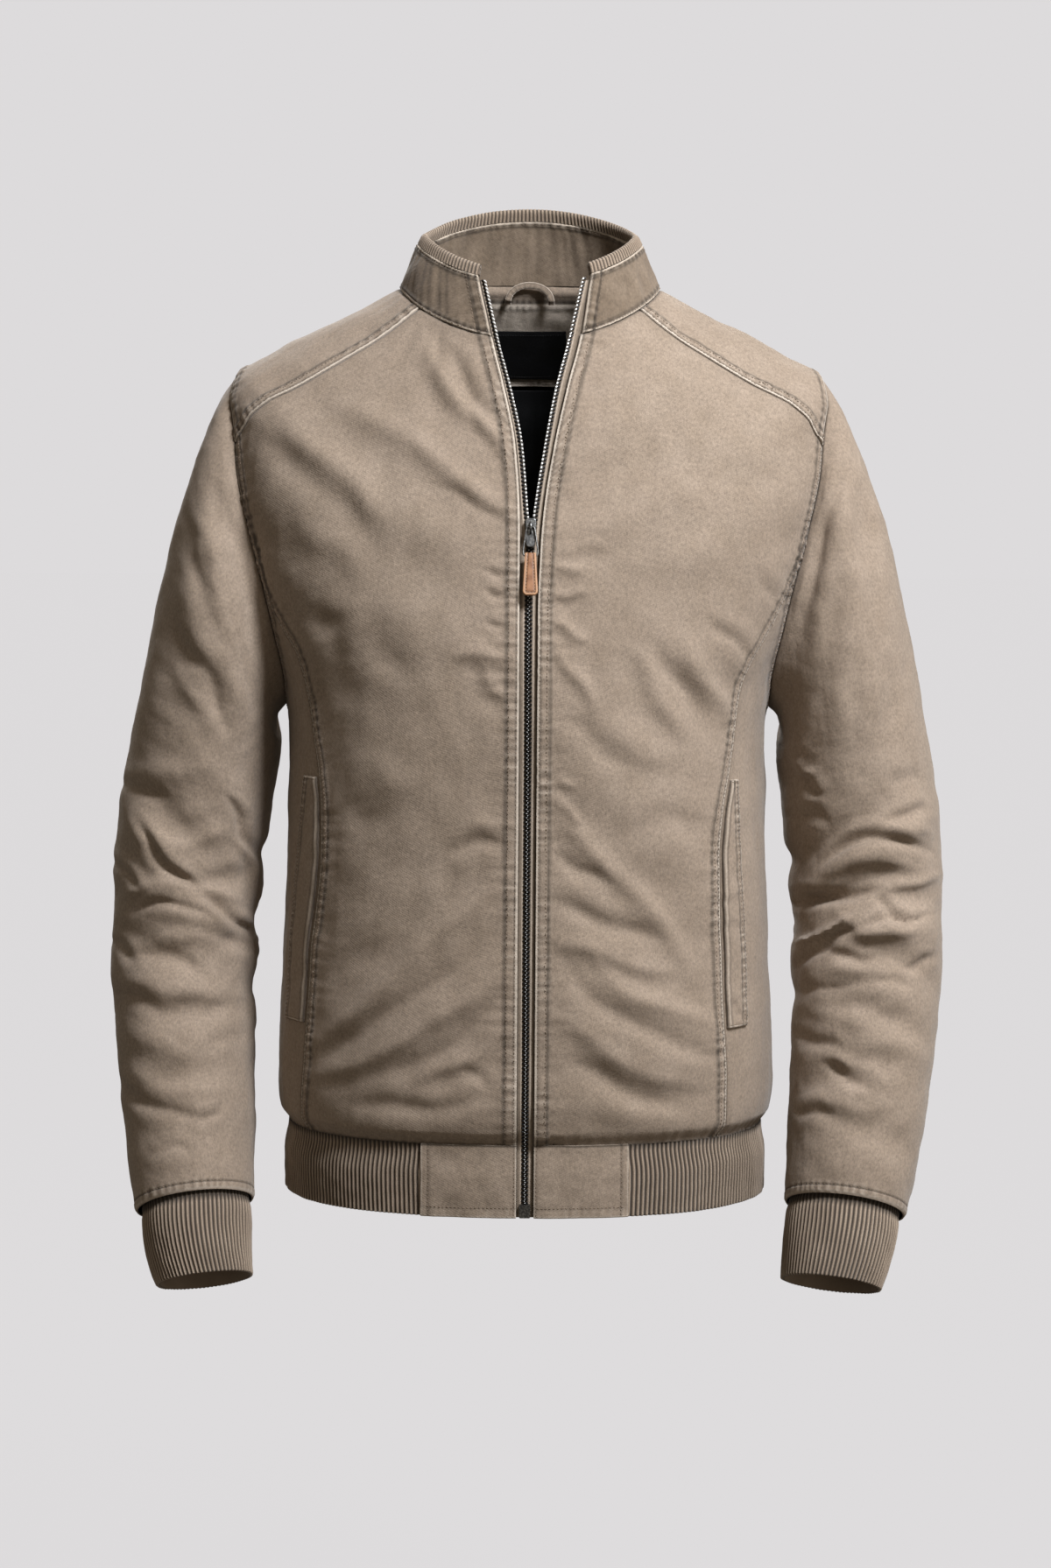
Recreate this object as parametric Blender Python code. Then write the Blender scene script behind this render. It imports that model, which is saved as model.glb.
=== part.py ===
"""Bomber jacket in washed cotton twill, filled out as worn, with nobody inside.

The jacket faces -Y, +X is on the viewer's right and +Z is up. The origin lies at the base of the
neck, on the middle plane, level with the point where shoulder and collar meet at the side.

Every piece of cloth is a thin closed wall. The body, both sleeves and the collar are smooth forms
worked out from short tables of rings; each cut piece is a four-sided patch of its form, with its
seams as edges, and neighbours share the points of the seam between them, 0.3 mm apart.
Tables are in millimetres and degrees; the mesh is built in metres.
"""
import math

import bpy
import numpy as np

# ---------------------------------------------------------------- driving sizes, mm and degrees
MM = 0.001
CLOTH = 1.7                    # body cloth with its lining bagged to it
KNIT = 2.6                     # rib knit at hem and cuffs, folded double
SEAM_GAP = 0.3
HEM_SEAM = -612.0              # level where the body is sewn to the hem rib
HEM_EDGE = -664.0              # bottom of the hem rib
HEM_TAB_WIDTH = 73.0           # plain end of the hem, out from the middle plane
HEM_TAB_LIFT = 0.9
HEM_TAB_THICK = 2.4
UNDERARM_LEVEL = -304.0
FRONT, SIDE, BACK = 0.0, 90.0, 180.0

# Rings of the body, named by the height of their side point.
RING_COLUMNS = ("level", "half_width", "front_y", "side_y", "back_y", "front_z", "back_z", "square")
BODY_RINGS = (
    (-664, 178.0, -136, 0, 124, -664, -664, 2.30),
    (-634, 179.0, -137, 0, 125, -634, -634, 2.30),
    (-616, 176.0, -136, 0, 122, -616, -616, 2.30),
    (-611, 176.5, -137, 0, 122, -611, -611, 2.30),
    (-601, 182.0, -142, 0, 127, -601, -601, 2.30),
    (-580, 183.5, -146, 0, 129, -580, -580, 2.30),
    (-540, 182.5, -147, 0, 128, -540, -540, 2.30),
    (-478, 179.5, -147, 0, 124, -478, -478, 2.30),
    (-400, 176.5, -147, 0, 121, -400, -400, 2.30),
    (-320, 175.5, -147, 0, 123, -322, -318, 2.30),
    (-290, 179.0, -146, 1, 125, -298, -288, 2.28),
    (-240, 194.0, -144, 2, 128, -262, -236, 2.25),
    (-173, 213.0, -137, 4, 131, -216, -172, 2.20),
    (-120, 222.0, -129, 5, 130, -180, -124, 2.15),
    (-80, 222.0, -120, 6, 124, -149, -94, 2.10),
    (-62, 214.0, -115, 6, 119, -134, -80, 2.10),
    (-45, 184.0, -108, 5, 110, -113, -62, 2.10),
    (-30, 155.0, -101, 3, 99, -92, -43, 2.05),
    (-14, 121.0, -92, 1, 84, -66, -20, 2.00),
    (0, 95.0, -83, 0, 70, -41, 4, 2.00),
)

# Top edge of the collar's cloth, and the rib band on it.
COLLAR_TOP = {"half_width": 82.0, "front_y": -73.0, "side_y": 0.0, "back_y": 63.0,
              "front_z": 0.0, "side_z": 32.0, "back_z": 54.5}
COLLAR_BOW = 0.8
COLLAR_LINING = 1.2             # inner layer of the collar, which ends at the zip tapes
COLLAR_LINING_GAP = 0.9
COLLAR_LINING_START = 0.06
COLLAR_LINING_INSET = 6.4
BAND_HEIGHT = 9.5
BAND_WIDTH = 5.4

# Front edges of the cloth, given by height and by how far each is from the middle plane.
EDGE_COLUMNS = ("height", "viewer_left", "viewer_right")
FRONT_EDGES = (
    (-664, -6.0, 6.6),
    (-235, -6.0, 7.0),
    (-185, -6.0, 8.8),
    (-160, -6.4, 11.0),
    (-115, -9.8, 18.2),
    (-76, -17.8, 27.0),
    (-41, -27.0, 36.5),
    (6, -37.5, 44.0),
)
# Edges of the zip tapes, where the teeth sit.
TOOTH_LINES = (
    (-664, -0.4, 0.6),
    (-205, -0.3, 1.3),
    (-185, 0.2, 2.8),
    (-162, -1.7, 5.2),
    (-115, -5.9, 12.4),
    (-76, -14.0, 19.6),
    (-41, -23.5, 28.6),
    (6, -34.4, 39.6),
)

# Seams on the body: degrees round from the front, and level.
PRINCESS_COLUMNS = ("level", "viewer_left", "viewer_right")
PRINCESS_SEAM = (
    (-612, 62.0, 50.0), (-570, 59.0, 49.4), (-528, 57.6, 48.7), (-480, 57.4, 49.0), (-449, 55.6, 48.5),
    (-410, 53.8, 48.6), (-377, 54.4, 50.3), (-346, 57.2, 54.2), (-315, 60.3, 56.6), (-285, 60.6, 56.4),
    (-262, 60.6, 58.0), (-236, 66.0, 62.8), (-216, 68.6, 66.0), (-194, 69.4, 69.0),
)
SEAM_COLUMNS = ("level", "around")
FRONT_YOKE_SEAM = ((-104, 73.0), (-80, 66.0), (-50, 60.0), (-26, 58.0), (0, 57.0))
BACK_YOKE_SEAM = ((-87, 106.5), (-70, 111.0), (-46, 116.0), (-22, 120.5), (0, 124.0))
ARMHOLE_COLUMNS = ("share", "around", "level")
FRONT_ARMHOLE = (
    (0.00, 90.0, -62), (0.07, 83.0, -68), (0.14, 77.5, -82), (0.21, 73.0, -104), (0.40, 69.6, -152),
    (0.55, 69.2, -194), (0.70, 71.0, -230), (0.83, 75.5, -267), (0.93, 82.5, -294), (1.00, 90.0, -304),
)
BACK_ARMHOLE = (
    (0.00, 90.0, -62), (0.07, 98.0, -68), (0.16, 106.5, -87), (0.25, 111.5, -112), (0.40, 114.6, -152),
    (0.55, 115.0, -190), (0.70, 113.0, -228), (0.83, 108.0, -266), (0.93, 99.0, -294), (1.00, 90.0, -304),
)
FRONT_YOKE_SHARE = 0.21        # shares of the armhole, from the shoulder, that the yoke takes
BACK_YOKE_SHARE = 0.16
PRINCESS_SHARE = 0.55          # share of the armhole above the top of the front side seam

# Rings of the sleeve on the viewer's right: outer and inner point in the front view.
SLEEVE_COLUMNS = ("along", "outer_x", "outer_z", "inner_x", "inner_z", "centre_y", "half_depth",
                  "armhole_share")
AXIS_STEP = 12.0               # along the sleeve, for its direction
CUFF_TAKES_OVER = 13.0         # before the sleeve's end
SLEEVE_RINGS = (
    (28, 231, -87, 181.0, -309, 5, 86, 0.75),
    (75, 249, -128, 182.0, -318, 5, 83, 0.35),
    (130, 266, -182, 183.5, -329, 6, 80, 0.10),
    (190, 280, -240, 185.5, -345, 7, 77, 0.0),
    (250, 291, -298, 188.5, -372, 7, 74, 0.0),
    (315, 303, -362, 192.5, -408, 6, 71, 0.0),
    (380, 309, -425, 196.0, -451, 2, 68, 0.0),
    (440, 309, -486, 197.0, -499, -6, 66, 0.0),
    (500, 304, -546, 196.5, -546, -19, 63, 0.0),
    (560, 295, -603, 194.5, -592, -36, 59, 0.0),
    (610, 286, -648, 192.5, -633, -51, 54, 0.0),
    (648, 278, -677, 190.5, -663, -62, 48, 0.0),
)
# The cuff starts inside the sleeve's end and is narrower than it.
CUFF_RINGS = (
    (644, 274.6, -674.8, 194.0, -661.2, -61, 44.2, 0.0),
    (652, 273.6, -680, 192.4, -667, -63.5, 45.2, 0.0),
    (668, 271.5, -692, 190.5, -678, -68, 46.0, 0.0),
    (700, 265.0, -714, 188.0, -702, -77, 45.0, 0.0),
    (724, 258.5, -730, 186.5, -719, -83, 42.0, 0.0),
)
CUFF_START = 644.0
CUFF_END = 724.0
# How the sleeve on the viewer's left differs: moved out by, and narrower by on either side.
LEFT_COLUMNS = ("along", "out", "narrower")
LEFT_SLEEVE = (
    (0, 0.0, 0.0), (60, -1.0, 0.0), (130, -3.0, 0.6), (250, -2.2, 2.0), (400, -0.5, 2.2),
    (550, 2.5, 1.8), (648, 6.5, 1.0), (700, 8.6, 1.0), (740, 8.0, 1.0),
)

# Largest folds: a soft trough (depth below 0) or ridge, in the front view of the side it is on.
# Columns: side, x, z, heading, length, width, depth.
BODY_FOLDS = (
    ("front", -125, -125, -42, 120, 22, -3.0),
    ("front", -95, -165, -38, 150, 24, 3.0),
    ("front", -80, -205, -35, 130, 22, -3.5),
    ("front", -60, -240, -28, 120, 24, 2.6),
    ("front", 90, -130, 40, 130, 26, -2.4),
    ("front", 110, -185, 46, 120, 26, 2.4),
    ("front", 70, -225, 30, 110, 24, -2.2),
    ("front", -95, -330, 62, 150, 30, 2.4),
    ("front", -60, -400, 58, 170, 30, -2.6),
    ("front", 60, -360, -56, 170, 30, 2.2),
    ("front", 95, -440, -52, 160, 30, -2.6),
    ("front", -90, -520, 28, 130, 24, 2.6),
    ("front", -70, -565, 20, 120, 18, -2.4),
    ("front", 80, -530, -24, 130, 22, 2.6),
    ("front", 85, -570, -14, 110, 16, -2.2),
    ("front", -150, -330, 80, 110, 20, -2.2),
    ("front", 152, -340, -82, 110, 20, -2.2),
    ("back", -100, -150, 44, 140, 24, -3.0),
    ("back", 100, -160, -44, 140, 24, -3.0),
    ("back", -70, -230, 30, 130, 26, 2.6),
    ("back", 75, -240, -30, 130, 26, 2.6),
    ("back", 0, -330, 0, 160, 30, -2.4),
    ("back", -80, -400, -22, 150, 26, 2.6),
    ("back", 85, -410, 20, 150, 26, -2.6),
    ("back", -20, -470, 6, 170, 28, 2.4),
    ("back", 60, -530, 10, 140, 22, -2.8),
    ("back", -75, -540, -12, 140, 22, -2.8),
)
# Columns: turn, along, heading, length, width, depth.
SLEEVE_FOLDS = {
    "left": (
        (65, 60, 70, 90, 20, -3.0), (100, 120, 62, 120, 22, 3.0), (60, 190, 66, 130, 24, -3.2),
        (110, 265, 40, 90, 20, 3.0), (75, 325, 28, 90, 16, -4.2), (60, 350, 24, 90, 14, 4.0),
        (120, 372, -26, 80, 13, -5.0), (85, 400, 10, 110, 13, 4.4), (140, 425, -16, 80, 12, -5.0),
        (80, 445, 14, 100, 12, -4.6), (60, 470, 8, 90, 12, 3.6), (110, 492, -14, 90, 12, -4.2),
        (75, 520, 16, 90, 12, 3.2), (95, 548, -12, 90, 12, -3.4), (70, 590, 8, 110, 13, -2.8),
        (240, 150, 60, 120, 22, -3.0), (270, 240, 40, 110, 20, 3.0), (225, 330, 20, 90, 16, 3.6),
        (260, 380, -14, 90, 14, -3.6), (235, 430, 12, 90, 14, 3.0), (255, 500, -12, 90, 14, -3.0),
        (180, 330, 0, 80, 14, -3.4), (185, 400, 6, 80, 14, -4.0), (180, 460, -6, 80, 14, -3.4),
    ),
    "right": (
        (80, 70, 70, 100, 20, -3.0), (55, 130, 62, 120, 20, -3.4), (95, 180, 60, 130, 22, 3.0),
        (70, 250, 48, 100, 20, -2.6), (105, 320, 22, 90, 15, -3.8), (70, 345, 10, 100, 14, 3.8),
        (115, 378, 4, 110, 12, -5.2), (65, 398, -12, 90, 12, -3.6), (95, 418, -10, 110, 12, 4.4),
        (70, 448, -22, 100, 12, -4.6), (120, 470, -14, 90, 12, 3.8), (85, 492, -24, 110, 12, -4.4),
        (60, 520, -8, 90, 12, 3.0), (110, 545, 14, 100, 12, -3.6), (80, 592, -8, 110, 13, -2.8),
        (235, 140, 60, 120, 22, -3.0), (265, 230, 44, 110, 20, 3.0), (230, 325, 18, 90, 16, 3.6),
        (255, 375, -12, 90, 14, -3.6), (240, 425, 14, 90, 14, 3.0), (250, 505, -10, 90, 14, -3.0),
        (180, 335, 0, 80, 14, -3.4), (176, 405, -6, 80, 14, -4.0), (182, 465, 6, 80, 14, -3.4),
    ),
}

# Numbers of steps in the patches.
HEM_TO_PRINCESS = 14
PRINCESS_TO_YOKE = 4
ARMHOLE_UNDER_FRONT = 4
ARMHOLE_BACK = 7
YOKE_HALF = 3
NECK_FRONT_STEPS = 4
YOKE_SEAM_STEPS = 5
NECK_BACK_HALF = 4
HEM_TAB_STEPS = 4
COLLAR_STEPS = 4
COLLAR_COLUMNS = 33
SLEEVE_STEPS = 23
RIB_PITCH = 4.4
RIB_RELIEF = 0.9
CUFF_RIB_COUNT = 56
BAND_RIB_PITCH = 4.8

# Pocket welts on the side pieces: outer edge by level, in degrees round from the front.
WELT_LEVELS = (-532.0, -354.0)
WELT_EDGES = (
    (-532, 70.6, 58.8), (-484, 70.2, 59.6), (-450, 69.0, 59.0), (-411, 67.0, 57.8), (-354, 64.6, 58.0),
)
WELT_FROM_SEAM = 1.0
WELT_STEPS = 9

# Facing, bare label and lining inside the back, by level; the hanger loop in front of them.
FACING_LEVELS = (-0.6, -47.0)
FACING_HALF_TURN = (58.0, 30.0)
FACING_DEPTH = 4.9
FACING_THICK = 1.2
LABEL_LEVELS = (-16.0, -42.0)
LABEL_HALF_TURN = (13.0, 8.6)
LABEL_GAP = 0.7
LABEL_THICK = 0.7
LINING_LEVELS = (-48.5, -600.0)
LINING_HALF_TURN = (60.0, 86.0)
LINING_DEPTH = 9.5
LINING_THICK = 0.9
LOOP_HALF_WIDTH = 17.5
LOOP_FOOT_Z = -3.0
LOOP_RISE = 17.0
LOOP_BAND = 4.6
LOOP_THICK = 1.4
LOOP_Y = 60.5
LOOP_STEPS = 12
LOOP_SQUARENESS = 0.8          # power of the arch's curve, below 1 for a fuller arch

# Zip: tapes, slider with its arch, bail, leather pull tab and the box at the lower end.
TAPE_GAP = 1.3
TAPE_THICK = 0.8
TAPE_BELOW_TOP = 0.03
TAPE_HIDDEN = 8.0
SLIDER_X = 1.5
SLIDER_TOP = -168.3
SLIDER_LENGTH = 21.0
SLIDER_WIDTH = 7.6
SLIDER_THICK = 4.4
ARCH_RADIUS = 4.2
ARCH_LIFT = 3.6
BAIL_PIVOT = 7.0
BAIL_WIDTH = 11.4
BAIL_LENGTH = 20.6
BAIL_WIRE = 1.3
TAB_TOP_ABOVE_BAR = 2.2
TAB_TOP_WIDTH = 7.8
TAB_WIDTH = 11.0
TAB_LENGTH = 31.0
TAB_THICK = 3.0
TAB_CLEARANCE = 0.3
END_BOX_TOP = -654.0
END_BOX_WIDTH = 8.0
END_BOX_LENGTH = 9.6
END_BOX_THICK = 3.4

TWILL = (0.330, 0.255, 0.185)
PALE_TWILL = (0.400, 0.320, 0.240)
RIB_KNIT = (0.235, 0.180, 0.130)
LINING_BLACK = (0.012, 0.012, 0.013)
GUNMETAL = (0.10, 0.10, 0.10)
SILVER = (0.55, 0.55, 0.54)
COGNAC = (0.42, 0.17, 0.065)


# ---------------------------------------------------------------- curves through short tables
def ease(place, places, values):
    """Smooth curve through a table's rows that never overshoots a row."""
    places = np.asarray(places, float)
    values = np.asarray(values, float)
    step = np.diff(places)
    slope = np.diff(values) / step
    tangent = np.empty(len(places))
    tangent[0] = slope[0]
    tangent[-1] = slope[-1]
    same = slope[:-1] * slope[1:] > 0.0
    total = np.where(same, slope[:-1] + slope[1:], 1.0)
    tangent[1:-1] = np.where(same, 2.0 * slope[:-1] * slope[1:] / total, 0.0)
    place = np.clip(place, places[0], places[-1])
    row = np.clip(np.searchsorted(places, place) - 1, 0, len(step) - 1)
    t = (place - places[row]) / step[row]
    rise = values[row] + t * step[row] * tangent[row]
    gap = values[row + 1] - values[row] - step[row] * tangent[row]
    bend = step[row] * (tangent[row + 1] - tangent[row])
    return rise + t * t * (3.0 * gap - bend) + t ** 3 * (bend - 2.0 * gap)


def read(table, columns, name, place):
    """One column of a table, read at a place in its first column."""
    rows = sorted(table, key=lambda row: row[0])
    index = columns.index(name)
    return ease(place, [row[0] for row in rows], [row[index] for row in rows])


def bump(offset, width):
    """Bell of height 1 that dies away over about twice its width."""
    return np.exp(-(offset / width) ** 2)


def ramp(value, low, high):
    """0 below low, 1 above high, smooth between."""
    t = np.clip((value - low) / (high - low), 0.0, 1.0)
    return t * t * (3.0 - 2.0 * t)


def unit(vectors):
    length = np.linalg.norm(vectors, axis=-1, keepdims=True)
    return vectors / np.maximum(length, 1e-9)


def normals_of(surface, u, v, step_u, step_v):
    """Outward normals of surface(u, v) from small steps either way."""
    along_u = surface(u + step_u, v) - surface(u - step_u, v)
    along_v = surface(u, v + step_v) - surface(u, v - step_v)
    return unit(np.cross(along_u, along_v))


# ---------------------------------------------------------------- the body's form
def ring_point(around, half_width, front_y, side_y, back_y, front_z, side_z, back_z, square):
    """Point on a rounded ring: 0 degrees is the front, 90 the viewer's right, 180 the back."""
    angle = np.radians(around)
    power = 2.0 / square
    sine = np.sin(angle)
    cosine = np.cos(angle)
    reach = np.abs(cosine) ** power
    to_front = cosine > 0.0
    x = half_width * np.sign(sine) * np.abs(sine) ** power
    y = side_y + np.where(to_front, front_y - side_y, back_y - side_y) * reach
    lift = np.abs(cosine) ** 1.5
    z = side_z + np.where(to_front, front_z - side_z, back_z - side_z) * lift
    return np.stack(np.broadcast_arrays(x, y, z), axis=-1)


def body_form(around, level):
    around = np.asarray(around, float)
    level = np.asarray(level, float)
    sizes = {name: read(BODY_RINGS, RING_COLUMNS, name, level) for name in RING_COLUMNS[1:]}
    return ring_point(around, sizes["half_width"], sizes["front_y"], sizes["side_y"], sizes["back_y"],
                      sizes["front_z"], level, sizes["back_z"], sizes["square"])


def body_fold_height(points, around):
    """How far the folds lift the cloth at points of the form."""
    facing = np.cos(np.radians(around))
    height = np.zeros(points.shape[:-1])
    for side, x, z, heading, length, width, depth in BODY_FOLDS:
        share = ramp(facing, 0.0, 0.45) if side == "front" else ramp(-facing, 0.0, 0.45)
        turn = math.radians(heading)
        right = points[..., 0] - x
        up = points[..., 2] - z
        along = right * math.cos(turn) + up * math.sin(turn)
        across = up * math.cos(turn) - right * math.sin(turn)
        height = height + share * depth * bump(along, length / 2.0) * bump(across, width)
    return height * ramp(points[..., 2], HEM_SEAM + 4.0, HEM_SEAM + 24.0) * ramp(-points[..., 2], 35.0, 90.0)


def body_surface(around, level):
    around = np.asarray(around, float)
    level = np.asarray(level, float)
    form = body_form(around, level)
    normal = normals_of(body_form, around, level, 0.5, 1.0)
    return form + normal * body_fold_height(form, around)[..., None]


def around_at_x(level, x):
    """Degrees round the front where the ring at this level is x from the middle plane."""
    half_width = read(BODY_RINGS, RING_COLUMNS, "half_width", level)
    square = read(BODY_RINGS, RING_COLUMNS, "square", level)
    share = np.abs(x) / half_width
    return np.sign(x) * np.degrees(np.arcsin(np.clip(share, 0.0, 1.0) ** (square / 2.0)))


def level_at_front_height(height):
    """Level of the ring that passes the front middle at this height."""
    return read([(row[5], row[0]) for row in BODY_RINGS], ("height", "level"), "level", height)


# ---------------------------------------------------------------- patches and walls
def ring_height(around, level):
    """Height of the body's form, and its half width at this level."""
    front = np.cos(np.radians(around)) > 0.0
    end = np.where(front, read(BODY_RINGS, RING_COLUMNS, "front_z", level),
                   read(BODY_RINGS, RING_COLUMNS, "back_z", level))
    lift = np.abs(np.cos(np.radians(around))) ** 1.5
    return level + (end - level) * lift, read(BODY_RINGS, RING_COLUMNS, "half_width", level)


def to_chart(line, centre):
    """(around, level) as a flat place on the cloth: across from a centre line, and height."""
    height, half_width = ring_height(line[..., 0], line[..., 1])
    return spots((line[..., 0] - centre) * half_width / 100.0, height)


def from_chart(place, centre):
    """Back from a flat place to (around, level), by halving the span of levels."""
    def around_at(level):
        half_width = read(BODY_RINGS, RING_COLUMNS, "half_width", level)
        return centre + np.clip(place[..., 0] * 100.0 / half_width, -SIDE, SIDE)

    low = np.full(place.shape[:-1], BODY_RINGS[0][0] - 1.0)
    high = np.zeros(place.shape[:-1])
    for _ in range(26):
        level = (low + high) / 2.0
        below = ring_height(around_at(level), level)[0] < place[..., 1]
        low = np.where(below, level, low)
        high = np.where(below, high, level)
    return spots(around_at(level), level)


def patch(bottom, top, inner, outer, centre):
    """Grid of spots between four edges that share their corners, evenly spread on the cloth."""
    edges = (bottom, top, inner, outer)
    bottom, top, inner, outer = (to_chart(edge, centre) for edge in edges)
    u = np.linspace(0.0, 1.0, len(bottom))[None, :, None]
    v = np.linspace(0.0, 1.0, len(inner))[:, None, None]
    lofted = (1.0 - v) * bottom[None] + v * top[None]
    crossed = (1.0 - u) * inner[:, None] + u * outer[:, None]
    corners = ((1.0 - u) * ((1.0 - v) * bottom[0] + v * top[0])
               + u * ((1.0 - v) * bottom[-1] + v * top[-1]))
    grid = from_chart(lofted + crossed - corners, centre)
    grid[0], grid[-1], grid[:, 0], grid[:, -1] = edges
    return grid


def draw_in(points, gap, closed_across=False):
    """Move a grid's edge points towards their inner neighbours by half a seam gap."""
    moved = points.copy()
    moved[0] += unit(points[1] - points[0]) * gap
    moved[-1] += unit(points[-2] - points[-1]) * gap
    if not closed_across:
        moved[:, 0] += unit(points[:, 1] - points[:, 0]) * gap
        moved[:, -1] += unit(points[:, -2] - points[:, -1]) * gap
    return moved


def grid_faces(rows, columns, closed, start=0, flip=False):
    """Quads of a grid of rows by columns, joined round where closed."""
    faces = []
    spans = columns if closed else columns - 1
    for row in range(rows - 1):
        for column in range(spans):
            after = (column + 1) % columns
            quad = (start + row * columns + column, start + row * columns + after,
                    start + (row + 1) * columns + after, start + (row + 1) * columns + column)
            faces.append(quad[::-1] if flip else quad)
    return faces


def wall(name, outside, inside, colour, closed=False, rough=0.85):
    """Closed wall between two grids of points of the same size; rows run up, columns round."""
    rows, columns = outside.shape[:2]
    count = rows * columns
    faces = grid_faces(rows, columns, closed)
    faces += grid_faces(rows, columns, closed, start=count, flip=True)
    rim = [(0, column) for column in range(columns)]
    if closed:
        for row, turned in ((0, False), (rows - 1, True)):
            for column in range(columns):
                after = (column + 1) % columns
                a, b = row * columns + column, row * columns + after
                quad = (a, a + count, b + count, b)
                faces.append(quad[::-1] if turned else quad)
    else:
        rim += [(row, columns - 1) for row in range(1, rows)]
        rim += [(rows - 1, column) for column in range(columns - 2, -1, -1)]
        rim += [(row, 0) for row in range(rows - 2, 0, -1)]
        ids = [row * columns + column for row, column in rim]
        for a, b in zip(ids, ids[1:] + ids[:1]):
            faces.append((a, a + count, b + count, b))
    points = np.concatenate([outside.reshape(-1, 3), inside.reshape(-1, 3)])
    return solid(name, points, faces, colour, rough)


def solid(name, points, faces, colour, rough=0.85, metal=0.0, smooth=True):
    """Mesh object from points in millimetres, with its own material, wound to face out."""
    points = np.asarray(points, float)
    corners = [points[list(face)] for face in faces]
    volume = sum(np.dot(c[0], np.cross(c[i], c[i + 1])) for c in corners for i in range(1, len(c) - 1))
    if volume < 0.0:
        faces = [tuple(face)[::-1] for face in faces]
    mesh = bpy.data.meshes.new(name)
    mesh.from_pydata([tuple(point) for point in points * MM], [], faces)
    mesh.validate()
    mesh.update()
    if smooth:
        mesh.shade_smooth()
        mesh.set_sharp_from_angle(angle=math.radians(42.0))
    piece = bpy.data.objects.new(name, mesh)
    bpy.context.scene.collection.objects.link(piece)
    finish(piece, colour, rough, metal)
    return piece


def finish(piece, colour, rough, metal):
    material = bpy.data.materials.new(piece.name + "_material")
    material.use_nodes = True
    shader = material.node_tree.nodes["Principled BSDF"]
    shader.inputs["Base Color"].default_value = (*colour, 1.0)
    shader.inputs["Roughness"].default_value = rough
    shader.inputs["Metallic"].default_value = metal
    piece.data.materials.append(material)


def body_piece(name, spots, colour, lift=0.0, thick=CLOTH, gap=SEAM_GAP):
    """Wall on the body from a grid of (around, level) spots, its outside lifted off the form."""
    around, level = spots[..., 0], spots[..., 1]
    normal = normals_of(body_surface, around, level, 0.5, 1.0)
    outside = body_surface(around, level) + normal * lift
    outside = draw_in(outside, gap)
    return wall(name, outside, outside - normal * thick, colour)


# ---------------------------------------------------------------- seam lines, as (around, level)
def spots(around, level):
    return np.stack(np.broadcast_arrays(np.asarray(around, float), np.asarray(level, float)), axis=-1)


def princess_on(levels, side):
    """Curved seam between the front and its side piece, on the levels given."""
    return spots(read(PRINCESS_SEAM, PRINCESS_COLUMNS, "viewer_" + side, levels), levels)


def armhole_line(table, first, last, steps):
    share = np.linspace(first, last, steps + 1)
    return spots(read(table, ARMHOLE_COLUMNS, "around", share), read(table, ARMHOLE_COLUMNS, "level", share))


def yoke_line(table, steps):
    """Yoke seam from the neck down to the armhole."""
    level = np.linspace(0.0, table[0][0], steps + 1)
    return spots(read(table, SEAM_COLUMNS, "around", level), level)


def front_edge_line(side, levels, table=FRONT_EDGES, inset=0.0):
    """Front edge of the cloth, on the levels given; side is "left" or "right" in the front view."""
    column = "viewer_left" if side == "left" else "viewer_right"
    height = read(BODY_RINGS, RING_COLUMNS, "front_z", levels)
    x = read(table, EDGE_COLUMNS, column, height) + inset
    return spots(around_at_x(levels, x), levels)


def mirrored(line):
    """The same line on the other half of the jacket."""
    return spots(-line[..., 0], line[..., 1])


def hem_to_princess_levels():
    """Levels of the rows of both front pieces, closer together near the hem seam."""
    share = np.linspace(0.0, 1.0, HEM_TO_PRINCESS + 1)
    return HEM_SEAM + (PRINCESS_SEAM[-1][0] - HEM_SEAM) * (0.75 * share + 0.25 * share ** 2)


def front_edge_levels():
    """Levels of the rows of a front piece, at the zip."""
    levels = hem_to_princess_levels()
    above = np.linspace(levels[-1], 0.0, PRINCESS_TO_YOKE + 3)[1:-2]
    spread = np.concatenate([levels, above])
    return HEM_SEAM - HEM_SEAM * (spread - HEM_SEAM) / (spread[-1] - HEM_SEAM)


def build_front(side):
    """Front piece, from the zip to the curved seam, and up to the neck and the yoke."""
    turn = mirrored if side == "left" else (lambda line: line)
    levels = hem_to_princess_levels()
    upper = armhole_line(FRONT_ARMHOLE, PRINCESS_SHARE, FRONT_YOKE_SHARE, PRINCESS_TO_YOKE)
    lower = princess_on(levels, side)
    lower[-1] = upper[0]
    outer = turn(np.concatenate([lower, upper[1:]]))
    inner = front_edge_line(side, front_edge_levels())
    corner = turn(yoke_line(FRONT_YOKE_SEAM, 1))[0]
    neck = spots(np.linspace(inner[-1][0], corner[0], NECK_FRONT_STEPS + 1), 0.0)
    yoke = turn(yoke_line(FRONT_YOKE_SEAM, YOKE_SEAM_STEPS))
    top = np.concatenate([neck, yoke[1:]])
    bottom = spots(np.linspace(inner[0][0], outer[0][0], len(top)), HEM_SEAM)
    body_piece("front_" + side, patch(bottom, top, inner, outer, FRONT), TWILL)


def build_front_side(side):
    """Front side piece, from the curved seam to the side seam, up to the armhole."""
    turn = mirrored if side == "left" else (lambda line: line)
    levels = hem_to_princess_levels()
    inner = princess_on(levels, side)
    top = armhole_line(FRONT_ARMHOLE, PRINCESS_SHARE, 1.0, ARMHOLE_UNDER_FRONT)
    inner[-1] = top[0]
    bottom = spots(np.linspace(inner[0][0], SIDE, ARMHOLE_UNDER_FRONT + 1), HEM_SEAM)
    outer = spots(SIDE, side_levels())
    grid = patch(bottom, top, inner, outer, SIDE)
    body_piece("front_side_" + side, turn(grid), TWILL)


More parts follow.
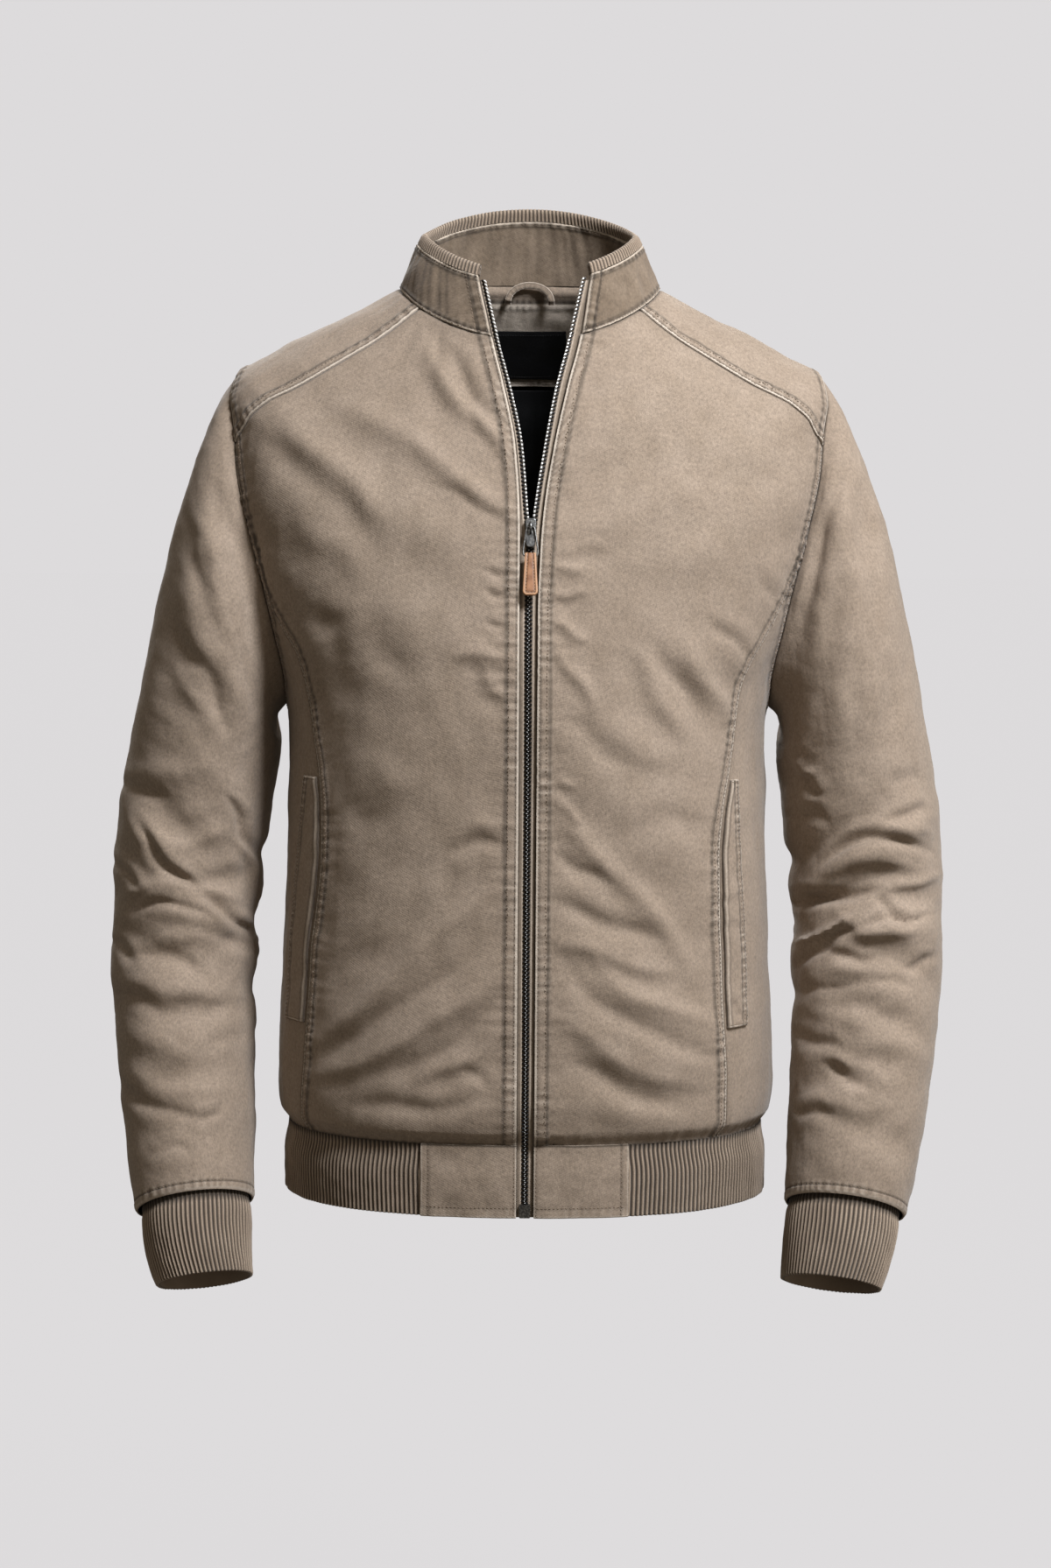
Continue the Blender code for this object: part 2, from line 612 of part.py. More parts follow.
def side_levels():
    levels = hem_to_princess_levels()
    return HEM_SEAM + (UNDERARM_LEVEL - HEM_SEAM) * (levels - HEM_SEAM) / (levels[-1] - HEM_SEAM)


def build_back():
    """One back piece, side seam to side seam, up to the neck and both yokes."""
    armhole = armhole_line(BACK_ARMHOLE, 1.0, BACK_YOKE_SHARE, ARMHOLE_BACK)
    inner = np.concatenate([spots(SIDE, side_levels()), armhole[1:]])
    yoke = yoke_line(BACK_YOKE_SEAM, YOKE_SEAM_STEPS)
    neck = spots(np.linspace(yoke[0][0], 360.0 - yoke[0][0], 2 * NECK_BACK_HALF + 1), 0.0)
    far_yoke = spots(360.0 - yoke[..., 0], yoke[..., 1])
    top = np.concatenate([yoke[::-1], neck[1:], far_yoke[1:]])
    outer = spots(360.0 - inner[..., 0], inner[..., 1])
    bottom = spots(np.linspace(SIDE, 360.0 - SIDE, len(top)), HEM_SEAM)
    body_piece("back", patch(bottom, top, inner, outer, BACK), TWILL)


def build_yoke(side):
    """Shoulder yoke, over the shoulder from the front seam to the back seam."""
    turn = mirrored if side == "left" else (lambda line: line)
    front = yoke_line(FRONT_YOKE_SEAM, YOKE_SEAM_STEPS)
    back = yoke_line(BACK_YOKE_SEAM, YOKE_SEAM_STEPS)
    over_front = armhole_line(FRONT_ARMHOLE, FRONT_YOKE_SHARE, 0.0, YOKE_HALF)
    over_back = armhole_line(BACK_ARMHOLE, 0.0, BACK_YOKE_SHARE, YOKE_HALF)
    outer = np.concatenate([over_front, over_back[1:]])
    inner = spots(np.linspace(front[0][0], back[0][0], len(outer)), 0.0)
    body_piece("yoke_" + side, turn(patch(front, back, inner, outer, SIDE)), TWILL)


# ---------------------------------------------------------------- sleeves and cuffs
def armhole_loop(side):
    """Points and outward normals of the armhole, from the shoulder round the front to the back."""
    front = np.concatenate([
        armhole_line(FRONT_ARMHOLE, 0.0, FRONT_YOKE_SHARE, YOKE_HALF),
        armhole_line(FRONT_ARMHOLE, FRONT_YOKE_SHARE, PRINCESS_SHARE, PRINCESS_TO_YOKE)[1:],
        armhole_line(FRONT_ARMHOLE, PRINCESS_SHARE, 1.0, ARMHOLE_UNDER_FRONT)[1:],
    ])
    back = np.concatenate([
        armhole_line(BACK_ARMHOLE, 1.0, BACK_YOKE_SHARE, ARMHOLE_BACK)[1:],
        armhole_line(BACK_ARMHOLE, BACK_YOKE_SHARE, 0.0, YOKE_HALF)[1:-1],
    ])
    line = np.concatenate([front, back])
    if side == "left":
        line = mirrored(line)
    points = body_surface(line[..., 0], line[..., 1])
    normal = normals_of(body_surface, line[..., 0], line[..., 1], 0.5, 1.0)
    return points, normal, len(front) - 1


def loop_turns(points, underarm):
    """Degrees round the sleeve for each point of the armhole: 0 shoulder, 180 underarm."""
    reach = np.linalg.norm(np.diff(np.concatenate([points, points[:1]]), axis=0), axis=1)
    place = np.concatenate([[0.0], np.cumsum(reach)])
    half = place[underarm]
    front = 180.0 * place[:underarm + 1] / half
    back = 180.0 + 180.0 * (place[underarm + 1:-1] - half) / (place[-1] - half)
    return np.concatenate([front, back])


def sleeve_axis(rings, along):
    """Centre and outward half-width vector of the sleeve in its own plane."""
    def pick(name):
        return read(rings, SLEEVE_COLUMNS, name, along)
    zero = np.zeros_like(along)
    outer = np.stack([pick("outer_x"), zero, pick("outer_z")], axis=-1)
    inner = np.stack([pick("inner_x"), zero, pick("inner_z")], axis=-1)
    centre = (outer + inner) / 2.0
    centre[..., 1] = pick("centre_y")
    return centre, (outer - inner) / 2.0


def sleeve_ring(rings, side, turn, along):
    """Plain rounded ring of the sleeve at a distance along it."""
    along = np.asarray(along, float)
    centre, outward = sleeve_axis(rings, along)
    ahead, _ = sleeve_axis(SLEEVE_RINGS, along + AXIS_STEP)
    behind, _ = sleeve_axis(SLEEVE_RINGS, along - AXIS_STEP)
    past_sleeve = along[..., None] > SLEEVE_RINGS[-1][0] - CUFF_TAKES_OVER
    ahead = np.where(past_sleeve, sleeve_axis(CUFF_RINGS, along + AXIS_STEP)[0], ahead)
    behind = np.where(past_sleeve, sleeve_axis(CUFF_RINGS, along - AXIS_STEP)[0], behind)
    forward = unit(np.cross(ahead - behind, outward))
    forward = np.where(forward[..., 1:2] > 0.0, -forward, forward)
    half_depth = read(rings, SLEEVE_COLUMNS, "half_depth", along)[..., None]
    if side == "left":
        narrower = read(LEFT_SLEEVE, LEFT_COLUMNS, "narrower", along)[..., None]
        outward = outward - unit(outward) * narrower
    angle = np.radians(turn)[..., None]
    point = centre + outward * np.cos(angle) + forward * half_depth * np.sin(angle)
    if side == "left":
        shift = read(LEFT_SLEEVE, LEFT_COLUMNS, "out", along)
        point = point + np.stack([shift, np.zeros_like(shift), np.zeros_like(shift)], axis=-1)
        point = point * np.array([-1.0, 1.0, 1.0])
    return point


def sleeve_form(side, loop, turns, along):
    """Smooth loft from the armhole to the cuff, for each turn (columns) and distance (rows)."""
    places = np.array([0.0] + [row[0] for row in SLEEVE_RINGS])
    stations = [loop]
    drop = loop[:, None].mean(axis=0)
    for row in SLEEVE_RINGS:
        ring = sleeve_ring(SLEEVE_RINGS, side, turns, np.full(len(turns), float(row[0])))
        share = row[SLEEVE_COLUMNS.index("armhole_share")]
        carried = loop - drop + ring.mean(axis=0)
        stations.append((1.0 - share) * ring + share * carried)
    stations = np.array(stations)
    lofted = np.empty((len(along), len(turns), 3))
    for column in range(len(turns)):
        for axis in range(3):
            lofted[:, column, axis] = ease(along, places, stations[:, column, axis])
    return lofted


def sleeve_fold_height(side, turn, along):
    height = np.zeros(np.broadcast(turn, along).shape)
    for place, distance, heading, length, width, depth in SLEEVE_FOLDS[side]:
        slant = math.radians(heading)
        round_mm = ((turn - place + 180.0) % 360.0 - 180.0) * 1.1
        down = along - distance
        run = round_mm * math.cos(slant) + down * math.sin(slant)
        across = down * math.cos(slant) - round_mm * math.sin(slant)
        height = height + depth * bump(run, length / 2.0) * bump(across, width)
    return height * ramp(along, 10.0, 60.0) * ramp(-along, -640.0, -610.0)


def grid_normals(points, closed=True):
    """Outward normals of a grid whose rows run down the sleeve and columns go round it."""
    if closed:
        round_step = np.roll(points, -1, axis=1) - np.roll(points, 1, axis=1)
    else:
        round_step = np.gradient(points, axis=1)
    return unit(np.cross(np.gradient(points, axis=0), round_step))


def face_out(normals, points):
    """Turn a grid's normals so that they point away from each row's middle."""
    away = points - points.mean(axis=1, keepdims=True)
    sign = np.sign((normals * away).sum())
    return normals * sign


ELBOW_CLOSER, ELBOW_CLOSEST = 0.055, 0.012


def sleeve_places():
    """Distances of the sleeve's rings, closest together round the elbow."""
    share = np.linspace(0.0, 1.0, SLEEVE_STEPS + 1)
    shift = ELBOW_CLOSER * np.sin(2.0 * np.pi * share) + ELBOW_CLOSEST * np.sin(4.0 * np.pi * share)
    return SLEEVE_RINGS[-1][0] * (share + shift)


def build_sleeve(side):
    loop, loop_normal, underarm = armhole_loop(side)
    turns = loop_turns(loop, underarm)
    along = sleeve_places()
    points = sleeve_form(side, loop, turns, along)
    normals = face_out(grid_normals(points), points)
    height = sleeve_fold_height(side, turns[None, :], along[:, None])
    points = points + normals * height[..., None]
    normals = face_out(grid_normals(points), points)
    normals[0] = loop_normal
    outside = draw_in(points, SEAM_GAP, closed_across=True)
    wall("sleeve_" + side, outside, outside - normals * CLOTH, TWILL, closed=True)


def ribbed_wall(name, outside, inside_every, normals, thick, colour, closed):
    """Wall whose outer points carry the ribs, with a plain, sparser inside."""
    rows, columns = outside.shape[:2]
    picks = list(range(0, columns, inside_every))
    if not closed and picks[-1] != columns - 1:
        picks.append(columns - 1)
    inner = (outside - normals * thick)[:, picks]
    inner_columns = len(picks)
    first = rows * columns
    faces = grid_faces(rows, columns, closed)
    faces += grid_faces(rows, inner_columns, closed, start=first, flip=True)
    for row, turned in ((0, False), (rows - 1, True)):
        spans = inner_columns if closed else inner_columns - 1
        for span in range(spans):
            low = picks[span]
            high = picks[span + 1] if span + 1 < inner_columns else columns
            a = first + row * inner_columns + span
            b = first + row * inner_columns + (span + 1) % inner_columns
            rim = [row * columns + (column % columns) for column in range(low, high + 1)]
            ring = [a] + [b] + rim[::-1]
            faces.append(tuple(ring[::-1]) if turned else tuple(ring))
    if not closed:
        for outer_column, inner_column, turned in ((0, 0, True), (columns - 1, inner_columns - 1, False)):
            for row in range(rows - 1):
                a = row * columns + outer_column
                b = first + row * inner_columns + inner_column
                quad = (a, b, b + inner_columns, a + columns)
                faces.append(quad[::-1] if turned else quad)
    points = np.concatenate([outside.reshape(-1, 3), inner.reshape(-1, 3)])
    return solid(name, points, faces, colour, 0.9)


def build_cuff(side):
    """Ribbed knit cuff, a plain tube inside."""
    columns = 2 * CUFF_RIB_COUNT
    turns = np.arange(columns) * 360.0 / columns
    along = np.array([CUFF_START, (CUFF_START + CUFF_END) / 2.0, CUFF_END])
    points = np.array([sleeve_ring(CUFF_RINGS, side, turns, np.full(columns, place)) for place in along])
    normals = face_out(grid_normals(points), points)
    ribs = np.where(np.arange(columns) % 2 == 0, 0.0, -RIB_RELIEF)
    points = points + normals * ribs[None, :, None]
    ribbed_wall("cuff_" + side, points, 4, normals, KNIT, RIB_KNIT, True)


# ---------------------------------------------------------------- hem
def hem_piece_points(around, rows):
    """Points and normals of the hem band below the body, for the angles given."""
    levels = np.linspace(HEM_EDGE, HEM_SEAM - SEAM_GAP * 1.5, rows)[:, None]
    around = np.broadcast_to(around, (rows, len(around)))
    levels = np.broadcast_to(levels, around.shape)
    return body_form(around, levels), normals_of(body_form, around, levels, 0.3, 1.0)


FINE_STEPS = 721               # points for measuring a curve's length


def build_hem_rib():
    """Ribbed knit hem, from one plain tab round the back to the other."""
    start = around_at_x(HEM_EDGE, HEM_TAB_WIDTH)
    fine = np.linspace(start, 360.0 - start, FINE_STEPS)
    ring = body_form(fine, np.full(FINE_STEPS, HEM_EDGE))
    length = np.concatenate([[0.0], np.cumsum(np.linalg.norm(np.diff(ring, axis=0), axis=1))])
    count = int(round(length[-1] / RIB_PITCH))
    around = np.interp(np.linspace(0.0, length[-1], 2 * count + 1), length, fine)
    points, normals = hem_piece_points(around, 2)
    ribs = np.where(np.arange(2 * count + 1) % 2 == 0, -RIB_RELIEF, 0.0)
    points = points + normals * ribs[None, :, None]
    ribbed_wall("hem_rib", points, 8, normals, KNIT, RIB_KNIT, False)


def build_hem_tab(side):
    """Plain cloth end of the hem beside the zip, folded double."""
    sign = -1.0 if side == "left" else 1.0
    edge = read(FRONT_EDGES, EDGE_COLUMNS, "viewer_" + side, HEM_EDGE)
    x = np.linspace(float(edge), sign * (HEM_TAB_WIDTH - 0.5), 7)
    around = around_at_x(np.full(7, HEM_EDGE), x)
    points, normals = hem_piece_points(around, HEM_TAB_STEPS + 1)
    points = points + normals * HEM_TAB_LIFT
    wall("hem_tab_" + side, points, points - normals * HEM_TAB_THICK, PALE_TWILL)


# ---------------------------------------------------------------- collar
COLLAR_TOP_ORDER = ("half_width", "front_y", "side_y", "back_y", "front_z", "side_z", "back_z")


def collar_ring(around, rise):
    """Collar surface: rise 0 is the neck seam, 1 the top edge."""
    around = np.asarray(around, float)
    neck = body_form(around, np.zeros_like(around))
    top = ring_point(around, *(COLLAR_TOP[name] for name in COLLAR_TOP_ORDER), 2.0)
    rise = np.asarray(rise, float)[..., None]
    flat = neck + (top - neck) * rise
    out = unit(flat * np.array([1.0, 1.0, 0.0]))
    return flat + out * COLLAR_BOW * np.sin(np.pi * np.clip(rise, 0.0, 1.2))


EDGE_GUESS = 25.0              # degrees round, where the search for the front edge starts
EDGE_TRIES = 12
EDGE_DEGREES_PER_MM = 0.7


def collar_edge(side, rise):
    """Degrees round of the collar's front edge at each rise."""
    column = "viewer_" + side
    around = np.full(np.shape(rise), -EDGE_GUESS if side == "left" else EDGE_GUESS)
    for _ in range(EDGE_TRIES):
        point = collar_ring(around, rise)
        wanted = read(FRONT_EDGES, EDGE_COLUMNS, column, point[..., 2])
        around = around + (wanted - point[..., 0]) * EDGE_DEGREES_PER_MM
    return around


def collar_grid(columns, rises, inset=0.0):
    """(around, rise) grid of the collar, from the viewer's right edge round the back to the left."""
    right = collar_edge("right", rises) + inset
    left = 360.0 + collar_edge("left", rises) - inset
    share = np.linspace(0.0, 1.0, columns)
    around = right[:, None] + (left - right)[:, None] * share[None, :]
    return around, np.broadcast_to(rises[:, None], around.shape)


def build_collar():
    """Stand collar: an outer and an inner piece, and a ribbed knit band along the top."""
    around, rise = collar_grid(COLLAR_COLUMNS, np.linspace(0.0, 1.0, COLLAR_STEPS + 1))
    normals = normals_of(collar_ring, around, rise, 0.5, 0.02)
    normals = face_out(normals, collar_ring(around, rise))
    outside = collar_ring(around, rise)
    bottom_normal = normals_of(body_surface, around[0], np.full(COLLAR_COLUMNS, -1.0), 0.5, 0.9)
    outer_normals = normals.copy()
    outer_normals[0] = unit(bottom_normal + normals[0])
    drawn = draw_in(outside, SEAM_GAP)
    drawn[0] += unit(outside[1] - outside[0]) * SEAM_GAP
    wall("collar_outer", drawn, drawn - outer_normals * CLOTH, TWILL)
    rises = np.linspace(COLLAR_LINING_START, 1.0, COLLAR_STEPS + 1)
    around, rise = collar_grid(COLLAR_COLUMNS, rises, COLLAR_LINING_INSET)
    normals = normals_of(collar_ring, around, rise, 0.5, 0.02)
    normals = face_out(normals, collar_ring(around, rise))
    lining = collar_ring(around, rise) - normals * (CLOTH + COLLAR_LINING_GAP)
    wall("collar_inner", lining, lining - normals * COLLAR_LINING, PALE_TWILL)
    build_collar_band()


BAND_RIB_RELIEF = 0.6
BAND_OUT = 0.9                 # the band's outside, out from the collar
BAND_FOOT = 0.4                # its lower edge, above the collar's top
BAND_SHOULDER = 0.72           # share of its height where it starts to close over


def build_collar_band():
    fine_around, fine_rise = collar_grid(FINE_STEPS, np.array([1.0]))
    line = collar_ring(fine_around[0], fine_rise[0])
    length = np.concatenate([[0.0], np.cumsum(np.linalg.norm(np.diff(line, axis=0), axis=1))])
    count = int(round(length[-1] / BAND_RIB_PITCH))
    around = np.interp(np.linspace(0.0, length[-1], 2 * count + 1), length, fine_around[0])
    rise = np.ones_like(around)
    base = collar_ring(around, rise)
    normals = normals_of(collar_ring, around, rise, 0.5, 0.02)
    outwards = (normals * base * np.array([1.0, 1.0, 0.0])).sum(axis=-1, keepdims=True)
    normals = np.where(outwards < 0, -normals, normals)
    up = unit(base - collar_ring(around, rise - 0.1))
    ribs = np.where(np.arange(len(around)) % 2 == 0, 0.0, -BAND_RIB_RELIEF)[:, None]
    outer_face = normals * (BAND_OUT + ribs)
    inner_face = -normals * (BAND_WIDTH - BAND_OUT + ribs)
    shoulder = up * (BAND_HEIGHT * BAND_SHOULDER)
    rows = [
        base + outer_face + up * BAND_FOOT,
        base + outer_face + shoulder,
        base + (outer_face * 0.3 + inner_face * 0.2) + up * (BAND_HEIGHT + ribs),
        base + inner_face + shoulder,
        base + inner_face + up * BAND_FOOT,
    ]
    points = np.array(rows)
    rows_count, columns = points.shape[:2]
    faces = grid_faces(rows_count, columns, False)
    last = (rows_count - 1) * columns
    faces += [(column, last + column, last + column + 1, column + 1) for column in range(columns - 1)]
    faces.append(tuple(row * columns for row in range(rows_count)))
    faces.append(tuple(row * columns + columns - 1 for row in range(rows_count - 1, -1, -1)))
    solid("collar_band", points.reshape(-1, 3), faces, RIB_KNIT, 0.9)


# ---------------------------------------------------------------- pockets
def build_pocket_welt(side):
    """Upright pocket welt, laid on the side piece beside the curved seam."""
    turn = mirrored if side == "left" else (lambda line: line)
    level = np.linspace(*WELT_LEVELS, WELT_STEPS + 1)
    inner = princess_on(level, side) + np.array([WELT_FROM_SEAM, 0.0])
    outer = spots(read(WELT_EDGES, PRINCESS_COLUMNS, "viewer_" + side, level), level)
    share = np.linspace(0.0, 1.0, 4)[None, :, None]
    grid = (1.0 - share) * inner[:, None] + share * outer[:, None]
    body_piece("pocket_welt_" + side, turn(grid), PALE_TWILL, lift=CLOTH + SEAM_GAP * 2.0, thick=CLOTH)


# ---------------------------------------------------------------- inside of the back
def inside_piece(name, grid, depth, thick, colour, rough=0.85):
    """Wall inside the body, at a depth under the outside of its form."""
    normal = normals_of(body_form, grid[..., 0], grid[..., 1], 0.5, 1.0)
    outside = body_form(grid[..., 0], grid[..., 1]) - normal * depth
    return wall(name, outside, outside - normal * thick, colour, rough=rough)


def flat_grid(half_turn_top, half_turn_bottom, level_top, level_bottom, columns, rows):
    """Grid of spots centred on the back, from its bottom level to its top one."""
    share = np.linspace(0.0, 1.0, rows)[:, None]
    half_turn = half_turn_bottom + (half_turn_top - half_turn_bottom) * share
    around = BACK + half_turn * np.linspace(-1.0, 1.0, columns)[None, :]
    return spots(around, level_bottom + (level_top - level_bottom) * share)


INSIDE_COLUMNS = 13


def build_inside_back():
    facing = flat_grid(*FACING_HALF_TURN, *FACING_LEVELS, INSIDE_COLUMNS, 5)
    inside_piece("neck_facing", facing, FACING_DEPTH, FACING_THICK, PALE_TWILL)
    label = flat_grid(*LABEL_HALF_TURN, *LABEL_LEVELS, 4, 3)
    inside_piece("neck_label", label, FACING_DEPTH + FACING_THICK + LABEL_GAP, LABEL_THICK, LINING_BLACK, 0.5)
    lining = flat_grid(*LINING_HALF_TURN, *LINING_LEVELS, INSIDE_COLUMNS, 9)
    inside_piece("back_lining", lining, LINING_DEPTH, LINING_THICK, LINING_BLACK, 0.6)


def build_hanger_loop():
    """Flat band bent into an arch in front of the collar's inside, at the back of the neck."""
    angle = np.linspace(0.0, math.pi, LOOP_STEPS + 1)
    height = LOOP_FOOT_Z + LOOP_RISE * np.sin(angle) ** LOOP_SQUARENESS
    middle = np.stack([-LOOP_HALF_WIDTH * np.cos(angle), height], axis=-1)
    across = np.gradient(middle, axis=0)
    across = unit(np.stack([-across[:, 1], across[:, 0]], axis=-1))
    points = []
    for y in (LOOP_Y, LOOP_Y + LOOP_THICK):
        for edge in (-LOOP_BAND / 2.0, LOOP_BAND / 2.0):
            line = middle + across * edge
            points.append(np.stack([line[:, 0], np.full(len(line), y), line[:, 1]], axis=-1))
    front_low, front_high, back_low, back_high = points
    outside = np.stack([front_low, front_high], axis=1)
    inside = np.stack([back_low, back_high], axis=1)
    wall("hanger_loop", outside, inside, PALE_TWILL)


# ---------------------------------------------------------------- zip
def front_edge_curve(side):
    """Points, outward normals and across directions along the front edge, hem to collar top."""
    hem_levels = np.linspace(HEM_EDGE, HEM_SEAM, HEM_TAB_STEPS + 1)[:-1]
    line = front_edge_line(side, np.concatenate([hem_levels, front_edge_levels()]))
    body = body_surface(line[..., 0], line[..., 1])
    body_normal = normals_of(body_surface, line[..., 0], line[..., 1], 0.5, 1.0)
    body_across = unit(body_surface(line[..., 0] + 0.5, line[..., 1]) - body)
    rise = np.linspace(0.0, 1.0, COLLAR_STEPS + 1)[1:]
    rise[-1] -= TAPE_BELOW_TOP
    around = collar_edge(side, rise)
    collar = collar_ring(around, rise)
    collar_normal = normals_of(collar_ring, around, rise, 0.5, 0.02)
    collar_across = unit(collar_ring(around + 0.5, rise) - collar)
    points = np.concatenate([body, collar])
    normals = np.concatenate([body_normal, collar_normal])
    normals = np.where(normals[:, 1:2] > 0.0, -normals, normals)
    normals[1:-1] = unit(normals[:-2] + 2.0 * normals[1:-1] + normals[2:])
    return points, normals, np.concatenate([body_across, collar_across])


def build_zip_tape(side):
    """Woven tape behind the front edge, reaching past it to the line of the teeth."""
    points, normals, across = front_edge_curve(side)
    tooth = read(TOOTH_LINES, EDGE_COLUMNS, "viewer_" + side, points[:, 2])
    reach = np.abs((tooth - points[:, 0]) / across[:, 0])
    inward = across * (1.0 if side == "left" else -1.0)
    base = points - normals * (CLOTH + TAPE_GAP)
    hidden = base - inward * TAPE_HIDDEN
    seen = base + inward * reach[:, None]
    outside = np.stack([hidden, (hidden + seen) / 2.0, seen], axis=1)
    wall("zip_tape_" + side, outside, outside - normals[:, None] * TAPE_THICK, TWILL)


def zip_frame(height):
    """Place, downward and outward directions on the front's middle at a height, in millimetres."""
    level = level_at_front_height(np.array([height + 4.0, height, height - 4.0]))
    points = body_form(np.zeros(3), level)
    down = unit(points[2] - points[0])
    out = np.cross(down, np.array([1.0, 0.0, 0.0]))
    out = out if out[1] < 0.0 else -out
    return points[1], down, out


def placed(points, place, down, out):
    """Points given as (right, down, out) put on the front of the jacket."""
    points = np.asarray(points, float)
    right = np.array([1.0, 0.0, 0.0])
    return place + points[:, :1] * right + points[:, 1:2] * down + points[:, 2:3] * out


def slab(name, outline, low, high, frame_at, colour, rough, metal, bevel):
    """Flat plate with a (right, down) outline between two heights out from the front."""
    count = len(outline)
    points = [(x, d, low) for x, d in outline] + [(x, d, high) for x, d in outline]
    faces = [tuple(range(count)), tuple(range(2 * count - 1, count - 1, -1))]
    faces += [(i, i + count, (i + 1) % count + count, (i + 1) % count) for i in range(count)]
    piece = solid(name, placed(points, *frame_at), faces, colour, rough, metal)
    if bevel:
        edge = piece.modifiers.new("soft_edges", "BEVEL")
        edge.width = bevel * MM
        edge.segments = 2
        edge.limit_method = "ANGLE"
        edge.angle_limit = math.radians(50.0)
    return piece


def rounded_outline(width_top, width_bottom, top, bottom, radius_top, radius_bottom, steps=4):
    """Outline of a tapered plate with rounded corners, as (right, down) points."""
    corners = (
        (width_top / 2.0 - radius_top, top + radius_top, radius_top, -90.0),
        (width_bottom / 2.0 - radius_bottom, bottom - radius_bottom, radius_bottom, 0.0),
        (-width_bottom / 2.0 + radius_bottom, bottom - radius_bottom, radius_bottom, 90.0),
        (-width_top / 2.0 + radius_top, top + radius_top, radius_top, 180.0),
    )
    outline = []
    for x, down, radius, start in corners:
        for step in range(steps + 1):
            angle = math.radians(start + 90.0 * step / steps)
            outline.append((x + radius * math.cos(angle), down + radius * math.sin(angle)))
    return outline


def rod(name, path, radius, frame_at, colour, closed, sides=8):
    """Round wire along a path of (right, down, out) points."""
    path = np.asarray(path, float)
    count = len(path)
    points = []
    for index in range(count):
        before = path[index - 1] if closed or index else path[0]
        after = path[(index + 1) % count] if closed or index < count - 1 else path[-1]
        ahead = unit(after - before)
        side = unit(np.cross(ahead, np.array([0.0, 0.0, 1.0])) if abs(ahead[2]) < 0.9
                    else np.cross(ahead, np.array([0.0, 1.0, 0.0])))
        up = np.cross(side, ahead)
        for step in range(sides):
            angle = 2.0 * math.pi * step / sides
            points.append(path[index] + radius * (math.cos(angle) * side + math.sin(angle) * up))
    faces = []
    for index in range(count if closed else count - 1):
        after = (index + 1) % count
        for step in range(sides):
            turn = (step + 1) % sides
            here, there = index * sides, after * sides
            faces.append((here + step, here + turn, there + turn, there + step))
    if not closed:
        faces.append(tuple(range(sides - 1, -1, -1)))
        faces.append(tuple((count - 1) * sides + step for step in range(sides)))
    return solid(name, placed(points, *frame_at), faces, colour, 0.3, 1.0)


def set_origin(piece, point):
    """Put a piece's origin on its joint's axis without moving the piece."""
    offset = np.asarray(point, float) * MM
    coordinates = np.empty(len(piece.data.vertices) * 3)
    piece.data.vertices.foreach_get("co", coordinates)
    piece.data.vertices.foreach_set("co", (coordinates.reshape(-1, 3) - offset).ravel())
    piece.location = tuple(offset)


ARCH_STEPS = 8
ARCH_WIRE = 1.6
BAIL_CLEARANCE = 0.35          # between the slider's face and the bail
BAIL_CORNER = 1.6
ROD_SIDES = 8
BORE_SIDES = 12
SLIDER_SINK = 0.4              # how far the slider's back is let into the tapes' front
SLIDER_TAPER = 0.86            # its lower width as a share of its upper width


def build_slider():
    """Slider with the arch that its bail hangs from, the bail, and the leather pull tab."""
    place, down, out = zip_frame(SLIDER_TOP)
    frame_at = (place + np.array([SLIDER_X, 0.0, 0.0]), down, out)
    low = -CLOTH - TAPE_GAP + SLIDER_SINK
    high = low + SLIDER_THICK
    body = rounded_outline(SLIDER_WIDTH, SLIDER_WIDTH * SLIDER_TAPER, 0.0, SLIDER_LENGTH, 2.2, 2.6)
    slab("zip_slider", body, low, high, frame_at, GUNMETAL, 0.35, 1.0, 0.5)
    arch = []
    for step in range(ARCH_STEPS + 1):
        angle = math.pi * step / ARCH_STEPS
        arch.append((0.0, BAIL_PIVOT - ARCH_RADIUS * math.cos(angle), high + ARCH_LIFT * math.sin(angle)))
    arch = [(0.0, arch[0][1], high + SEAM_GAP)] + arch[1:-1] + [(0.0, arch[-1][1], high + SEAM_GAP)]
    rod("zip_arch", arch, ARCH_WIRE / 2.0, frame_at, GUNMETAL, False, ROD_SIDES)
    pivot_out = high + BAIL_WIRE / 2.0 + BAIL_CLEARANCE
    half = BAIL_WIDTH / 2.0 - BAIL_WIRE / 2.0
    corner = BAIL_CORNER
    ring = []
    for x_sign, d, start in ((1, BAIL_PIVOT, -90.0), (1, BAIL_PIVOT + BAIL_LENGTH, 0.0),
                             (-1, BAIL_PIVOT + BAIL_LENGTH, 90.0), (-1, BAIL_PIVOT, 180.0)):
        centre_x = x_sign * (half - corner)
        centre_d = d + corner if d == BAIL_PIVOT else d - corner
        for step in range(4):
            angle = math.radians(start + 30.0 * step)
            ring.append((centre_x + corner * math.cos(angle), centre_d + corner * math.sin(angle), pivot_out))
    bail = rod("zip_bail", ring, BAIL_WIRE / 2.0, frame_at, SILVER, True, ROD_SIDES)
    set_origin(bail, placed([(0.0, BAIL_PIVOT, pivot_out)], *frame_at)[0])
    build_tab(frame_at, pivot_out)


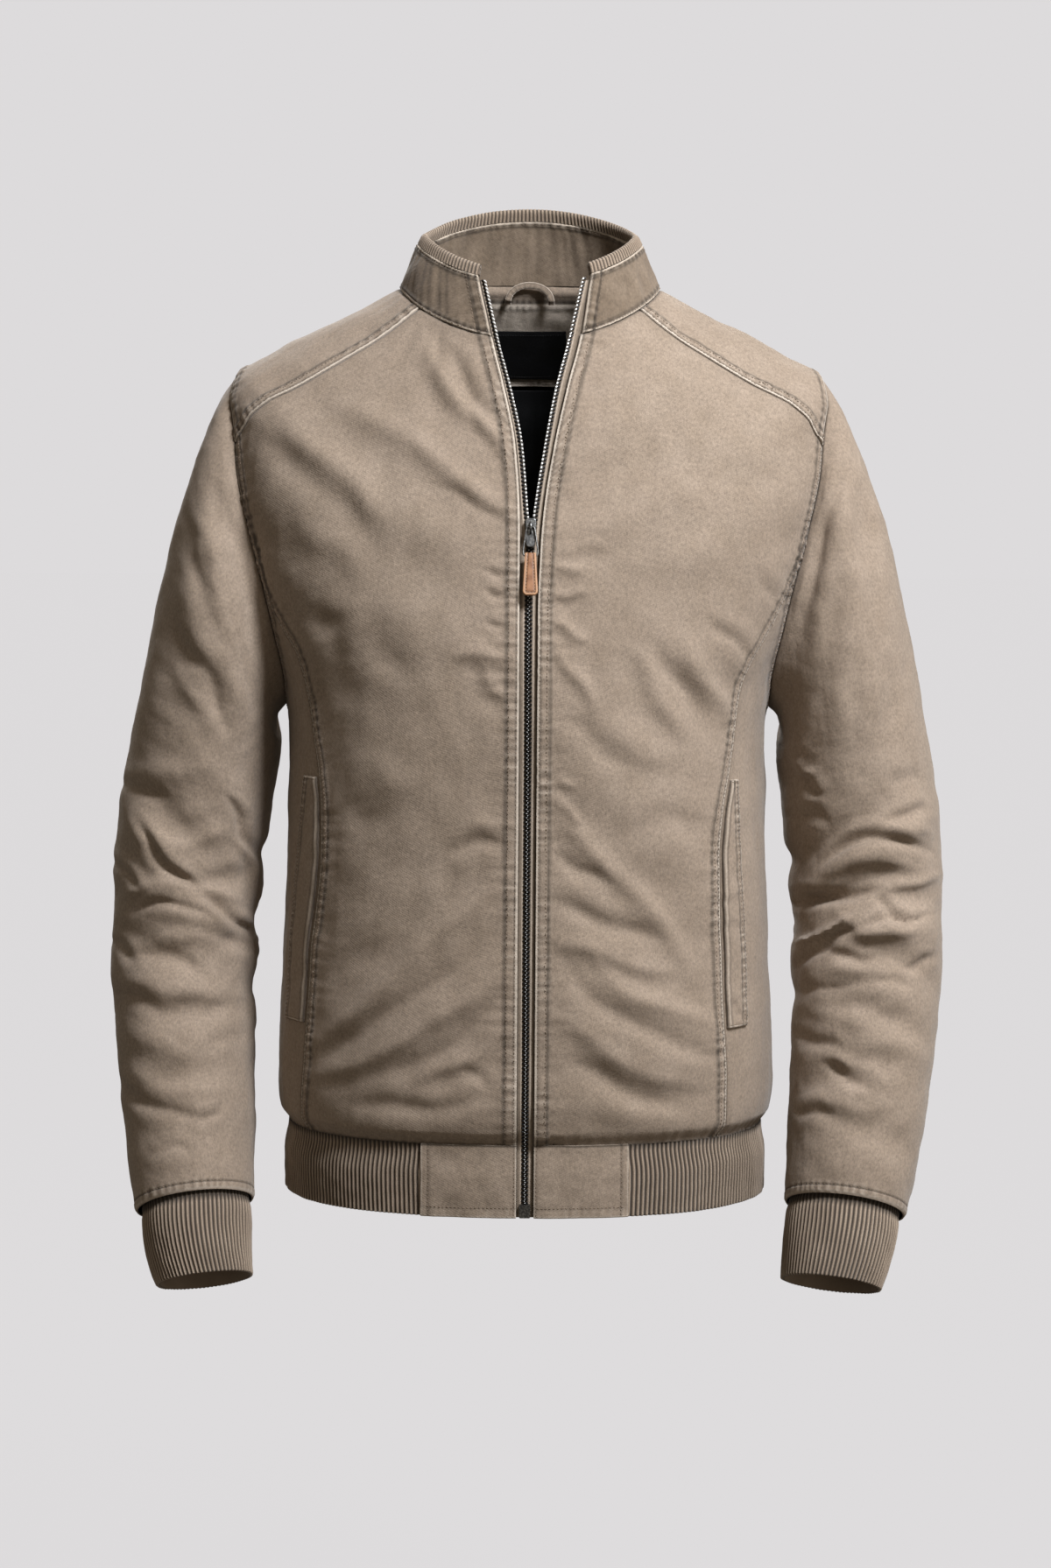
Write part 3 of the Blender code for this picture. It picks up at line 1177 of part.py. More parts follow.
def build_tab(frame_at, pivot_out):
    """Leather tab, folded round the bail's lower bar."""
    bar = BAIL_PIVOT + BAIL_LENGTH
    top = bar - TAB_TOP_ABOVE_BAR
    outline = rounded_outline(TAB_TOP_WIDTH, TAB_WIDTH, top, top + TAB_LENGTH, 1.2, 3.2)
    low, high = pivot_out - TAB_THICK / 2.0, pivot_out + TAB_THICK / 2.0
    tab = slab("leather_tab", outline, low, high,
               frame_at, COGNAC, 0.55, 0.0, 0.0)
    bore = rod("tab_bore_cutter", [(-TAB_WIDTH, bar, pivot_out), (TAB_WIDTH, bar, pivot_out)],
               BAIL_WIRE / 2.0 + TAB_CLEARANCE, frame_at, COGNAC, False, BORE_SIDES)
    bore.hide_render = True
    bore.display_type = "WIRE"
    cut = tab.modifiers.new("bore", "BOOLEAN")
    cut.operation = "DIFFERENCE"
    cut.solver = "EXACT"
    cut.object = bore
    origin = placed([(0.0, bar, pivot_out)], *frame_at)[0]
    set_origin(tab, origin)


def build_end_box():
    """Metal box at the lower end of the zip."""
    place, down, out = zip_frame(END_BOX_TOP)
    frame_at = (place + np.array([0.2, 0.0, 0.0]), down, out)
    outline = rounded_outline(END_BOX_WIDTH, END_BOX_WIDTH, 0.0, END_BOX_LENGTH, 0.8, 0.8, 2)
    low = -CLOTH - TAPE_GAP + SLIDER_SINK
    slab("zip_end_box", outline, low, low + END_BOX_THICK, frame_at, GUNMETAL, 0.4, 1.0, 0.0)


# ---------------------------------------------------------------- build
def clear_scene():
    for item in list(bpy.data.objects):
        bpy.data.objects.remove(item, do_unlink=True)


def main():
    clear_scene()
    for side in ("left", "right"):
        build_front(side)
        build_front_side(side)
        build_yoke(side)
        build_sleeve(side)
        build_cuff(side)
        build_hem_tab(side)
        build_pocket_welt(side)
        build_zip_tape(side)
    build_back()
    build_inside_back()
    build_hanger_loop()
    build_hem_rib()
    build_collar()
    build_slider()
    build_end_box()


main()
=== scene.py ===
"""Looks of the bomber jacket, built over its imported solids, which stay as they are.

Every cloth piece is a thin closed shell on the same form as its solid, worked out from the same short
tables of rings, with seams, topstitching, puckers and creases laid on it. Tables are in millimetres
and degrees; the front view's tables give places on the middle plane as the camera sees them.
"""

import math

import bpy
import numpy as np
from mathutils import Matrix, Vector


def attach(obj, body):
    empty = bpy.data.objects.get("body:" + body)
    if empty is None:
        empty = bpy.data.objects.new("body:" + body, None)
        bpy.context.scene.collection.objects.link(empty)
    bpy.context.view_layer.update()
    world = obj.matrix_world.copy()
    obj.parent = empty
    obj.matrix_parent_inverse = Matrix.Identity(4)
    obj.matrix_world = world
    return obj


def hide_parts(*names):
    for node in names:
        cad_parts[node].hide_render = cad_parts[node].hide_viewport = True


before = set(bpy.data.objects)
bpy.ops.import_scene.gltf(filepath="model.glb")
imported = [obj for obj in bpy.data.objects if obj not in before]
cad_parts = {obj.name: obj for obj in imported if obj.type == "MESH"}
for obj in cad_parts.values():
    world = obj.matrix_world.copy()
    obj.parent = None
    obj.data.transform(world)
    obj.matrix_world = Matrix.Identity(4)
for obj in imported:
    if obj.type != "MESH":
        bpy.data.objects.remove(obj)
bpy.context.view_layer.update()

# ---------------------------------------------------------------- driving sizes, mm and degrees
MM = 0.001
CLOTH = 1.7
KNIT = 2.6
HEM_SEAM = -612.0
HEM_EDGE = -664.0
HEM_TAB_WIDTH = 73.0
UNDERARM_LEVEL = -304.0
FRONT, SIDE, BACK = 0.0, 90.0, 180.0
SIGNS = {"left": -1.0, "right": 1.0}    # sides of the front view, and which way each lies from its middle

# Rings of the body, named by the height of their side point.
RING_LIFT = 1.5                 # how a ring's height eases from its side to its front and back
RING_COLUMNS = ("level", "half_width", "front_y", "side_y", "back_y", "front_z", "back_z", "square")
BODY_RINGS = (
    (-664, 178.0, -136, 0, 124, -664, -664, 2.30),
    (-634, 179.0, -137, 0, 125, -634, -634, 2.30),
    (-616, 176.0, -136, 0, 122, -616, -616, 2.30),
    (-611, 176.5, -137, 0, 122, -611, -611, 2.30),
    (-601, 182.0, -142, 0, 127, -601, -601, 2.30),
    (-580, 183.5, -146, 0, 129, -580, -580, 2.30),
    (-540, 182.5, -147, 0, 128, -540, -540, 2.30),
    (-478, 179.5, -147, 0, 124, -478, -478, 2.30),
    (-400, 176.5, -147, 0, 121, -400, -400, 2.30),
    (-320, 175.5, -147, 0, 123, -322, -318, 2.30),
    (-290, 179.0, -146, 1, 125, -298, -288, 2.28),
    (-240, 194.0, -144, 2, 128, -262, -236, 2.25),
    (-173, 213.0, -137, 4, 131, -216, -172, 2.20),
    (-120, 222.0, -129, 5, 130, -180, -124, 2.15),
    (-80, 222.0, -120, 6, 124, -149, -94, 2.10),
    (-62, 214.0, -115, 6, 119, -134, -80, 2.10),
    (-45, 184.0, -108, 5, 110, -113, -62, 2.10),
    (-30, 155.0, -101, 3, 99, -92, -43, 2.05),
    (-14, 121.0, -92, 1, 84, -66, -20, 2.00),
    (0, 95.0, -83, 0, 70, -41, 4, 2.00),
)

# Top edge of the collar's cloth, and the rib band on it.
COLLAR_TOP = {"half_width": 82.0, "front_y": -73.0, "side_y": 0.0, "back_y": 63.0,
              "front_z": 0.0, "side_z": 32.0, "back_z": 54.5}
COLLAR_BOW = 0.8
COLLAR_LINING = 1.2             # inner layer of the collar, which ends at the zip tapes
COLLAR_LINING_GAP = 0.9
COLLAR_LINING_START = 0.06
COLLAR_LINING_INSET = 6.4

# Front edges of the cloth, by height: how far each is from the middle plane.
SIDE_COLUMNS = ("place", "viewer_left", "viewer_right")
FRONT_EDGES = (
    (-664, -6.0, 6.6),
    (-235, -6.0, 7.0),
    (-185, -6.0, 8.8),
    (-160, -6.4, 11.0),
    (-115, -9.8, 18.2),
    (-76, -17.8, 27.0),
    (-41, -27.0, 36.5),
    (6, -37.5, 44.0),
)
# Edges of the zip tapes, where the teeth sit, by height.
TOOTH_LINES = (
    (-664, -0.4, 0.6),
    (-205, -0.3, 1.3),
    (-185, 0.2, 2.8),
    (-162, -1.7, 5.2),
    (-115, -5.9, 12.4),
    (-76, -14.0, 19.6),
    (-41, -23.5, 28.6),
    (6, -34.4, 39.6),
)

# Curved seam beside each front, by level: degrees round from the front.
PRINCESS_SEAM = (
    (-612, 62.0, 50.0), (-570, 59.0, 49.4), (-528, 57.6, 48.7), (-480, 57.4, 49.0), (-449, 55.6, 48.5),
    (-410, 53.8, 48.6), (-377, 54.4, 50.3), (-346, 57.2, 54.2), (-315, 60.3, 56.6), (-285, 60.6, 56.4),
    (-262, 60.6, 58.0), (-236, 66.0, 62.8), (-216, 68.6, 66.0), (-194, 69.4, 69.0),
)
PRINCESS_TOP = PRINCESS_SEAM[-1][0]
SEAM_COLUMNS = ("level", "around")
FRONT_YOKE_SEAM = ((-104, 73.0), (-80, 66.0), (-50, 60.0), (-26, 58.0), (0, 57.0))
BACK_YOKE_SEAM = ((-87, 106.5), (-70, 111.0), (-46, 116.0), (-22, 120.5), (0, 124.0))
ARMHOLE_COLUMNS = ("share", "around", "level")
FRONT_ARMHOLE = (
    (0.00, 90.0, -62), (0.07, 83.0, -68), (0.14, 77.5, -82), (0.21, 73.0, -104), (0.40, 69.6, -152),
    (0.55, 69.2, -194), (0.70, 71.0, -230), (0.83, 75.5, -267), (0.93, 82.5, -294), (1.00, 90.0, -304),
)
BACK_ARMHOLE = (
    (0.00, 90.0, -62), (0.07, 98.0, -68), (0.16, 106.5, -87), (0.25, 111.5, -112), (0.40, 114.6, -152),
    (0.55, 115.0, -190), (0.70, 113.0, -228), (0.83, 108.0, -266), (0.93, 99.0, -294), (1.00, 90.0, -304),
)
FRONT_YOKE_SHARE = 0.21        # shares of the armhole, from the shoulder, that the yoke takes
BACK_YOKE_SHARE = 0.16
PRINCESS_SHARE = 0.55          # share of the armhole above the top of the front side seam

# Rings of the sleeve on the viewer's right: outer and inner point in the front view.
SLEEVE_COLUMNS = ("along", "outer_x", "outer_z", "inner_x", "inner_z", "centre_y", "half_depth",
                  "armhole_share")
SLEEVE_RINGS = (
    (28, 231, -87, 181.0, -309, 5, 86, 0.75),
    (75, 249, -128, 182.0, -318, 5, 83, 0.35),
    (130, 266, -182, 183.5, -329, 6, 80, 0.10),
    (190, 280, -240, 185.5, -345, 7, 77, 0.0),
    (250, 291, -298, 188.5, -372, 7, 74, 0.0),
    (315, 303, -362, 192.5, -408, 6, 71, 0.0),
    (380, 309, -425, 196.0, -451, 2, 68, 0.0),
    (440, 309, -486, 197.0, -499, -6, 66, 0.0),
    (500, 304, -546, 196.5, -546, -19, 63, 0.0),
    (560, 295, -603, 194.5, -592, -36, 59, 0.0),
    (610, 286, -648, 192.5, -633, -51, 54, 0.0),
    (648, 278, -677, 190.5, -663, -62, 48, 0.0),
)
# The cuff starts inside the sleeve's end and is narrower than it.
CUFF_RINGS = (
    (644, 274.6, -674.8, 194.0, -661.2, -61, 44.2, 0.0),
    (652, 273.6, -680, 192.4, -667, -63.5, 45.2, 0.0),
    (668, 271.5, -692, 190.5, -678, -68, 46.0, 0.0),
    (700, 265.0, -714, 188.0, -702, -77, 45.0, 0.0),
    (724, 258.5, -730, 186.5, -719, -83, 42.0, 0.0),
)
CUFF_START = 644.0
CUFF_END = 724.0
# How the sleeve on the viewer's left differs: moved out by, and narrower by on either side.
LEFT_COLUMNS = ("along", "out", "narrower")
LEFT_SLEEVE = (
    (0, 0.0, 0.0), (60, -1.0, 0.0), (130, -3.0, 0.6), (250, -2.2, 2.0), (400, -0.5, 2.2),
    (550, 2.5, 1.8), (648, 6.5, 1.0), (700, 8.6, 1.0), (740, 8.0, 1.0),
)

# Largest folds, each a soft trough (depth below 0) or ridge: side, x, z, heading, length, width, depth.
BODY_FOLDS = (
    ("front", -125, -125, -42, 120, 22, -3.0),
    ("front", -95, -165, -38, 150, 24, 3.0),
    ("front", -80, -205, -35, 130, 22, -3.5),
    ("front", -60, -240, -28, 120, 24, 2.6),
    ("front", 90, -130, 40, 130, 26, -2.4),
    ("front", 110, -185, 46, 120, 26, 2.4),
    ("front", 70, -225, 30, 110, 24, -2.2),
    ("front", -95, -330, 62, 150, 30, 2.4),
    ("front", -60, -400, 58, 170, 30, -2.6),
    ("front", 60, -360, -56, 170, 30, 2.2),
    ("front", 95, -440, -52, 160, 30, -2.6),
    ("front", -90, -520, 28, 130, 24, 2.6),
    ("front", -70, -565, 20, 120, 18, -2.4),
    ("front", 80, -530, -24, 130, 22, 2.6),
    ("front", 85, -570, -14, 110, 16, -2.2),
    ("front", -150, -330, 80, 110, 20, -2.2),
    ("front", 152, -340, -82, 110, 20, -2.2),
    ("back", -100, -150, 44, 140, 24, -3.0),
    ("back", 100, -160, -44, 140, 24, -3.0),
    ("back", -70, -230, 30, 130, 26, 2.6),
    ("back", 75, -240, -30, 130, 26, 2.6),
    ("back", 0, -330, 0, 160, 30, -2.4),
    ("back", -80, -400, -22, 150, 26, 2.6),
    ("back", 85, -410, 20, 150, 26, -2.6),
    ("back", -20, -470, 6, 170, 28, 2.4),
    ("back", 60, -530, 10, 140, 22, -2.8),
    ("back", -75, -540, -12, 140, 22, -2.8),
)
# On the sleeves: degrees round from the shoulder, distance along, heading, length, width, depth.
SLEEVE_FOLDS = {
    "left": (
        (65, 60, 70, 90, 20, -3.0), (100, 120, 62, 120, 22, 3.0), (60, 190, 66, 130, 24, -3.2),
        (110, 265, 40, 90, 20, 3.0), (75, 325, 28, 90, 16, -4.2), (60, 350, 24, 90, 14, 4.0),
        (120, 372, -26, 80, 13, -5.0), (85, 400, 10, 110, 13, 4.4), (140, 425, -16, 80, 12, -5.0),
        (80, 445, 14, 100, 12, -4.6), (60, 470, 8, 90, 12, 3.6), (110, 492, -14, 90, 12, -4.2),
        (75, 520, 16, 90, 12, 3.2), (95, 548, -12, 90, 12, -3.4), (70, 590, 8, 110, 13, -2.8),
        (240, 150, 60, 120, 22, -3.0), (270, 240, 40, 110, 20, 3.0), (225, 330, 20, 90, 16, 3.6),
        (260, 380, -14, 90, 14, -3.6), (235, 430, 12, 90, 14, 3.0), (255, 500, -12, 90, 14, -3.0),
        (180, 330, 0, 80, 14, -3.4), (185, 400, 6, 80, 14, -4.0), (180, 460, -6, 80, 14, -3.4),
    ),
    "right": (
        (80, 70, 70, 100, 20, -3.0), (55, 130, 62, 120, 20, -3.4), (95, 180, 60, 130, 22, 3.0),
        (70, 250, 48, 100, 20, -2.6), (105, 320, 22, 90, 15, -3.8), (70, 345, 10, 100, 14, 3.8),
        (115, 378, 4, 110, 12, -5.2), (65, 398, -12, 90, 12, -3.6), (95, 418, -10, 110, 12, 4.4),
        (70, 448, -22, 100, 12, -4.6), (120, 470, -14, 90, 12, 3.8), (85, 492, -24, 110, 12, -4.4),
        (60, 520, -8, 90, 12, 3.0), (110, 545, 14, 100, 12, -3.6), (80, 592, -8, 110, 13, -2.8),
        (235, 140, 60, 120, 22, -3.0), (265, 230, 44, 110, 20, 3.0), (230, 325, 18, 90, 16, 3.6),
        (255, 375, -12, 90, 14, -3.6), (240, 425, 14, 90, 14, 3.0), (250, 505, -10, 90, 14, -3.0),
        (180, 335, 0, 80, 14, -3.4), (176, 405, -6, 80, 14, -4.0), (182, 465, 6, 80, 14, -3.4),
    ),
}

# Pocket welts on the side pieces: outer edge by level, in degrees round from the front.
WELT_LEVELS = (-532.0, -354.0)
WELT_EDGES = (
    (-532, 70.6, 58.8), (-484, 70.2, 59.6), (-450, 69.0, 59.0), (-411, 67.0, 57.8), (-354, 64.6, 58.0),
)

# Creases placed where the front view shows them on the middle plane: two ends (x, z), bow to
# the left of the run, width, and depth, below 0 for a valley and above 0 for a ridge.
SLEEVE_CREASES = {"left": (
    (-305, -368, -270, -376, 2.0, 4.5, -1.6), (-287, -399, -247, -443, -3.9, 3.9, -4.2),
    (-270, -408, -221, -398, -7.4, 7.2, 2.2), (-306, -421, -287, -443, -1.2, 3.2, -2.2),
    (-238, -450, -201, -478, 0.2, 3.9, -4.0), (-287, -459, -234, -465, 7.0, 3.9, -3.0),
    (-293, -447, -214, -452, 7.9, 5.2, 2.4), (-308, -481, -290, -499, 0.9, 3.9, -1.8),
    (-294, -491, -236, -510, 4.7, 5.2, -2.0), (-264, -478, -206, -493, 1.9, 5.9, 1.8),
    (-300, -521, -264, -537, 0.2, 5.9, -1.6), (-274, -516, -212, -521, -5.3, 7.2, 1.4),
    (-302, -586, -236, -612, -9.8, 5.2, -2.4), (-293, -577, -228, -595, -7.0, 6.5, 1.8),
    (-243, -621, -223, -606, 0.4, 3.9, -1.6), (-277, -640, -247, -636, 0.9, 4.5, -1.4),
    (-213, -408, -200, -438, 2.1, 3.2, 2.4), (-221, -377, -208, -415, 2.2, 3.9, -2.4),
    (-296, -355, -228, -343, -9.4, 9.1, 1.6), (-238, -147, -206, -200, 1.5, 9.1, -1.8),
    (-257, -212, -244, -296, 4.3, 13.0, 1.6), (-225, -238, -235, -335, 1.6, 11.7, -1.6),
    (-264, -556, -209, -552, -5.7, 6.5, -1.2), (-224, -160, -200, -262, 2.0, 7.0, -2.3),
    (-240, -178, -221, -262, 1.5, 7.0, 2.0), (-256, -258, -221, -324, 1.0, 7.0, -2.2),
    (-203, -168, -190, -240, 1.0, 6.0, 1.6), (-260, -280, -228, -338, 1.0, 7.0, 1.6),
    (-256, -170, -243, -228, 0.5, 6.0, -1.6),
), "right": (
    (198, -347, 211, -358, 1.0, 4.5, 2.4), (204, -359, 217, -373, 0.4, 3.9, -2.0),
    (225, -416, 295, -411, 10.7, 4.5, -4.6), (220, -430, 293, -424, 6.9, 6.5, 2.6),
    (268, -393, 298, -382, 3.1, 3.9, -2.2), (266, -399, 302, -402, 5.3, 4.5, 1.8),
    (201, -452, 259, -443, 0.2, 3.9, -4.0), (199, -441, 253, -433, 1.2, 5.2, 2.0),
    (263, -451, 295, -463, -6.3, 3.9, -3.4), (266, -442, 305, -432, 0.7, 4.5, 2.6),
    (199, -481, 255, -450, -4.9, 2.6, 2.6), (201, -497, 230, -478, -0.2, 3.9, -3.2),
    (227, -476, 280, -463, 2.1, 3.9, -3.0), (233, -463, 285, -473, -5.1, 5.2, 1.8),
    (227, -488, 258, -493, -2.7, 3.9, -2.6), (220, -500, 266, -498, -2.8, 5.9, 1.8),
    (202, -519, 249, -510, 0.1, 5.2, -2.2), (260, -507, 286, -512, -0.3, 3.9, -1.8),
    (281, -500, 303, -490, -1.5, 3.9, -2.0), (207, -530, 266, -530, -7.8, 7.2, 1.6),
    (201, -550, 233, -560, 0.6, 5.2, -2.0), (223, -572, 254, -590, 0.5, 4.5, -2.6),
    (228, -566, 266, -584, 3.2, 5.2, 1.8), (201, -606, 229, -608, -0.2, 4.5, -1.8),
    (214, -595, 269, -603, -4.1, 6.5, 1.2), (236, -131, 254, -204, 1.6, 7.8, -2.4),
    (223, -147, 230, -231, 1.6, 9.1, 1.8), (259, -238, 264, -322, 4.1, 11.7, -1.4),
    (233, -251, 228, -342, 3.9, 11.7, 1.4), (267, -361, 295, -363, 4.5, 5.9, -1.2),
    (194, -387, 223, -393, 4.9, 5.2, -1.4), (234, -138, 205, -240, -4.0, 5.2, -2.6),
    (221, -150, 197, -238, -2.0, 5.2, 1.6), (222, -228, 208, -330, -1.0, 8.0, 1.4),
    (246, -240, 240, -340, 0.5, 8.0, -1.3),
)}
FRONT_CREASES = (
    (-76, -48, -23, -114, -1.0, 7.3, 3.0), (-60, -45, -26, -97, -1.5, 6.1, -2.5),
    (-138, -82, -21, -158, 1.5, 9.8, 3.5), (-177, -100, -113, -161, 1.0, 9.2, 2.9),
    (-187, -118, -122, -178, 0.5, 9.8, -2.0), (-62, -146, -20, -170, 1.5, 5.0, -1.7),
    (-48, -86, -24, -124, 1.0, 5.0, -1.4), (-170, -168, -128, -202, 0.5, 11.0, 1.7),
    (-118, -240, -96, -290, 0.0, 12.0, -2.0), (-158, -235, -140, -268, 0.0, 11.0, -2.1),
    (-165, -302, -140, -250, 1.0, 9.2, 1.9), (-52, -268, -18, -270, 1.0, 6.1, 2.3),
    (-38, -272, -16, -306, 0.5, 6.1, 1.9), (-32, -207, -14, -208, -1.9, 3.5, -1.4),
    (-33, -222, -14, -224, -1.9, 3.5, -1.2), (-31, -246, -14, -246, -2.3, 3.5, -1.4),
    (20, -190, 60, -188, 0.5, 4.4, 1.2), (19, -206, 42, -205, 1.0, 4.0, 1.5),
    (19, -225, 43, -223, 1.0, 4.0, 1.5), (19, -243, 44, -259, 0.5, 4.4, 1.8),
    (22, -267, 50, -306, 1.0, 5.0, 1.8), (22, -177, 123, -144, -5.4, 13.0, 2.2),
    (38, -155, 91, -103, -3.3, 11.7, -2.4), (25, -121, 90, -69, -5.1, 11.7, 1.5),
    (116, -186, 181, -134, 0.0, 14.3, -1.8), (167, -204, 186, -231, 0.3, 5.0, -1.0),
    (64, -205, 155, -173, -7.0, 15.6, 1.5), (88, -18, 97, -40, 1.1, 3.5, -1.2),
    (100, -20, 111, -42, 1.2, 3.5, 1.0), (110, -25, 123, -43, -0.8, 3.5, -1.0),
    (-85, -25, -97, -49, 0.9, 3.5, -1.0), (-66, -30, -71, -58, 0.4, 4.3, -0.9),
    (38, -43, 64, -43, 2.6, 5.0, -0.9), (82, -270, 113, -328, 0.5, 7.3, 2.5),
    (94, -260, 134, -327, 1.5, 7.3, -2.3), (116, -256, 152, -320, -1.0, 7.9, 2.6),
    (136, -243, 166, -272, 1.0, 5.0, -1.7), (30, -318, 72, -352, 1.0, 9.2, -1.9),
    (55, -322, 104, -348, 0.0, 10.4, 1.5), (75, -402, 132, -392, 4.0, 11.0, -1.9),
    (24, -386, 120, -496, 3.0, 8.5, 3.2), (23, -377, 41, -394, 0.0, 3.5, 1.5),
    (20, -361, 36, -367, 0.5, 3.5, 1.2), (22, -418, 60, -438, -1.0, 5.0, -1.5),
    (22, -455, 94, -480, 1.0, 7.3, -3.0), (24, -481, 102, -503, -1.0, 7.3, 2.5),
    (36, -507, 137, -563, -11.0, 8.5, -3.3), (50, -495, 139, -541, -8.0, 7.3, 2.1),
    (26, -540, 127, -590, -5.0, 8.5, 2.3), (38, -574, 112, -606, -2.0, 7.3, -2.3),
    (138, -456, 160, -446, 0.5, 3.5, -1.4), (142, -466, 159, -463, 0.3, 3.5, 1.2),
    (149, -524, 161, -539, 0.3, 3.3, -1.5), (-120, -348, -84, -370, 2.0, 12.0, 1.2),
    (-138, -386, -104, -396, 1.0, 11.0, -1.5), (-55, -414, -18, -407, 1.5, 6.1, -2.5),
    (-142, -508, -72, -456, -2.0, 11.0, -1.2), (-147, -551, -31, -444, -3.0, 8.5, 3.0),
    (-149, -563, -23, -472, -8.0, 8.5, -2.7), (-151, -579, -21, -505, -11.0, 7.9, 3.0),
    (-87, -578, -19, -528, -4.0, 6.1, -1.9), (-76, -584, -23, -556, -2.0, 6.1, 2.1),
    (-122, -603, -38, -601, -4.0, 7.3, -2.5), (-46, -575, -27, -590, 0.5, 4.0, -1.2),
)
BACK_CREASES = (
    (-150, -100, -60, -170, 6.0, 11.0, -1.7), (60, -165, 150, -105, -6.0, 11.0, -1.7),
    (-120, -80, -40, -140, 5.0, 9.0, 1.5), (45, -140, 125, -85, -5.0, 9.0, 1.5),
    (-60, -210, 50, -225, -8.0, 12.0, -1.3), (-150, -240, -60, -300, 6.0, 12.0, 1.5),
    (70, -300, 155, -235, -6.0, 12.0, 1.5), (-130, -330, -30, -360, 9.0, 10.0, -1.6),
    (10, -350, 110, -330, 8.0, 10.0, 1.4), (-80, -410, 60, -420, -10.0, 11.0, -1.5),
    (60, -440, 150, -400, -6.0, 9.0, -1.7), (-150, -430, -70, -470, 5.0, 9.0, 1.6),
    (-100, -500, 20, -520, 9.0, 9.0, -1.9), (-60, -535, 80, -540, 8.0, 8.0, 1.8),
    (20, -500, 140, -470, -8.0, 9.0, 1.5), (-140, -560, -20, -575, 7.0, 8.0, -1.9),
    (0, -580, 120, -560, -7.0, 8.0, -1.8), (-110, -595, 10, -600, -5.0, 7.0, 1.3),
    (150, -330, 172, -420, 3.0, 7.0, -1.2), (-172, -330, -150, -420, -3.0, 7.0, -1.2),
)
# Parts of a crease across it: share of its depth, shift and spread in its own widths.
VALLEY_SHAPE = ((1.0, 0.0, 1.0), (-0.6, 2.1, 1.5), (-0.3, -2.2, 1.6))
RIDGE_SHAPE = ((1.0, 0.0, 1.0), (-0.5, -2.1, 1.4), (-0.15, 2.3, 1.6))
CREASE_WIDTH, CREASE_DEPTH, SLEEVE_CREASE = 0.82, 0.85, 1.1
BODY_SEED = 100                 # the body's creases run on over its seams, so its pieces share a seed

# The camera's place, as found from the photo.
VIEW_DISTANCE, VIEW_RIGHT, VIEW_HEIGHT = 2600.0, -1.0, -364.65
VIEW_DOWN, VIEW_TURN = math.radians(4.3), math.radians(0.35)
FRAME_HIGH, PIXEL = 1791, 0.65  # pixels, and their size on the middle plane

# How cloth lies beside a sewn seam: lift of the band, its width, its rows of stitches, depth of its
# puckers and their pitch, depth of the tucks that run on into the cloth.
SEWN_LOOKS = {
    "double": (0.80, 7.8, (1.9, 7.2), 0.50, 6.6, 0.34),
    "zip": (0.60, 9.0, (2.0, 8.4), 0.45, 6.2, 0.50),
    "single": (0.55, 3.0, (2.0,), 0.40, 6.4, 0.25),
}
# The sunk side under a band: lift and its reach, pucker and its reach, pitch, painted shade and its reach.
SUNK_LOOKS = {
    "under": (-0.95, 1.2, 0.15, 3.0, 6.4, 1.1, 1.2),
    "plain": (-0.30, 1.2, 0.12, 3.0, 9.0, 1.1, 0.9),
    "hem": (-1.10, 4.5, 0.55, 7.0, 9.5, 0.6, 1.2),
}
TUCK_PITCH, TUCK_REACH = 15.0, 21.0
LIP, ROW_TROUGH = 0.45, 0.8

# Grids: step at a piece's edges, corners of the pieces as shares of their edges, and steps round the
# armhole (yoke, front, under the arm, back) in the solid, which set the middle of its rings, and here.
FINE_STEP = 0.9
NECK_CORNER, PRINCESS_CORNER, UNDERARM_CORNER, SHOULDER_CORNER = 0.45, 0.8, 0.56, 0.54
SOLID_STEPS, FINE_STEPS = (3, 4, 4, 7), (18, 26, 42, 80)
SLEEVE_STEP = 12.0              # the sleeve's slope is read this far either way
SLEEVE_MM_PER_DEGREE = 1.1
SLEEVE_HEM = 7.8
CHART_HALVINGS, EDGE_TRIES, EDGE_SMOOTHINGS = 26, 12, 60
CHUNK = 4000                    # points measured at a time

RIB_STEPS, RIB_RELIEF, EDGE_ROUND = 6, 1.5, 1.3
CUFF_RIB_PITCH, HEM_RIB_PITCH, BAND_RIB_PITCH = 3.6, 3.5, 3.05
CUFF_SHORTER = 4.0
BAND_HEIGHT, BAND_OUT, BAND_IN, BAND_TURNS = 9.5, 0.9, 4.5, 9
BAND_FLAT = (0.4, 2.0, 3.8, 5.4)

# Soft bands beside a piece's edges: edge, how far in, width, and height or strength.
HEM_TAB_LIFT = (("fold", 7.5, 0.8, -0.3), ("side", 5.0, 0.8, -0.3), ("zip", 1.6, 0.8, -0.3),
                ("zip", 0.0, 0.6, -0.5), ("seam", 0.0, 1.3, -0.9))
HEM_TAB_PALE = (("fold", 0.5, 0.9, 0.8), ("side", 0.0, 0.8, 0.6), ("zip", 0.0, 0.8, 0.8))
# painted shade in the stitch rows and along the seam
HEM_TAB_DARK = (("fold", 7.5, 0.8, 0.5), ("side", 5.0, 0.8, 0.5), ("zip", 1.6, 0.7, 0.35),
                ("seam", 0.0, 1.1, 0.7))
WELT_LIFT = (("open", 0.0, 0.5, -1.1), ("open", 1.8, 0.7, -0.3), ("open", 6.4, 0.7, -0.28),
             ("low", 0.0, 0.5, -1.0), ("low", 1.8, 0.7, -0.3), ("top", 0.0, 0.5, -1.0),
             ("top", 1.8, 0.7, -0.3), ("seam", 0.0, 1.4, -0.8))
WELT_PALE = (("open", 0.5, 0.8, 1.1), ("low", 0.5, 0.8, 0.9), ("top", 0.5, 0.8, 0.9), ("seam", 2.4, 1.0, 0.4))
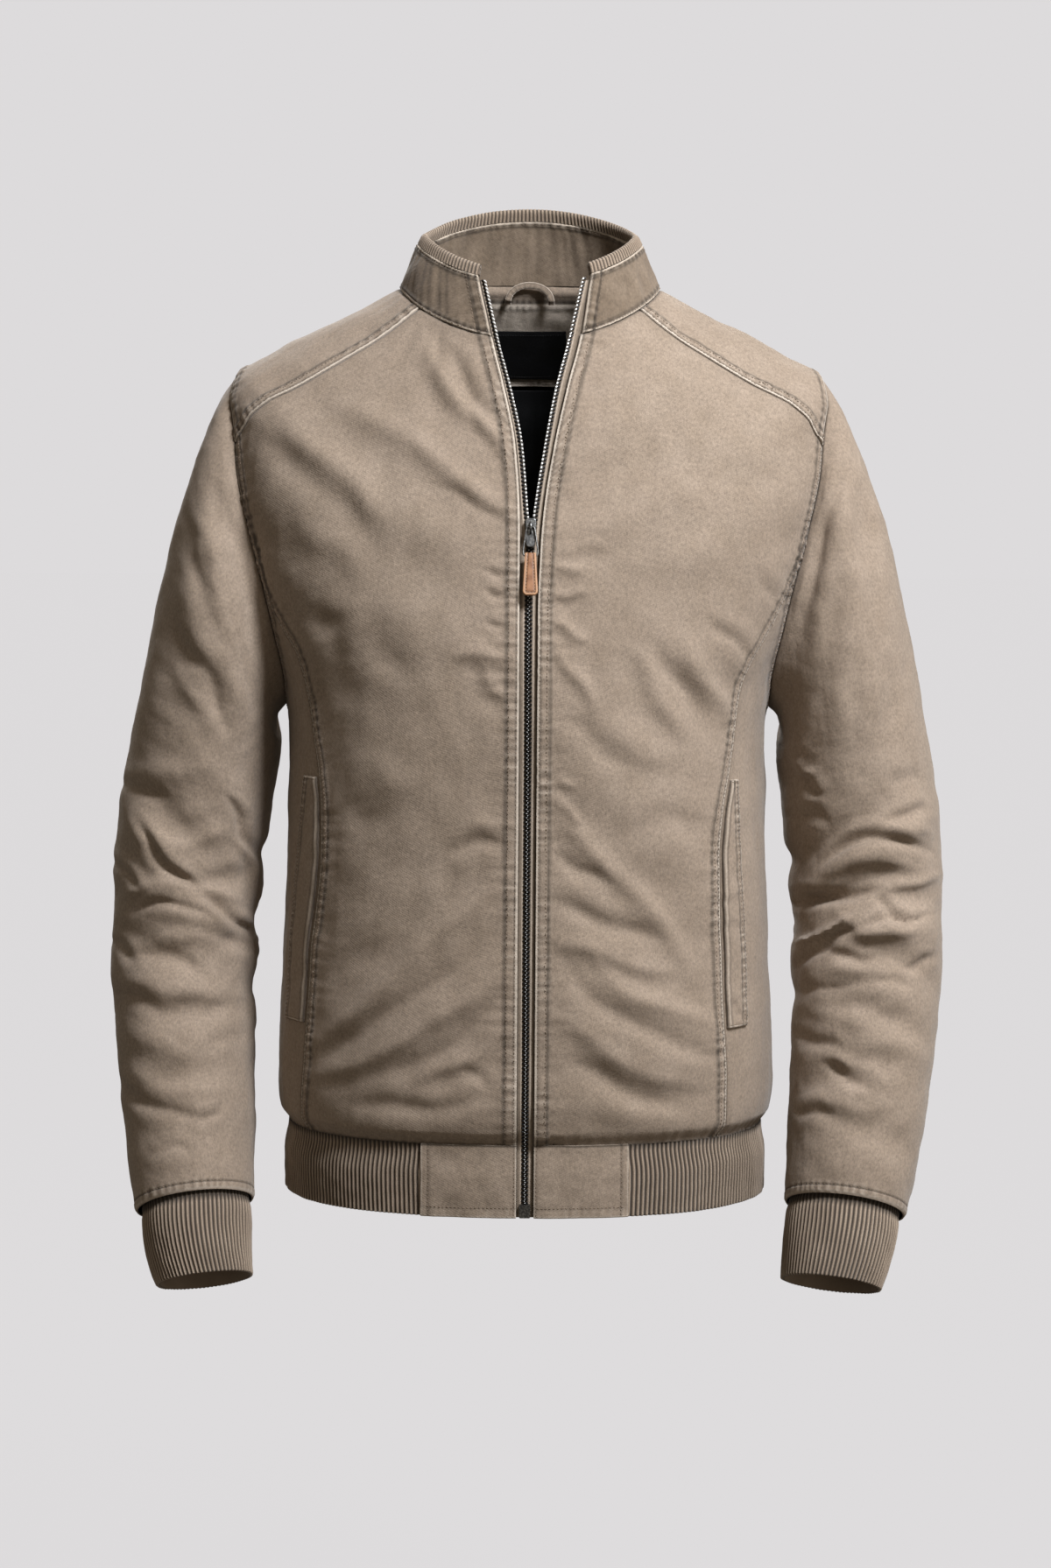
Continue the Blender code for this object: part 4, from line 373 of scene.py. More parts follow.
# painted shade in the stitch rows and along and beside the seam
WELT_DARK = (("open", 1.8, 0.8, 0.8), ("open", 6.4, 0.8, 0.75), ("seam", 0.0, 1.1, 1.0),
             ("seam", 4.4, 0.8, 0.6))
WELT_FROM_SEAM, WELT_THICK, WELT_ROWS = 1.0, 1.5, (1.8, 6.4)

# Inside of the back: levels from the top down, and half turns there, in degrees.
FACING_LEVELS, FACING_HALF_TURN = (-0.6, -47.0), (58.0, 30.0)
FACING_DEPTH, FACING_THICK = 4.9, 1.2
COLLAR_FOOT_RISE, COLLAR_FOOT_DEPTH = 0.075, 3.9
COLLAR_JOIN_LEVEL, ABOVE_JOIN = -5.2, 30.0
LABEL_LEVELS, LABEL_HALF_TURN = (-16.0, -42.0), (13.0, 8.6)
LABEL_GAP, LABEL_THICK = 0.7, 0.7
LINING_LEVELS, LINING_HALF_TURN = (-48.5, -600.0), (60.0, 86.0)
LINING_DEPTH, LINING_THICK, LINING_PLEAT_X = 9.5, 0.9, 2.5
LOOP_HALF_WIDTH, LOOP_FOOT_Z, LOOP_RISE, LOOP_BAND = 16.4, -7.8, 14.6, 4.8
LOOP_TUCK, LOOP_THICK, LOOP_Y, LOOP_STITCH = 2.6, 1.4, 60.5, 0.62

TAPE_GAP, TAPE_THICK, TAPE_HIDDEN = 1.3, 0.8, 8.0
TOOTH_PITCH, TOOTH_SMOOTH_ANGLE = 3.0, 30.0
TOOTH_ROOT, TOOTH_BEVEL, TOOTH_TIP_SHARE = 0.3, 0.4, 0.6
# One tooth's parts: from and to across the tape's edge, half width along it, height, material; material 0 is
# near-black, painted shade of the recesses between teeth, and 1 is pale, painted highlight on the heads.
TOOTH_PARTS = ((-1.9, 0.5, 0.60, 1.1, 0), (0.1, 1.5, 0.78, 1.6, 1))
CLOSED_PARTS = ((-1.9, 1.3, 0.62, 1.2, 0), (-0.1, 0.6, 0.36, 1.45, 1))
SLIDER_X, SLIDER_TOP, PIVOT_OUT = 1.5, -168.3, 2.8
OPEN_TEETH_DROP = 12.0  # the teeth are still apart this far below the slider's top
BAIL_PIVOT, BAIL_LENGTH, BAIL_WIRE, BAIL_BEND, BAIL_SIDES = 7.0, 20.6, 1.3, 1.3, 12
BAIL_TOP_HALF, BAIL_LOW_HALF, BAIL_FLARE_END = 2.7, 5.05, 22.5
TAB_TOP_ABOVE_BAR, TAB_TOP_WIDTH, TAB_WIDTH, TAB_LENGTH, TAB_THICK = 2.2, 7.8, 11.0, 31.0, 3.0
TAB_TOP_CORNER, TAB_LOW_CORNER, TAB_STITCH_IN = 1.2, 3.4, 2.1

STITCH_PITCH, STITCH_LONG, STITCH_THICK = 2.9, 0.64, 0.30
STITCH_PROFILE = ((0.0, 0.0, -0.35), (0.16, 0.8, 0.2), (0.5, 1.0, 0.55), (0.84, 0.8, 0.2), (1.0, 0.0, -0.35))
ON_PIECE = 2.4                  # how far off a piece a stitch may still be sewn to its edge

BACKDROP, FLOOR_GLOW = (0.723, 0.708, 0.716), (0.716, 0.701, 0.709)
FLOOR_LEVEL, FLOOR_HALF = -1.150, 60.0          # metres
FILL_LOW, FILL_HIGH, FILL_LEAN, FILL_COLOUR = 0.14, 0.405, 0.8, (1.0, 0.895, 0.765)
# Lamps: place and aim in metres, size, power, colour.
LAMPS = (
    ("key", (1.2, -1.62, 1.85), (0.05, 0.0, -0.1), 0.7, 128.0, (1.0, 1.03, 1.09)),
    ("side", (2.4, -0.3, 0.7), (0.1, 0.0, -0.2), 0.9, 10.0, (1.0, 1.0, 1.0)),
    ("back", (-0.7, 2.4, 1.3), (0.0, 0.0, -0.3), 1.2, 60.0, (1.0, 1.0, 1.0)),
)

SURFACES, SEWN, SLEEVE_HEMS = {}, {}, {}        # pieces' outsides, their seams and the sleeves' ends


# ---------------------------------------------------------------- curves through short tables
def ease(place, places, values):
    """Smooth curve through a table's rows that never overshoots a row."""
    places = np.asarray(places, float)
    values = np.asarray(values, float)
    step = np.diff(places)
    slope = np.diff(values) / step
    same_way = slope[:-1] * slope[1:] > 0.0
    total = np.where(same_way, slope[:-1] + slope[1:], 1.0)
    inner = np.where(same_way, 2.0 * slope[:-1] * slope[1:] / total, 0.0)
    tangent = np.concatenate([slope[:1], inner, slope[-1:]])
    place = np.clip(place, places[0], places[-1])
    row = np.clip(np.searchsorted(places, place) - 1, 0, len(step) - 1)
    t = (place - places[row]) / step[row]
    rise = values[row] + t * step[row] * tangent[row]
    gap = values[row + 1] - values[row] - step[row] * tangent[row]
    bend = step[row] * (tangent[row + 1] - tangent[row])
    return rise + t * t * (3.0 * gap - bend) + t ** 3 * (bend - 2.0 * gap)


def read(table, columns, name, place):
    """One column of a table, read at a place in its first column."""
    rows = sorted(table, key=lambda row: row[0])
    index = columns.index(name)
    return ease(place, [row[0] for row in rows], [row[index] for row in rows])


def on_side(table, side, place):
    """A table with a column for each side of the jacket, read for one of them."""
    return read(table, SIDE_COLUMNS, "viewer_" + side, place)


def bump(offset, width):
    """Bell of height 1 that dies away over about twice its width."""
    return np.exp(-(offset / width) ** 2)


def bands(distances, table):
    """Sum of soft bands beside a piece's edges: (edge, how far in, width, height)."""
    return sum(height * bump(distances[edge] - inset, width) for edge, inset, width, height in table)


def ramp(value, low, high):
    """0 below low, 1 above high, smooth between."""
    t = np.clip((value - low) / (high - low), 0.0, 1.0)
    return t * t * (3.0 - 2.0 * t)


def between(low, high, share):
    return low + (high - low) * share


def unit(vectors):
    length = np.linalg.norm(vectors, axis=-1, keepdims=True)
    return vectors / np.maximum(length, 1e-9)


def reach_along(line):
    """Distance of each point of a line from its start."""
    return np.linalg.norm(np.diff(line, axis=0, prepend=line[:1]), axis=1).cumsum()


def interpolated(place, reach, values):
    return np.stack([np.interp(place, reach, values[:, axis]) for axis in range(3)], axis=-1)


def normals_of(surface, u, v, step_u=0.5, step_v=1.0):
    """Outward normals of surface(u, v) from small steps either way."""
    along_u = surface(u + step_u, v) - surface(u - step_u, v)
    along_v = surface(u, v + step_v) - surface(u, v - step_v)
    return unit(np.cross(along_u, along_v))


def grid_normals(points, closed=False):
    """Normals of a grid of points, its rows across and its columns along, not yet turned outward."""
    if closed:
        across = np.roll(points, -1, axis=1) - np.roll(points, 1, axis=1)
    else:
        across = np.gradient(points, axis=1)
    return unit(np.cross(across, np.gradient(points, axis=0)))


def face_out(normals, points):
    """Turn a grid's normals so that they point away from each row's middle."""
    away = points - points.mean(axis=1, keepdims=True)
    return normals * np.sign((normals * away).sum())


# ---------------------------------------------------------------- the body's form
def ring_point(around, half_width, front_y, side_y, back_y, front_z, side_z, back_z, square):
    """Point on a rounded ring: 0 degrees is the front, 90 the viewer's right, 180 the back."""
    angle = np.radians(around)
    power = 2.0 / square
    sine, cosine = np.sin(angle), np.cos(angle)
    reach, lift = np.abs(cosine) ** power, np.abs(cosine) ** RING_LIFT
    to_front = cosine > 0.0
    x = half_width * np.sign(sine) * np.abs(sine) ** power
    y = side_y + np.where(to_front, front_y - side_y, back_y - side_y) * reach
    z = side_z + np.where(to_front, front_z - side_z, back_z - side_z) * lift
    return np.stack(np.broadcast_arrays(x, y, z), axis=-1)


def ring_size(name, level):
    return read(BODY_RINGS, RING_COLUMNS, name, level)


def body_form(around, level):
    around, level = np.asarray(around, float), np.asarray(level, float)
    sizes = {name: ring_size(name, level) for name in RING_COLUMNS[1:]}
    return ring_point(around, side_z=level, **sizes)


def body_fold_height(points, around):
    """How far the folds lift the cloth at points of the form."""
    facing = np.cos(np.radians(around))
    height = np.zeros(points.shape[:-1])
    for side, x, z, heading, length, width, depth in BODY_FOLDS:
        share = ramp(facing if side == "front" else -facing, 0.0, 0.45)
        turn = math.radians(heading)
        right, up = points[..., 0] - x, points[..., 2] - z
        along = right * math.cos(turn) + up * math.sin(turn)
        across = up * math.cos(turn) - right * math.sin(turn)
        height = height + share * depth * bump(along, length / 2.0) * bump(across, width)
    above_hem = ramp(points[..., 2], HEM_SEAM + 4.0, HEM_SEAM + 24.0)
    return height * above_hem * ramp(-points[..., 2], 35.0, 90.0)


def body_surface(around, level):
    around, level = np.asarray(around, float), np.asarray(level, float)
    form = body_form(around, level)
    normal = normals_of(body_form, around, level)
    return form + normal * body_fold_height(form, around)[..., None]


def around_at_x(level, x):
    """Degrees round the front where the ring at this level is x from the middle plane."""
    share = np.abs(x) / ring_size("half_width", level)
    return np.sign(x) * np.degrees(np.arcsin(np.clip(share, 0.0, 1.0) ** (ring_size("square", level) / 2.0)))


def level_at_front_height(height):
    """Level of the ring that passes the front middle at this height."""
    front_z = RING_COLUMNS.index("front_z")
    return read([(row[front_z], row[0]) for row in BODY_RINGS], ("height", "level"), "level", height)


def ring_height(around, level):
    """Height of the body's form at this level."""
    cosine = np.cos(np.radians(around))
    end = np.where(cosine > 0.0, ring_size("front_z", level), ring_size("back_z", level))
    return level + (end - level) * np.abs(cosine) ** RING_LIFT


def to_chart(line, centre):
    """(around, level) as a flat place on the cloth: across from a centre line, and height."""
    around, level = line[..., 0], line[..., 1]
    return spots((around - centre) * ring_size("half_width", level) / 100.0, ring_height(around, level))


def from_chart(place, centre):
    """Back from a flat place to (around, level), by halving the span of levels."""
    def around_at(level):
        return centre + np.clip(place[..., 0] * 100.0 / ring_size("half_width", level), -SIDE, SIDE)

    low = np.full(place.shape[:-1], BODY_RINGS[0][0] - 1.0)
    high = np.zeros(place.shape[:-1])
    for _ in range(CHART_HALVINGS):
        level = (low + high) / 2.0
        below = ring_height(around_at(level), level) < place[..., 1]
        low = np.where(below, level, low)
        high = np.where(below, high, level)
    return spots(around_at(level), level)


# ---------------------------------------------------------------- seam lines, as (around, level)
def spots(around, level):
    return np.stack(np.broadcast_arrays(np.asarray(around, float), np.asarray(level, float)), axis=-1)


def same(line):
    return line


def mirrored(line):
    """The same line on the other half of the jacket."""
    return spots(-line[..., 0], line[..., 1])


def flipped(line):
    """A line of the back on its other half, counted on round the back."""
    return spots(360.0 - line[..., 0], line[..., 1])


def turned(side):
    return mirrored if side == "left" else same


def princess_at(side, levels):
    """Curved seam between the front and its side piece, as on the viewer's right."""
    return spots(on_side(PRINCESS_SEAM, side, levels), levels)


def armhole_at(table, share):
    """Armhole at shares of its front or back half, from the shoulder down."""
    return spots(read(table, ARMHOLE_COLUMNS, "around", share), read(table, ARMHOLE_COLUMNS, "level", share))


def yoke_at(table, level):
    return spots(read(table, SEAM_COLUMNS, "around", level), level)


def front_edge(side, levels):
    """Front edge of the cloth."""
    return spots(around_at_x(levels, on_side(FRONT_EDGES, side, ring_size("front_z", levels))), levels)


def on_body(line):
    return body_surface(line[..., 0], line[..., 1])


def hem_line(first, last):
    return on_body(spots(np.linspace(first, last, 700), HEM_SEAM))


def neck_line(first, last):
    return on_body(spots(np.linspace(first, last, 300), 0.0))


def princess_line(side):
    return on_body(turned(side)(princess_at(side, np.linspace(HEM_SEAM, PRINCESS_TOP, 500))))


def yoke_line(table, side):
    return on_body(turned(side)(yoke_at(table, np.linspace(0.0, table[0][0], 260))))


def armhole_line(table, first, last, turn):
    return on_body(turn(armhole_at(table, np.linspace(first, last, 300))))


def shoulder_line(turn):
    """Armhole of a yoke, from its front over the shoulder to its back."""
    front = armhole_line(FRONT_ARMHOLE, FRONT_YOKE_SHARE, 0.0, turn)
    return np.concatenate([front[:-1], armhole_line(BACK_ARMHOLE, 0.0, BACK_YOKE_SHARE, turn)])


def zip_line(side, first=HEM_SEAM, last=0.0, count=700):
    return on_body(front_edge(side, np.linspace(first, last, count)))


def side_seam(side):
    return on_body(spots(SIGNS[side] * SIDE, np.linspace(HEM_SEAM, UNDERARM_LEVEL, 300)))


# ---------------------------------------------------------------- the sleeve's and collar's form
def sleeve_axis(rings, along):
    """Centre and outward half-width vector of the sleeve in its own plane."""
    def pick(name):
        return read(rings, SLEEVE_COLUMNS, name, along)
    zero = np.zeros_like(along)
    outer = np.stack([pick("outer_x"), zero, pick("outer_z")], axis=-1)
    inner = np.stack([pick("inner_x"), zero, pick("inner_z")], axis=-1)
    centre = (outer + inner) / 2.0
    centre[..., 1] = pick("centre_y")
    return centre, (outer - inner) / 2.0


def sleeve_ring(rings, side, turn, along):
    """Plain rounded ring of the sleeve at a distance along it."""
    along = np.asarray(along, float)
    centre, outward = sleeve_axis(rings, along)
    past_sleeve = along[..., None] > SLEEVE_RINGS[-1][0] - SLEEVE_STEP - 1.0
    ahead, behind = (np.where(past_sleeve, sleeve_axis(CUFF_RINGS, place)[0], sleeve_axis(SLEEVE_RINGS, place)[0])
                     for place in (along + SLEEVE_STEP, along - SLEEVE_STEP))
    forward = unit(np.cross(ahead - behind, outward))
    forward = np.where(forward[..., 1:2] > 0.0, -forward, forward)
    half_depth = read(rings, SLEEVE_COLUMNS, "half_depth", along)[..., None]
    if side == "left":
        outward = outward - unit(outward) * read(LEFT_SLEEVE, LEFT_COLUMNS, "narrower", along)[..., None]
    angle = np.radians(turn)[..., None]
    point = centre + outward * np.cos(angle) + forward * half_depth * np.sin(angle)
    if side == "left":
        point[..., 0] = -(point[..., 0] + read(LEFT_SLEEVE, LEFT_COLUMNS, "out", along))
    return point


def sleeve_rings(side, turns):
    return [sleeve_ring(SLEEVE_RINGS, side, turns, np.full(len(turns), float(row[0]))) for row in SLEEVE_RINGS]


def sleeve_form(side, turns, along, loop, loop_middle, ring_middles):
    """Smooth loft from the armhole's loop to the cuff, for each distance (rows) and turn (columns)."""
    stations = [loop]
    for row, ring, middle in zip(SLEEVE_RINGS, sleeve_rings(side, turns), ring_middles):
        share = row[SLEEVE_COLUMNS.index("armhole_share")]
        stations.append((1.0 - share) * ring + share * (loop - loop_middle + middle))
    places = [0.0] + [row[0] for row in SLEEVE_RINGS]
    tracks = np.array(stations).reshape(len(places), -1).T
    lofted = np.stack([ease(along, places, track) for track in tracks], axis=-1)
    return lofted.reshape(len(along), len(turns), 3)


def sleeve_fold_height(side, turn, along):
    height = np.zeros(np.broadcast(turn, along).shape)
    for place, distance, heading, length, width, depth in SLEEVE_FOLDS[side]:
        slant = math.radians(heading)
        round_mm = ((turn - place + 180.0) % 360.0 - 180.0) * SLEEVE_MM_PER_DEGREE
        down = along - distance
        run = round_mm * math.cos(slant) + down * math.sin(slant)
        across = down * math.cos(slant) - round_mm * math.sin(slant)
        height = height + depth * bump(run, length / 2.0) * bump(across, width)
    return height * ramp(along, 10.0, 60.0) * ramp(-along, -640.0, -610.0)


def loop_turns(points, underarm):
    """Degrees round the sleeve for each point of the armhole: 0 shoulder, 180 underarm."""
    place = reach_along(np.concatenate([points, points[:1]]))
    half = place[underarm]
    front = 180.0 * place[:underarm + 1] / half
    back = 180.0 + 180.0 * (place[underarm + 1:-1] - half) / (place[-1] - half)
    return np.concatenate([front, back])


def armhole_loop(side, steps):
    """Points and normals round the armhole, from the shoulder by the front to the back."""
    yoke, front, under, back = steps
    runs = [armhole_at(table, np.linspace(first, last, count + 1)) for table, first, last, count in (
        (FRONT_ARMHOLE, 0.0, FRONT_YOKE_SHARE, yoke), (FRONT_ARMHOLE, FRONT_YOKE_SHARE, PRINCESS_SHARE, front),
        (FRONT_ARMHOLE, PRINCESS_SHARE, 1.0, under), (BACK_ARMHOLE, 1.0, BACK_YOKE_SHARE, back),
        (BACK_ARMHOLE, BACK_YOKE_SHARE, 0.0, yoke))]
    line = turned(side)(np.concatenate([runs[0]] + [run[1:] for run in runs[1:]])[:-1])
    return on_body(line), normals_of(body_surface, line[..., 0], line[..., 1]), yoke + front + under


def collar_ring(around, rise):
    """Collar surface: rise 0 is the neck seam, 1 the top edge."""
    around = np.asarray(around, float)
    neck = body_form(around, np.zeros_like(around))
    rise = np.asarray(rise, float)[..., None]
    flat = neck + (ring_point(around, square=2.0, **COLLAR_TOP) - neck) * rise
    out = unit(flat * np.array([1.0, 1.0, 0.0]))
    return flat + out * COLLAR_BOW * np.sin(np.pi * np.clip(rise, 0.0, 1.2))


def collar_normals(around, rise):
    return normals_of(collar_ring, around, rise, 0.5, 0.02)


def collar_edge(side, rise, inset=0.0):
    """Degrees round of the collar's front edge at each rise, moved in by some degrees."""
    around = np.full(np.shape(rise), SIGNS[side] * 25.0)
    for _ in range(EDGE_TRIES):
        point = collar_ring(around, rise)
        around = around + (on_side(FRONT_EDGES, side, point[..., 2]) - point[..., 0]) * 0.7
    return around + SIGNS[side] * inset


def collar_ends(rise, inset=0.0):
    """Both front edges, the left one counted on round the back."""
    return collar_edge("right", rise, inset), 360.0 + collar_edge("left", rise, inset)


# ---------------------------------------------------------------- unevenness and creases
def seen_at(points):
    """Where points are seen in the front view: right and height on the middle plane, in mm."""
    up = points[..., 2] - VIEW_HEIGHT
    ahead = points[..., 1] * math.cos(VIEW_DOWN) - up * math.sin(VIEW_DOWN)
    rise = points[..., 1] * math.sin(VIEW_DOWN) + up * math.cos(VIEW_DOWN)
    scale = VIEW_DISTANCE / (VIEW_DISTANCE + ahead)
    return points[..., 0] * scale, VIEW_HEIGHT + rise * scale


def waver(points, size, seed, count=7):
    """Smooth unevenness between about -1 and 1, its waves about as long as size."""
    turn = np.random.default_rng(seed)
    total = np.zeros(points.shape[:-1])
    for _ in range(count):
        heading = turn.normal(size=3)
        heading /= np.linalg.norm(heading)
        wave = size * turn.uniform(0.7, 1.5)
        total += np.sin(points @ heading * (2.0 * math.pi / wave) + turn.uniform(0.0, 6.28))
    return total / math.sqrt(count)


def wavers(points, seed, *waves):
    """Sum of several sizes of unevenness, each (height, size)."""
    return sum(height * waver(points, size, seed + index) for index, (height, size) in enumerate(waves))


def ripple(run, pitch, seed):
    """Uneven waves along a seam, between about -1 and 1."""
    turn = np.random.default_rng(seed)
    a, b, c = turn.uniform(0.0, 6.28, 3)
    phase = 2.0 * math.pi * run / pitch + 1.9 * np.sin(run / 13.0 + a) + 1.2 * np.sin(run / 5.3 + b)
    return np.sin(phase) * (0.55 + 0.3 * np.sin(run / 19.0 + c) + 0.15 * np.sin(run / 7.1 + b))


def crease_height(place, creases, seed):
    """Lift of the listed creases: a valley between two soft lips, or a ridge over a trough."""
    x, z = place
    turn = np.random.default_rng(seed)
    height = np.zeros(x.shape)
    for x0, z0, x1, z1, bow, width, depth in creases:
        phase = turn.uniform(0.0, 6.28)
        reach = math.hypot(x1 - x0, z1 - z0)
        ahead, rise = (x1 - x0) / reach, (z1 - z0) / reach
        run = ((x - x0) * ahead + (z - z0) * rise) / reach
        off = (z - z0) * ahead - (x - x0) * rise - 4.0 * bow * run * (1.0 - run)
        off = off + 0.3 * width * np.sin(run * 7.0 + phase)
        ends = ramp(run, -0.22, 0.3) * ramp(1.0 - run, -0.22, 0.3)
        size = CREASE_WIDTH * width * (0.75 + 0.35 * ends)
        shape = sum(share * bump(off - shift * size, spread * size)
                    for share, shift, spread in (VALLEY_SHAPE if depth < 0.0 else RIDGE_SHAPE))
        height = height + CREASE_DEPTH * depth * shape * ends
    return height


def lowest(values, reach, closed=False):
    """Smallest value within a few columns and rows, so that a coarse inside stays under its outside."""
    for axis in (0, 1):
        found = values.copy()
        for way in range(-reach, reach + 1):
            moved = np.roll(values, way, axis=axis)
            if way and not (closed and axis == 1):
                edge = [slice(None), slice(None)]
                edge[axis] = slice(0, way) if way > 0 else slice(way, None)
                moved[tuple(edge)] = values[tuple(edge)]
            found = np.minimum(found, moved)
        values = found
    return values


def wrinkles(points, normals, front, back, seed):
    """Creases on the side that faces the front view and on the hidden side, and small unevenness."""
    place = seen_at(points)
    facing = -normals[..., 1]
    height = ramp(facing, -0.25, 0.3) * crease_height(place, front, seed)
    height = height + ramp(-facing, -0.25, 0.3) * crease_height(place, back, seed + 1)
    return height + wavers(points, seed + 2, (0.42, 46.0), (0.2, 19.0), (0.08, 9.0))


# ---------------------------------------------------------------- seams on the cloth
def near(points, line):
    """Distance from each point to a seam, and how far along the seam it lies, in mm."""
    place = reach_along(line)
    ahead = unit(np.gradient(line, axis=0))
    flat = points.reshape(-1, 3)
    away, run = np.empty(len(flat)), np.empty(len(flat))
    square = (line ** 2).sum(axis=1)
    for start in range(0, len(flat), CHUNK):
        part = flat[start:start + CHUNK]
        index = np.argmin(square[None, :] - 2.0 * part @ line.T, axis=1)
        offset = part - line[index]
        along = (offset * ahead[index]).sum(axis=1)
        away[start:start + CHUNK] = np.sqrt(np.maximum((offset ** 2).sum(axis=1) - along ** 2, 0.0))
        run[start:start + CHUNK] = place[index] + along
    return away.reshape(points.shape[:-1]), run.reshape(points.shape[:-1])


def seam_relief(points, seams):
    """Lift, pale wear with painted highlight, and painted shade of the cloth beside its seams, given as (line, look,
    seed).
    """
    height, wear_and_painted_light, painted_shade = np.zeros((3, *points.shape[:-1]))
    for line, look, seed in seams:
        away, run = near(points, line)
        if look in SUNK_LOOKS:
            lift, reach, pucker, pucker_reach, pitch, shade, shade_reach = SUNK_LOOKS[look]
            height += lift * bump(away, reach) + pucker * ripple(run, pitch, seed) * bump(away - 2.0, pucker_reach)
            # painted shade in the groove under the band, and a broad painted shade round it
            painted_shade += shade * bump(away, shade_reach) + 0.12 * bump(away, 6.0)
            continue
        lift, width, rows, pucker, pitch, tuck = SEWN_LOOKS[look]
        wave = ripple(run, pitch, seed)
        inside = ramp(-away, -width - 1.8, -width + 0.2)
        tucks = ripple(run, TUCK_PITCH, seed + 7) + 0.6 * ripple(run, 0.55 * TUCK_PITCH, seed + 8)
        window = ramp(away, 0.2, 1.8) * ramp(-away, -width - 3.2, -width + 0.4)
        height += tuck * tucks * ramp(away, 0.5, 4.0) * bump(away, TUCK_REACH)
        height += lift * (1.0 - 0.75 * bump(away, LIP)) * inside + pucker * wave * window
        # painted shade in the hollows of the tucks
        painted_shade += 0.10 * tuck * np.maximum(-tucks, 0.0) * bump(away, TUCK_REACH)
        for row in rows:
            height -= 0.35 * bump(away - row, ROW_TROUGH)
            # painted shade in the stitch row's trough
            painted_shade += 0.80 * bump(away - row, ROW_TROUGH) * (0.80 - 0.15 * wave)
        # pale worn edge at the seam and painted highlight on the pucker tops; painted shade in the pucker hollows and
        # a painted shadow line beside the band
        wear_and_painted_light += 1.2 * bump(away - 0.7, 1.0) + 0.34 * window * np.maximum(wave, 0.0)
        painted_shade += 0.34 * window * np.maximum(-wave, 0.0) + 0.5 * bump(away - width - 0.7, 0.9)
    return height, wear_and_painted_light, painted_shade


# ---------------------------------------------------------------- grids of the cut pieces
def shares(length, coarse, corners=(), zone=10.0):
    """Shares along an edge, closer together near its ends, with a share at each corner given."""
    ends = np.arange(0.0, zone, FINE_STEP)
    steps = max(2, int(round((length - 2.0 * zone) / coarse)))
    middle = np.linspace(zone, length - zone, steps + 1)
    found = np.concatenate([ends, middle, length - ends[::-1]]) / length
    for corner in corners:
        found[np.argmin(np.abs(found - corner))] = corner
    return found


def joined(share, corner, first, second):
    """Two curves as one edge: the first up to the corner's share, then the second."""
    low = first(np.clip(share / corner, 0.0, 1.0))
    high = second(np.clip((share - corner) / (1.0 - corner), 0.0, 1.0))
    return np.where((share <= corner)[:, None], low, high)


def patch(bottom, top, inner, outer, u, v, centre):
    """Grid of spots between four edges that share their corners."""
    inner[-1], outer[-1] = top[0], top[-1]
    edges = (bottom, top, inner, outer)
    bottom, top, inner, outer = (to_chart(edge, centre) for edge in edges)
    u = u[None, :, None]
    v = v[:, None, None]
    lofted = between(bottom[None], top[None], v)
    crossed = between(inner[:, None], outer[:, None], u)
    corners = between(between(bottom[0], top[0], v), between(bottom[-1], top[-1], v), u)
    grid = from_chart(lofted + crossed - corners, centre)
    grid[0], grid[-1], grid[:, 0], grid[:, -1] = edges
    return grid


# ---------------------------------------------------------------- shells
def meshed(name, points, faces, materials, face_slots=None, keep=42.0):
    """Smooth mesh object from points in millimetres, its edges over keep degrees left sharp."""
    mesh = bpy.data.meshes.new(name)
    mesh.from_pydata((np.asarray(points) * MM).tolist(), [], faces)
    for material in materials:
        mesh.materials.append(material)
    if face_slots is not None:
        mesh.polygons.foreach_set("material_index", np.asarray(face_slots, np.int32))
    mesh.update()
    mesh.shade_smooth()
    mesh.set_sharp_from_angle(angle=math.radians(keep))
    piece = bpy.data.objects.new(name, mesh)
    bpy.context.scene.collection.objects.link(piece)
    return piece


def placed_on(piece, slot, *nodes, body="jacket"):
    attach(piece, body)
    if nodes:
        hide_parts(*nodes)


def grid_quads(index, closed):
    """Faces of a grid of point numbers."""
    after = np.roll(index, -1, axis=1)
    quads = np.stack([index[:-1], after[:-1], after[1:], index[1:]], axis=-1)
    return (quads if closed else quads[:, :-1]).reshape(-1, 4)


def rim(outer, inner, stops, turn_round):
    """Faces between a line of the fine outside and its sparser inside."""
    rings = [[a, b] + outer[low:high + 1].tolist()[::-1]
             for a, b, low, high in zip(inner.tolist(), inner[1:].tolist(), stops, stops[1:])]
    return [ring[::-1] for ring in rings] if turn_round else rings


def picks(count, every, closed=False):
    found = list(range(0, count, every))
    if not closed and found[-1] != count - 1:
        found.append(count - 1)
    return found


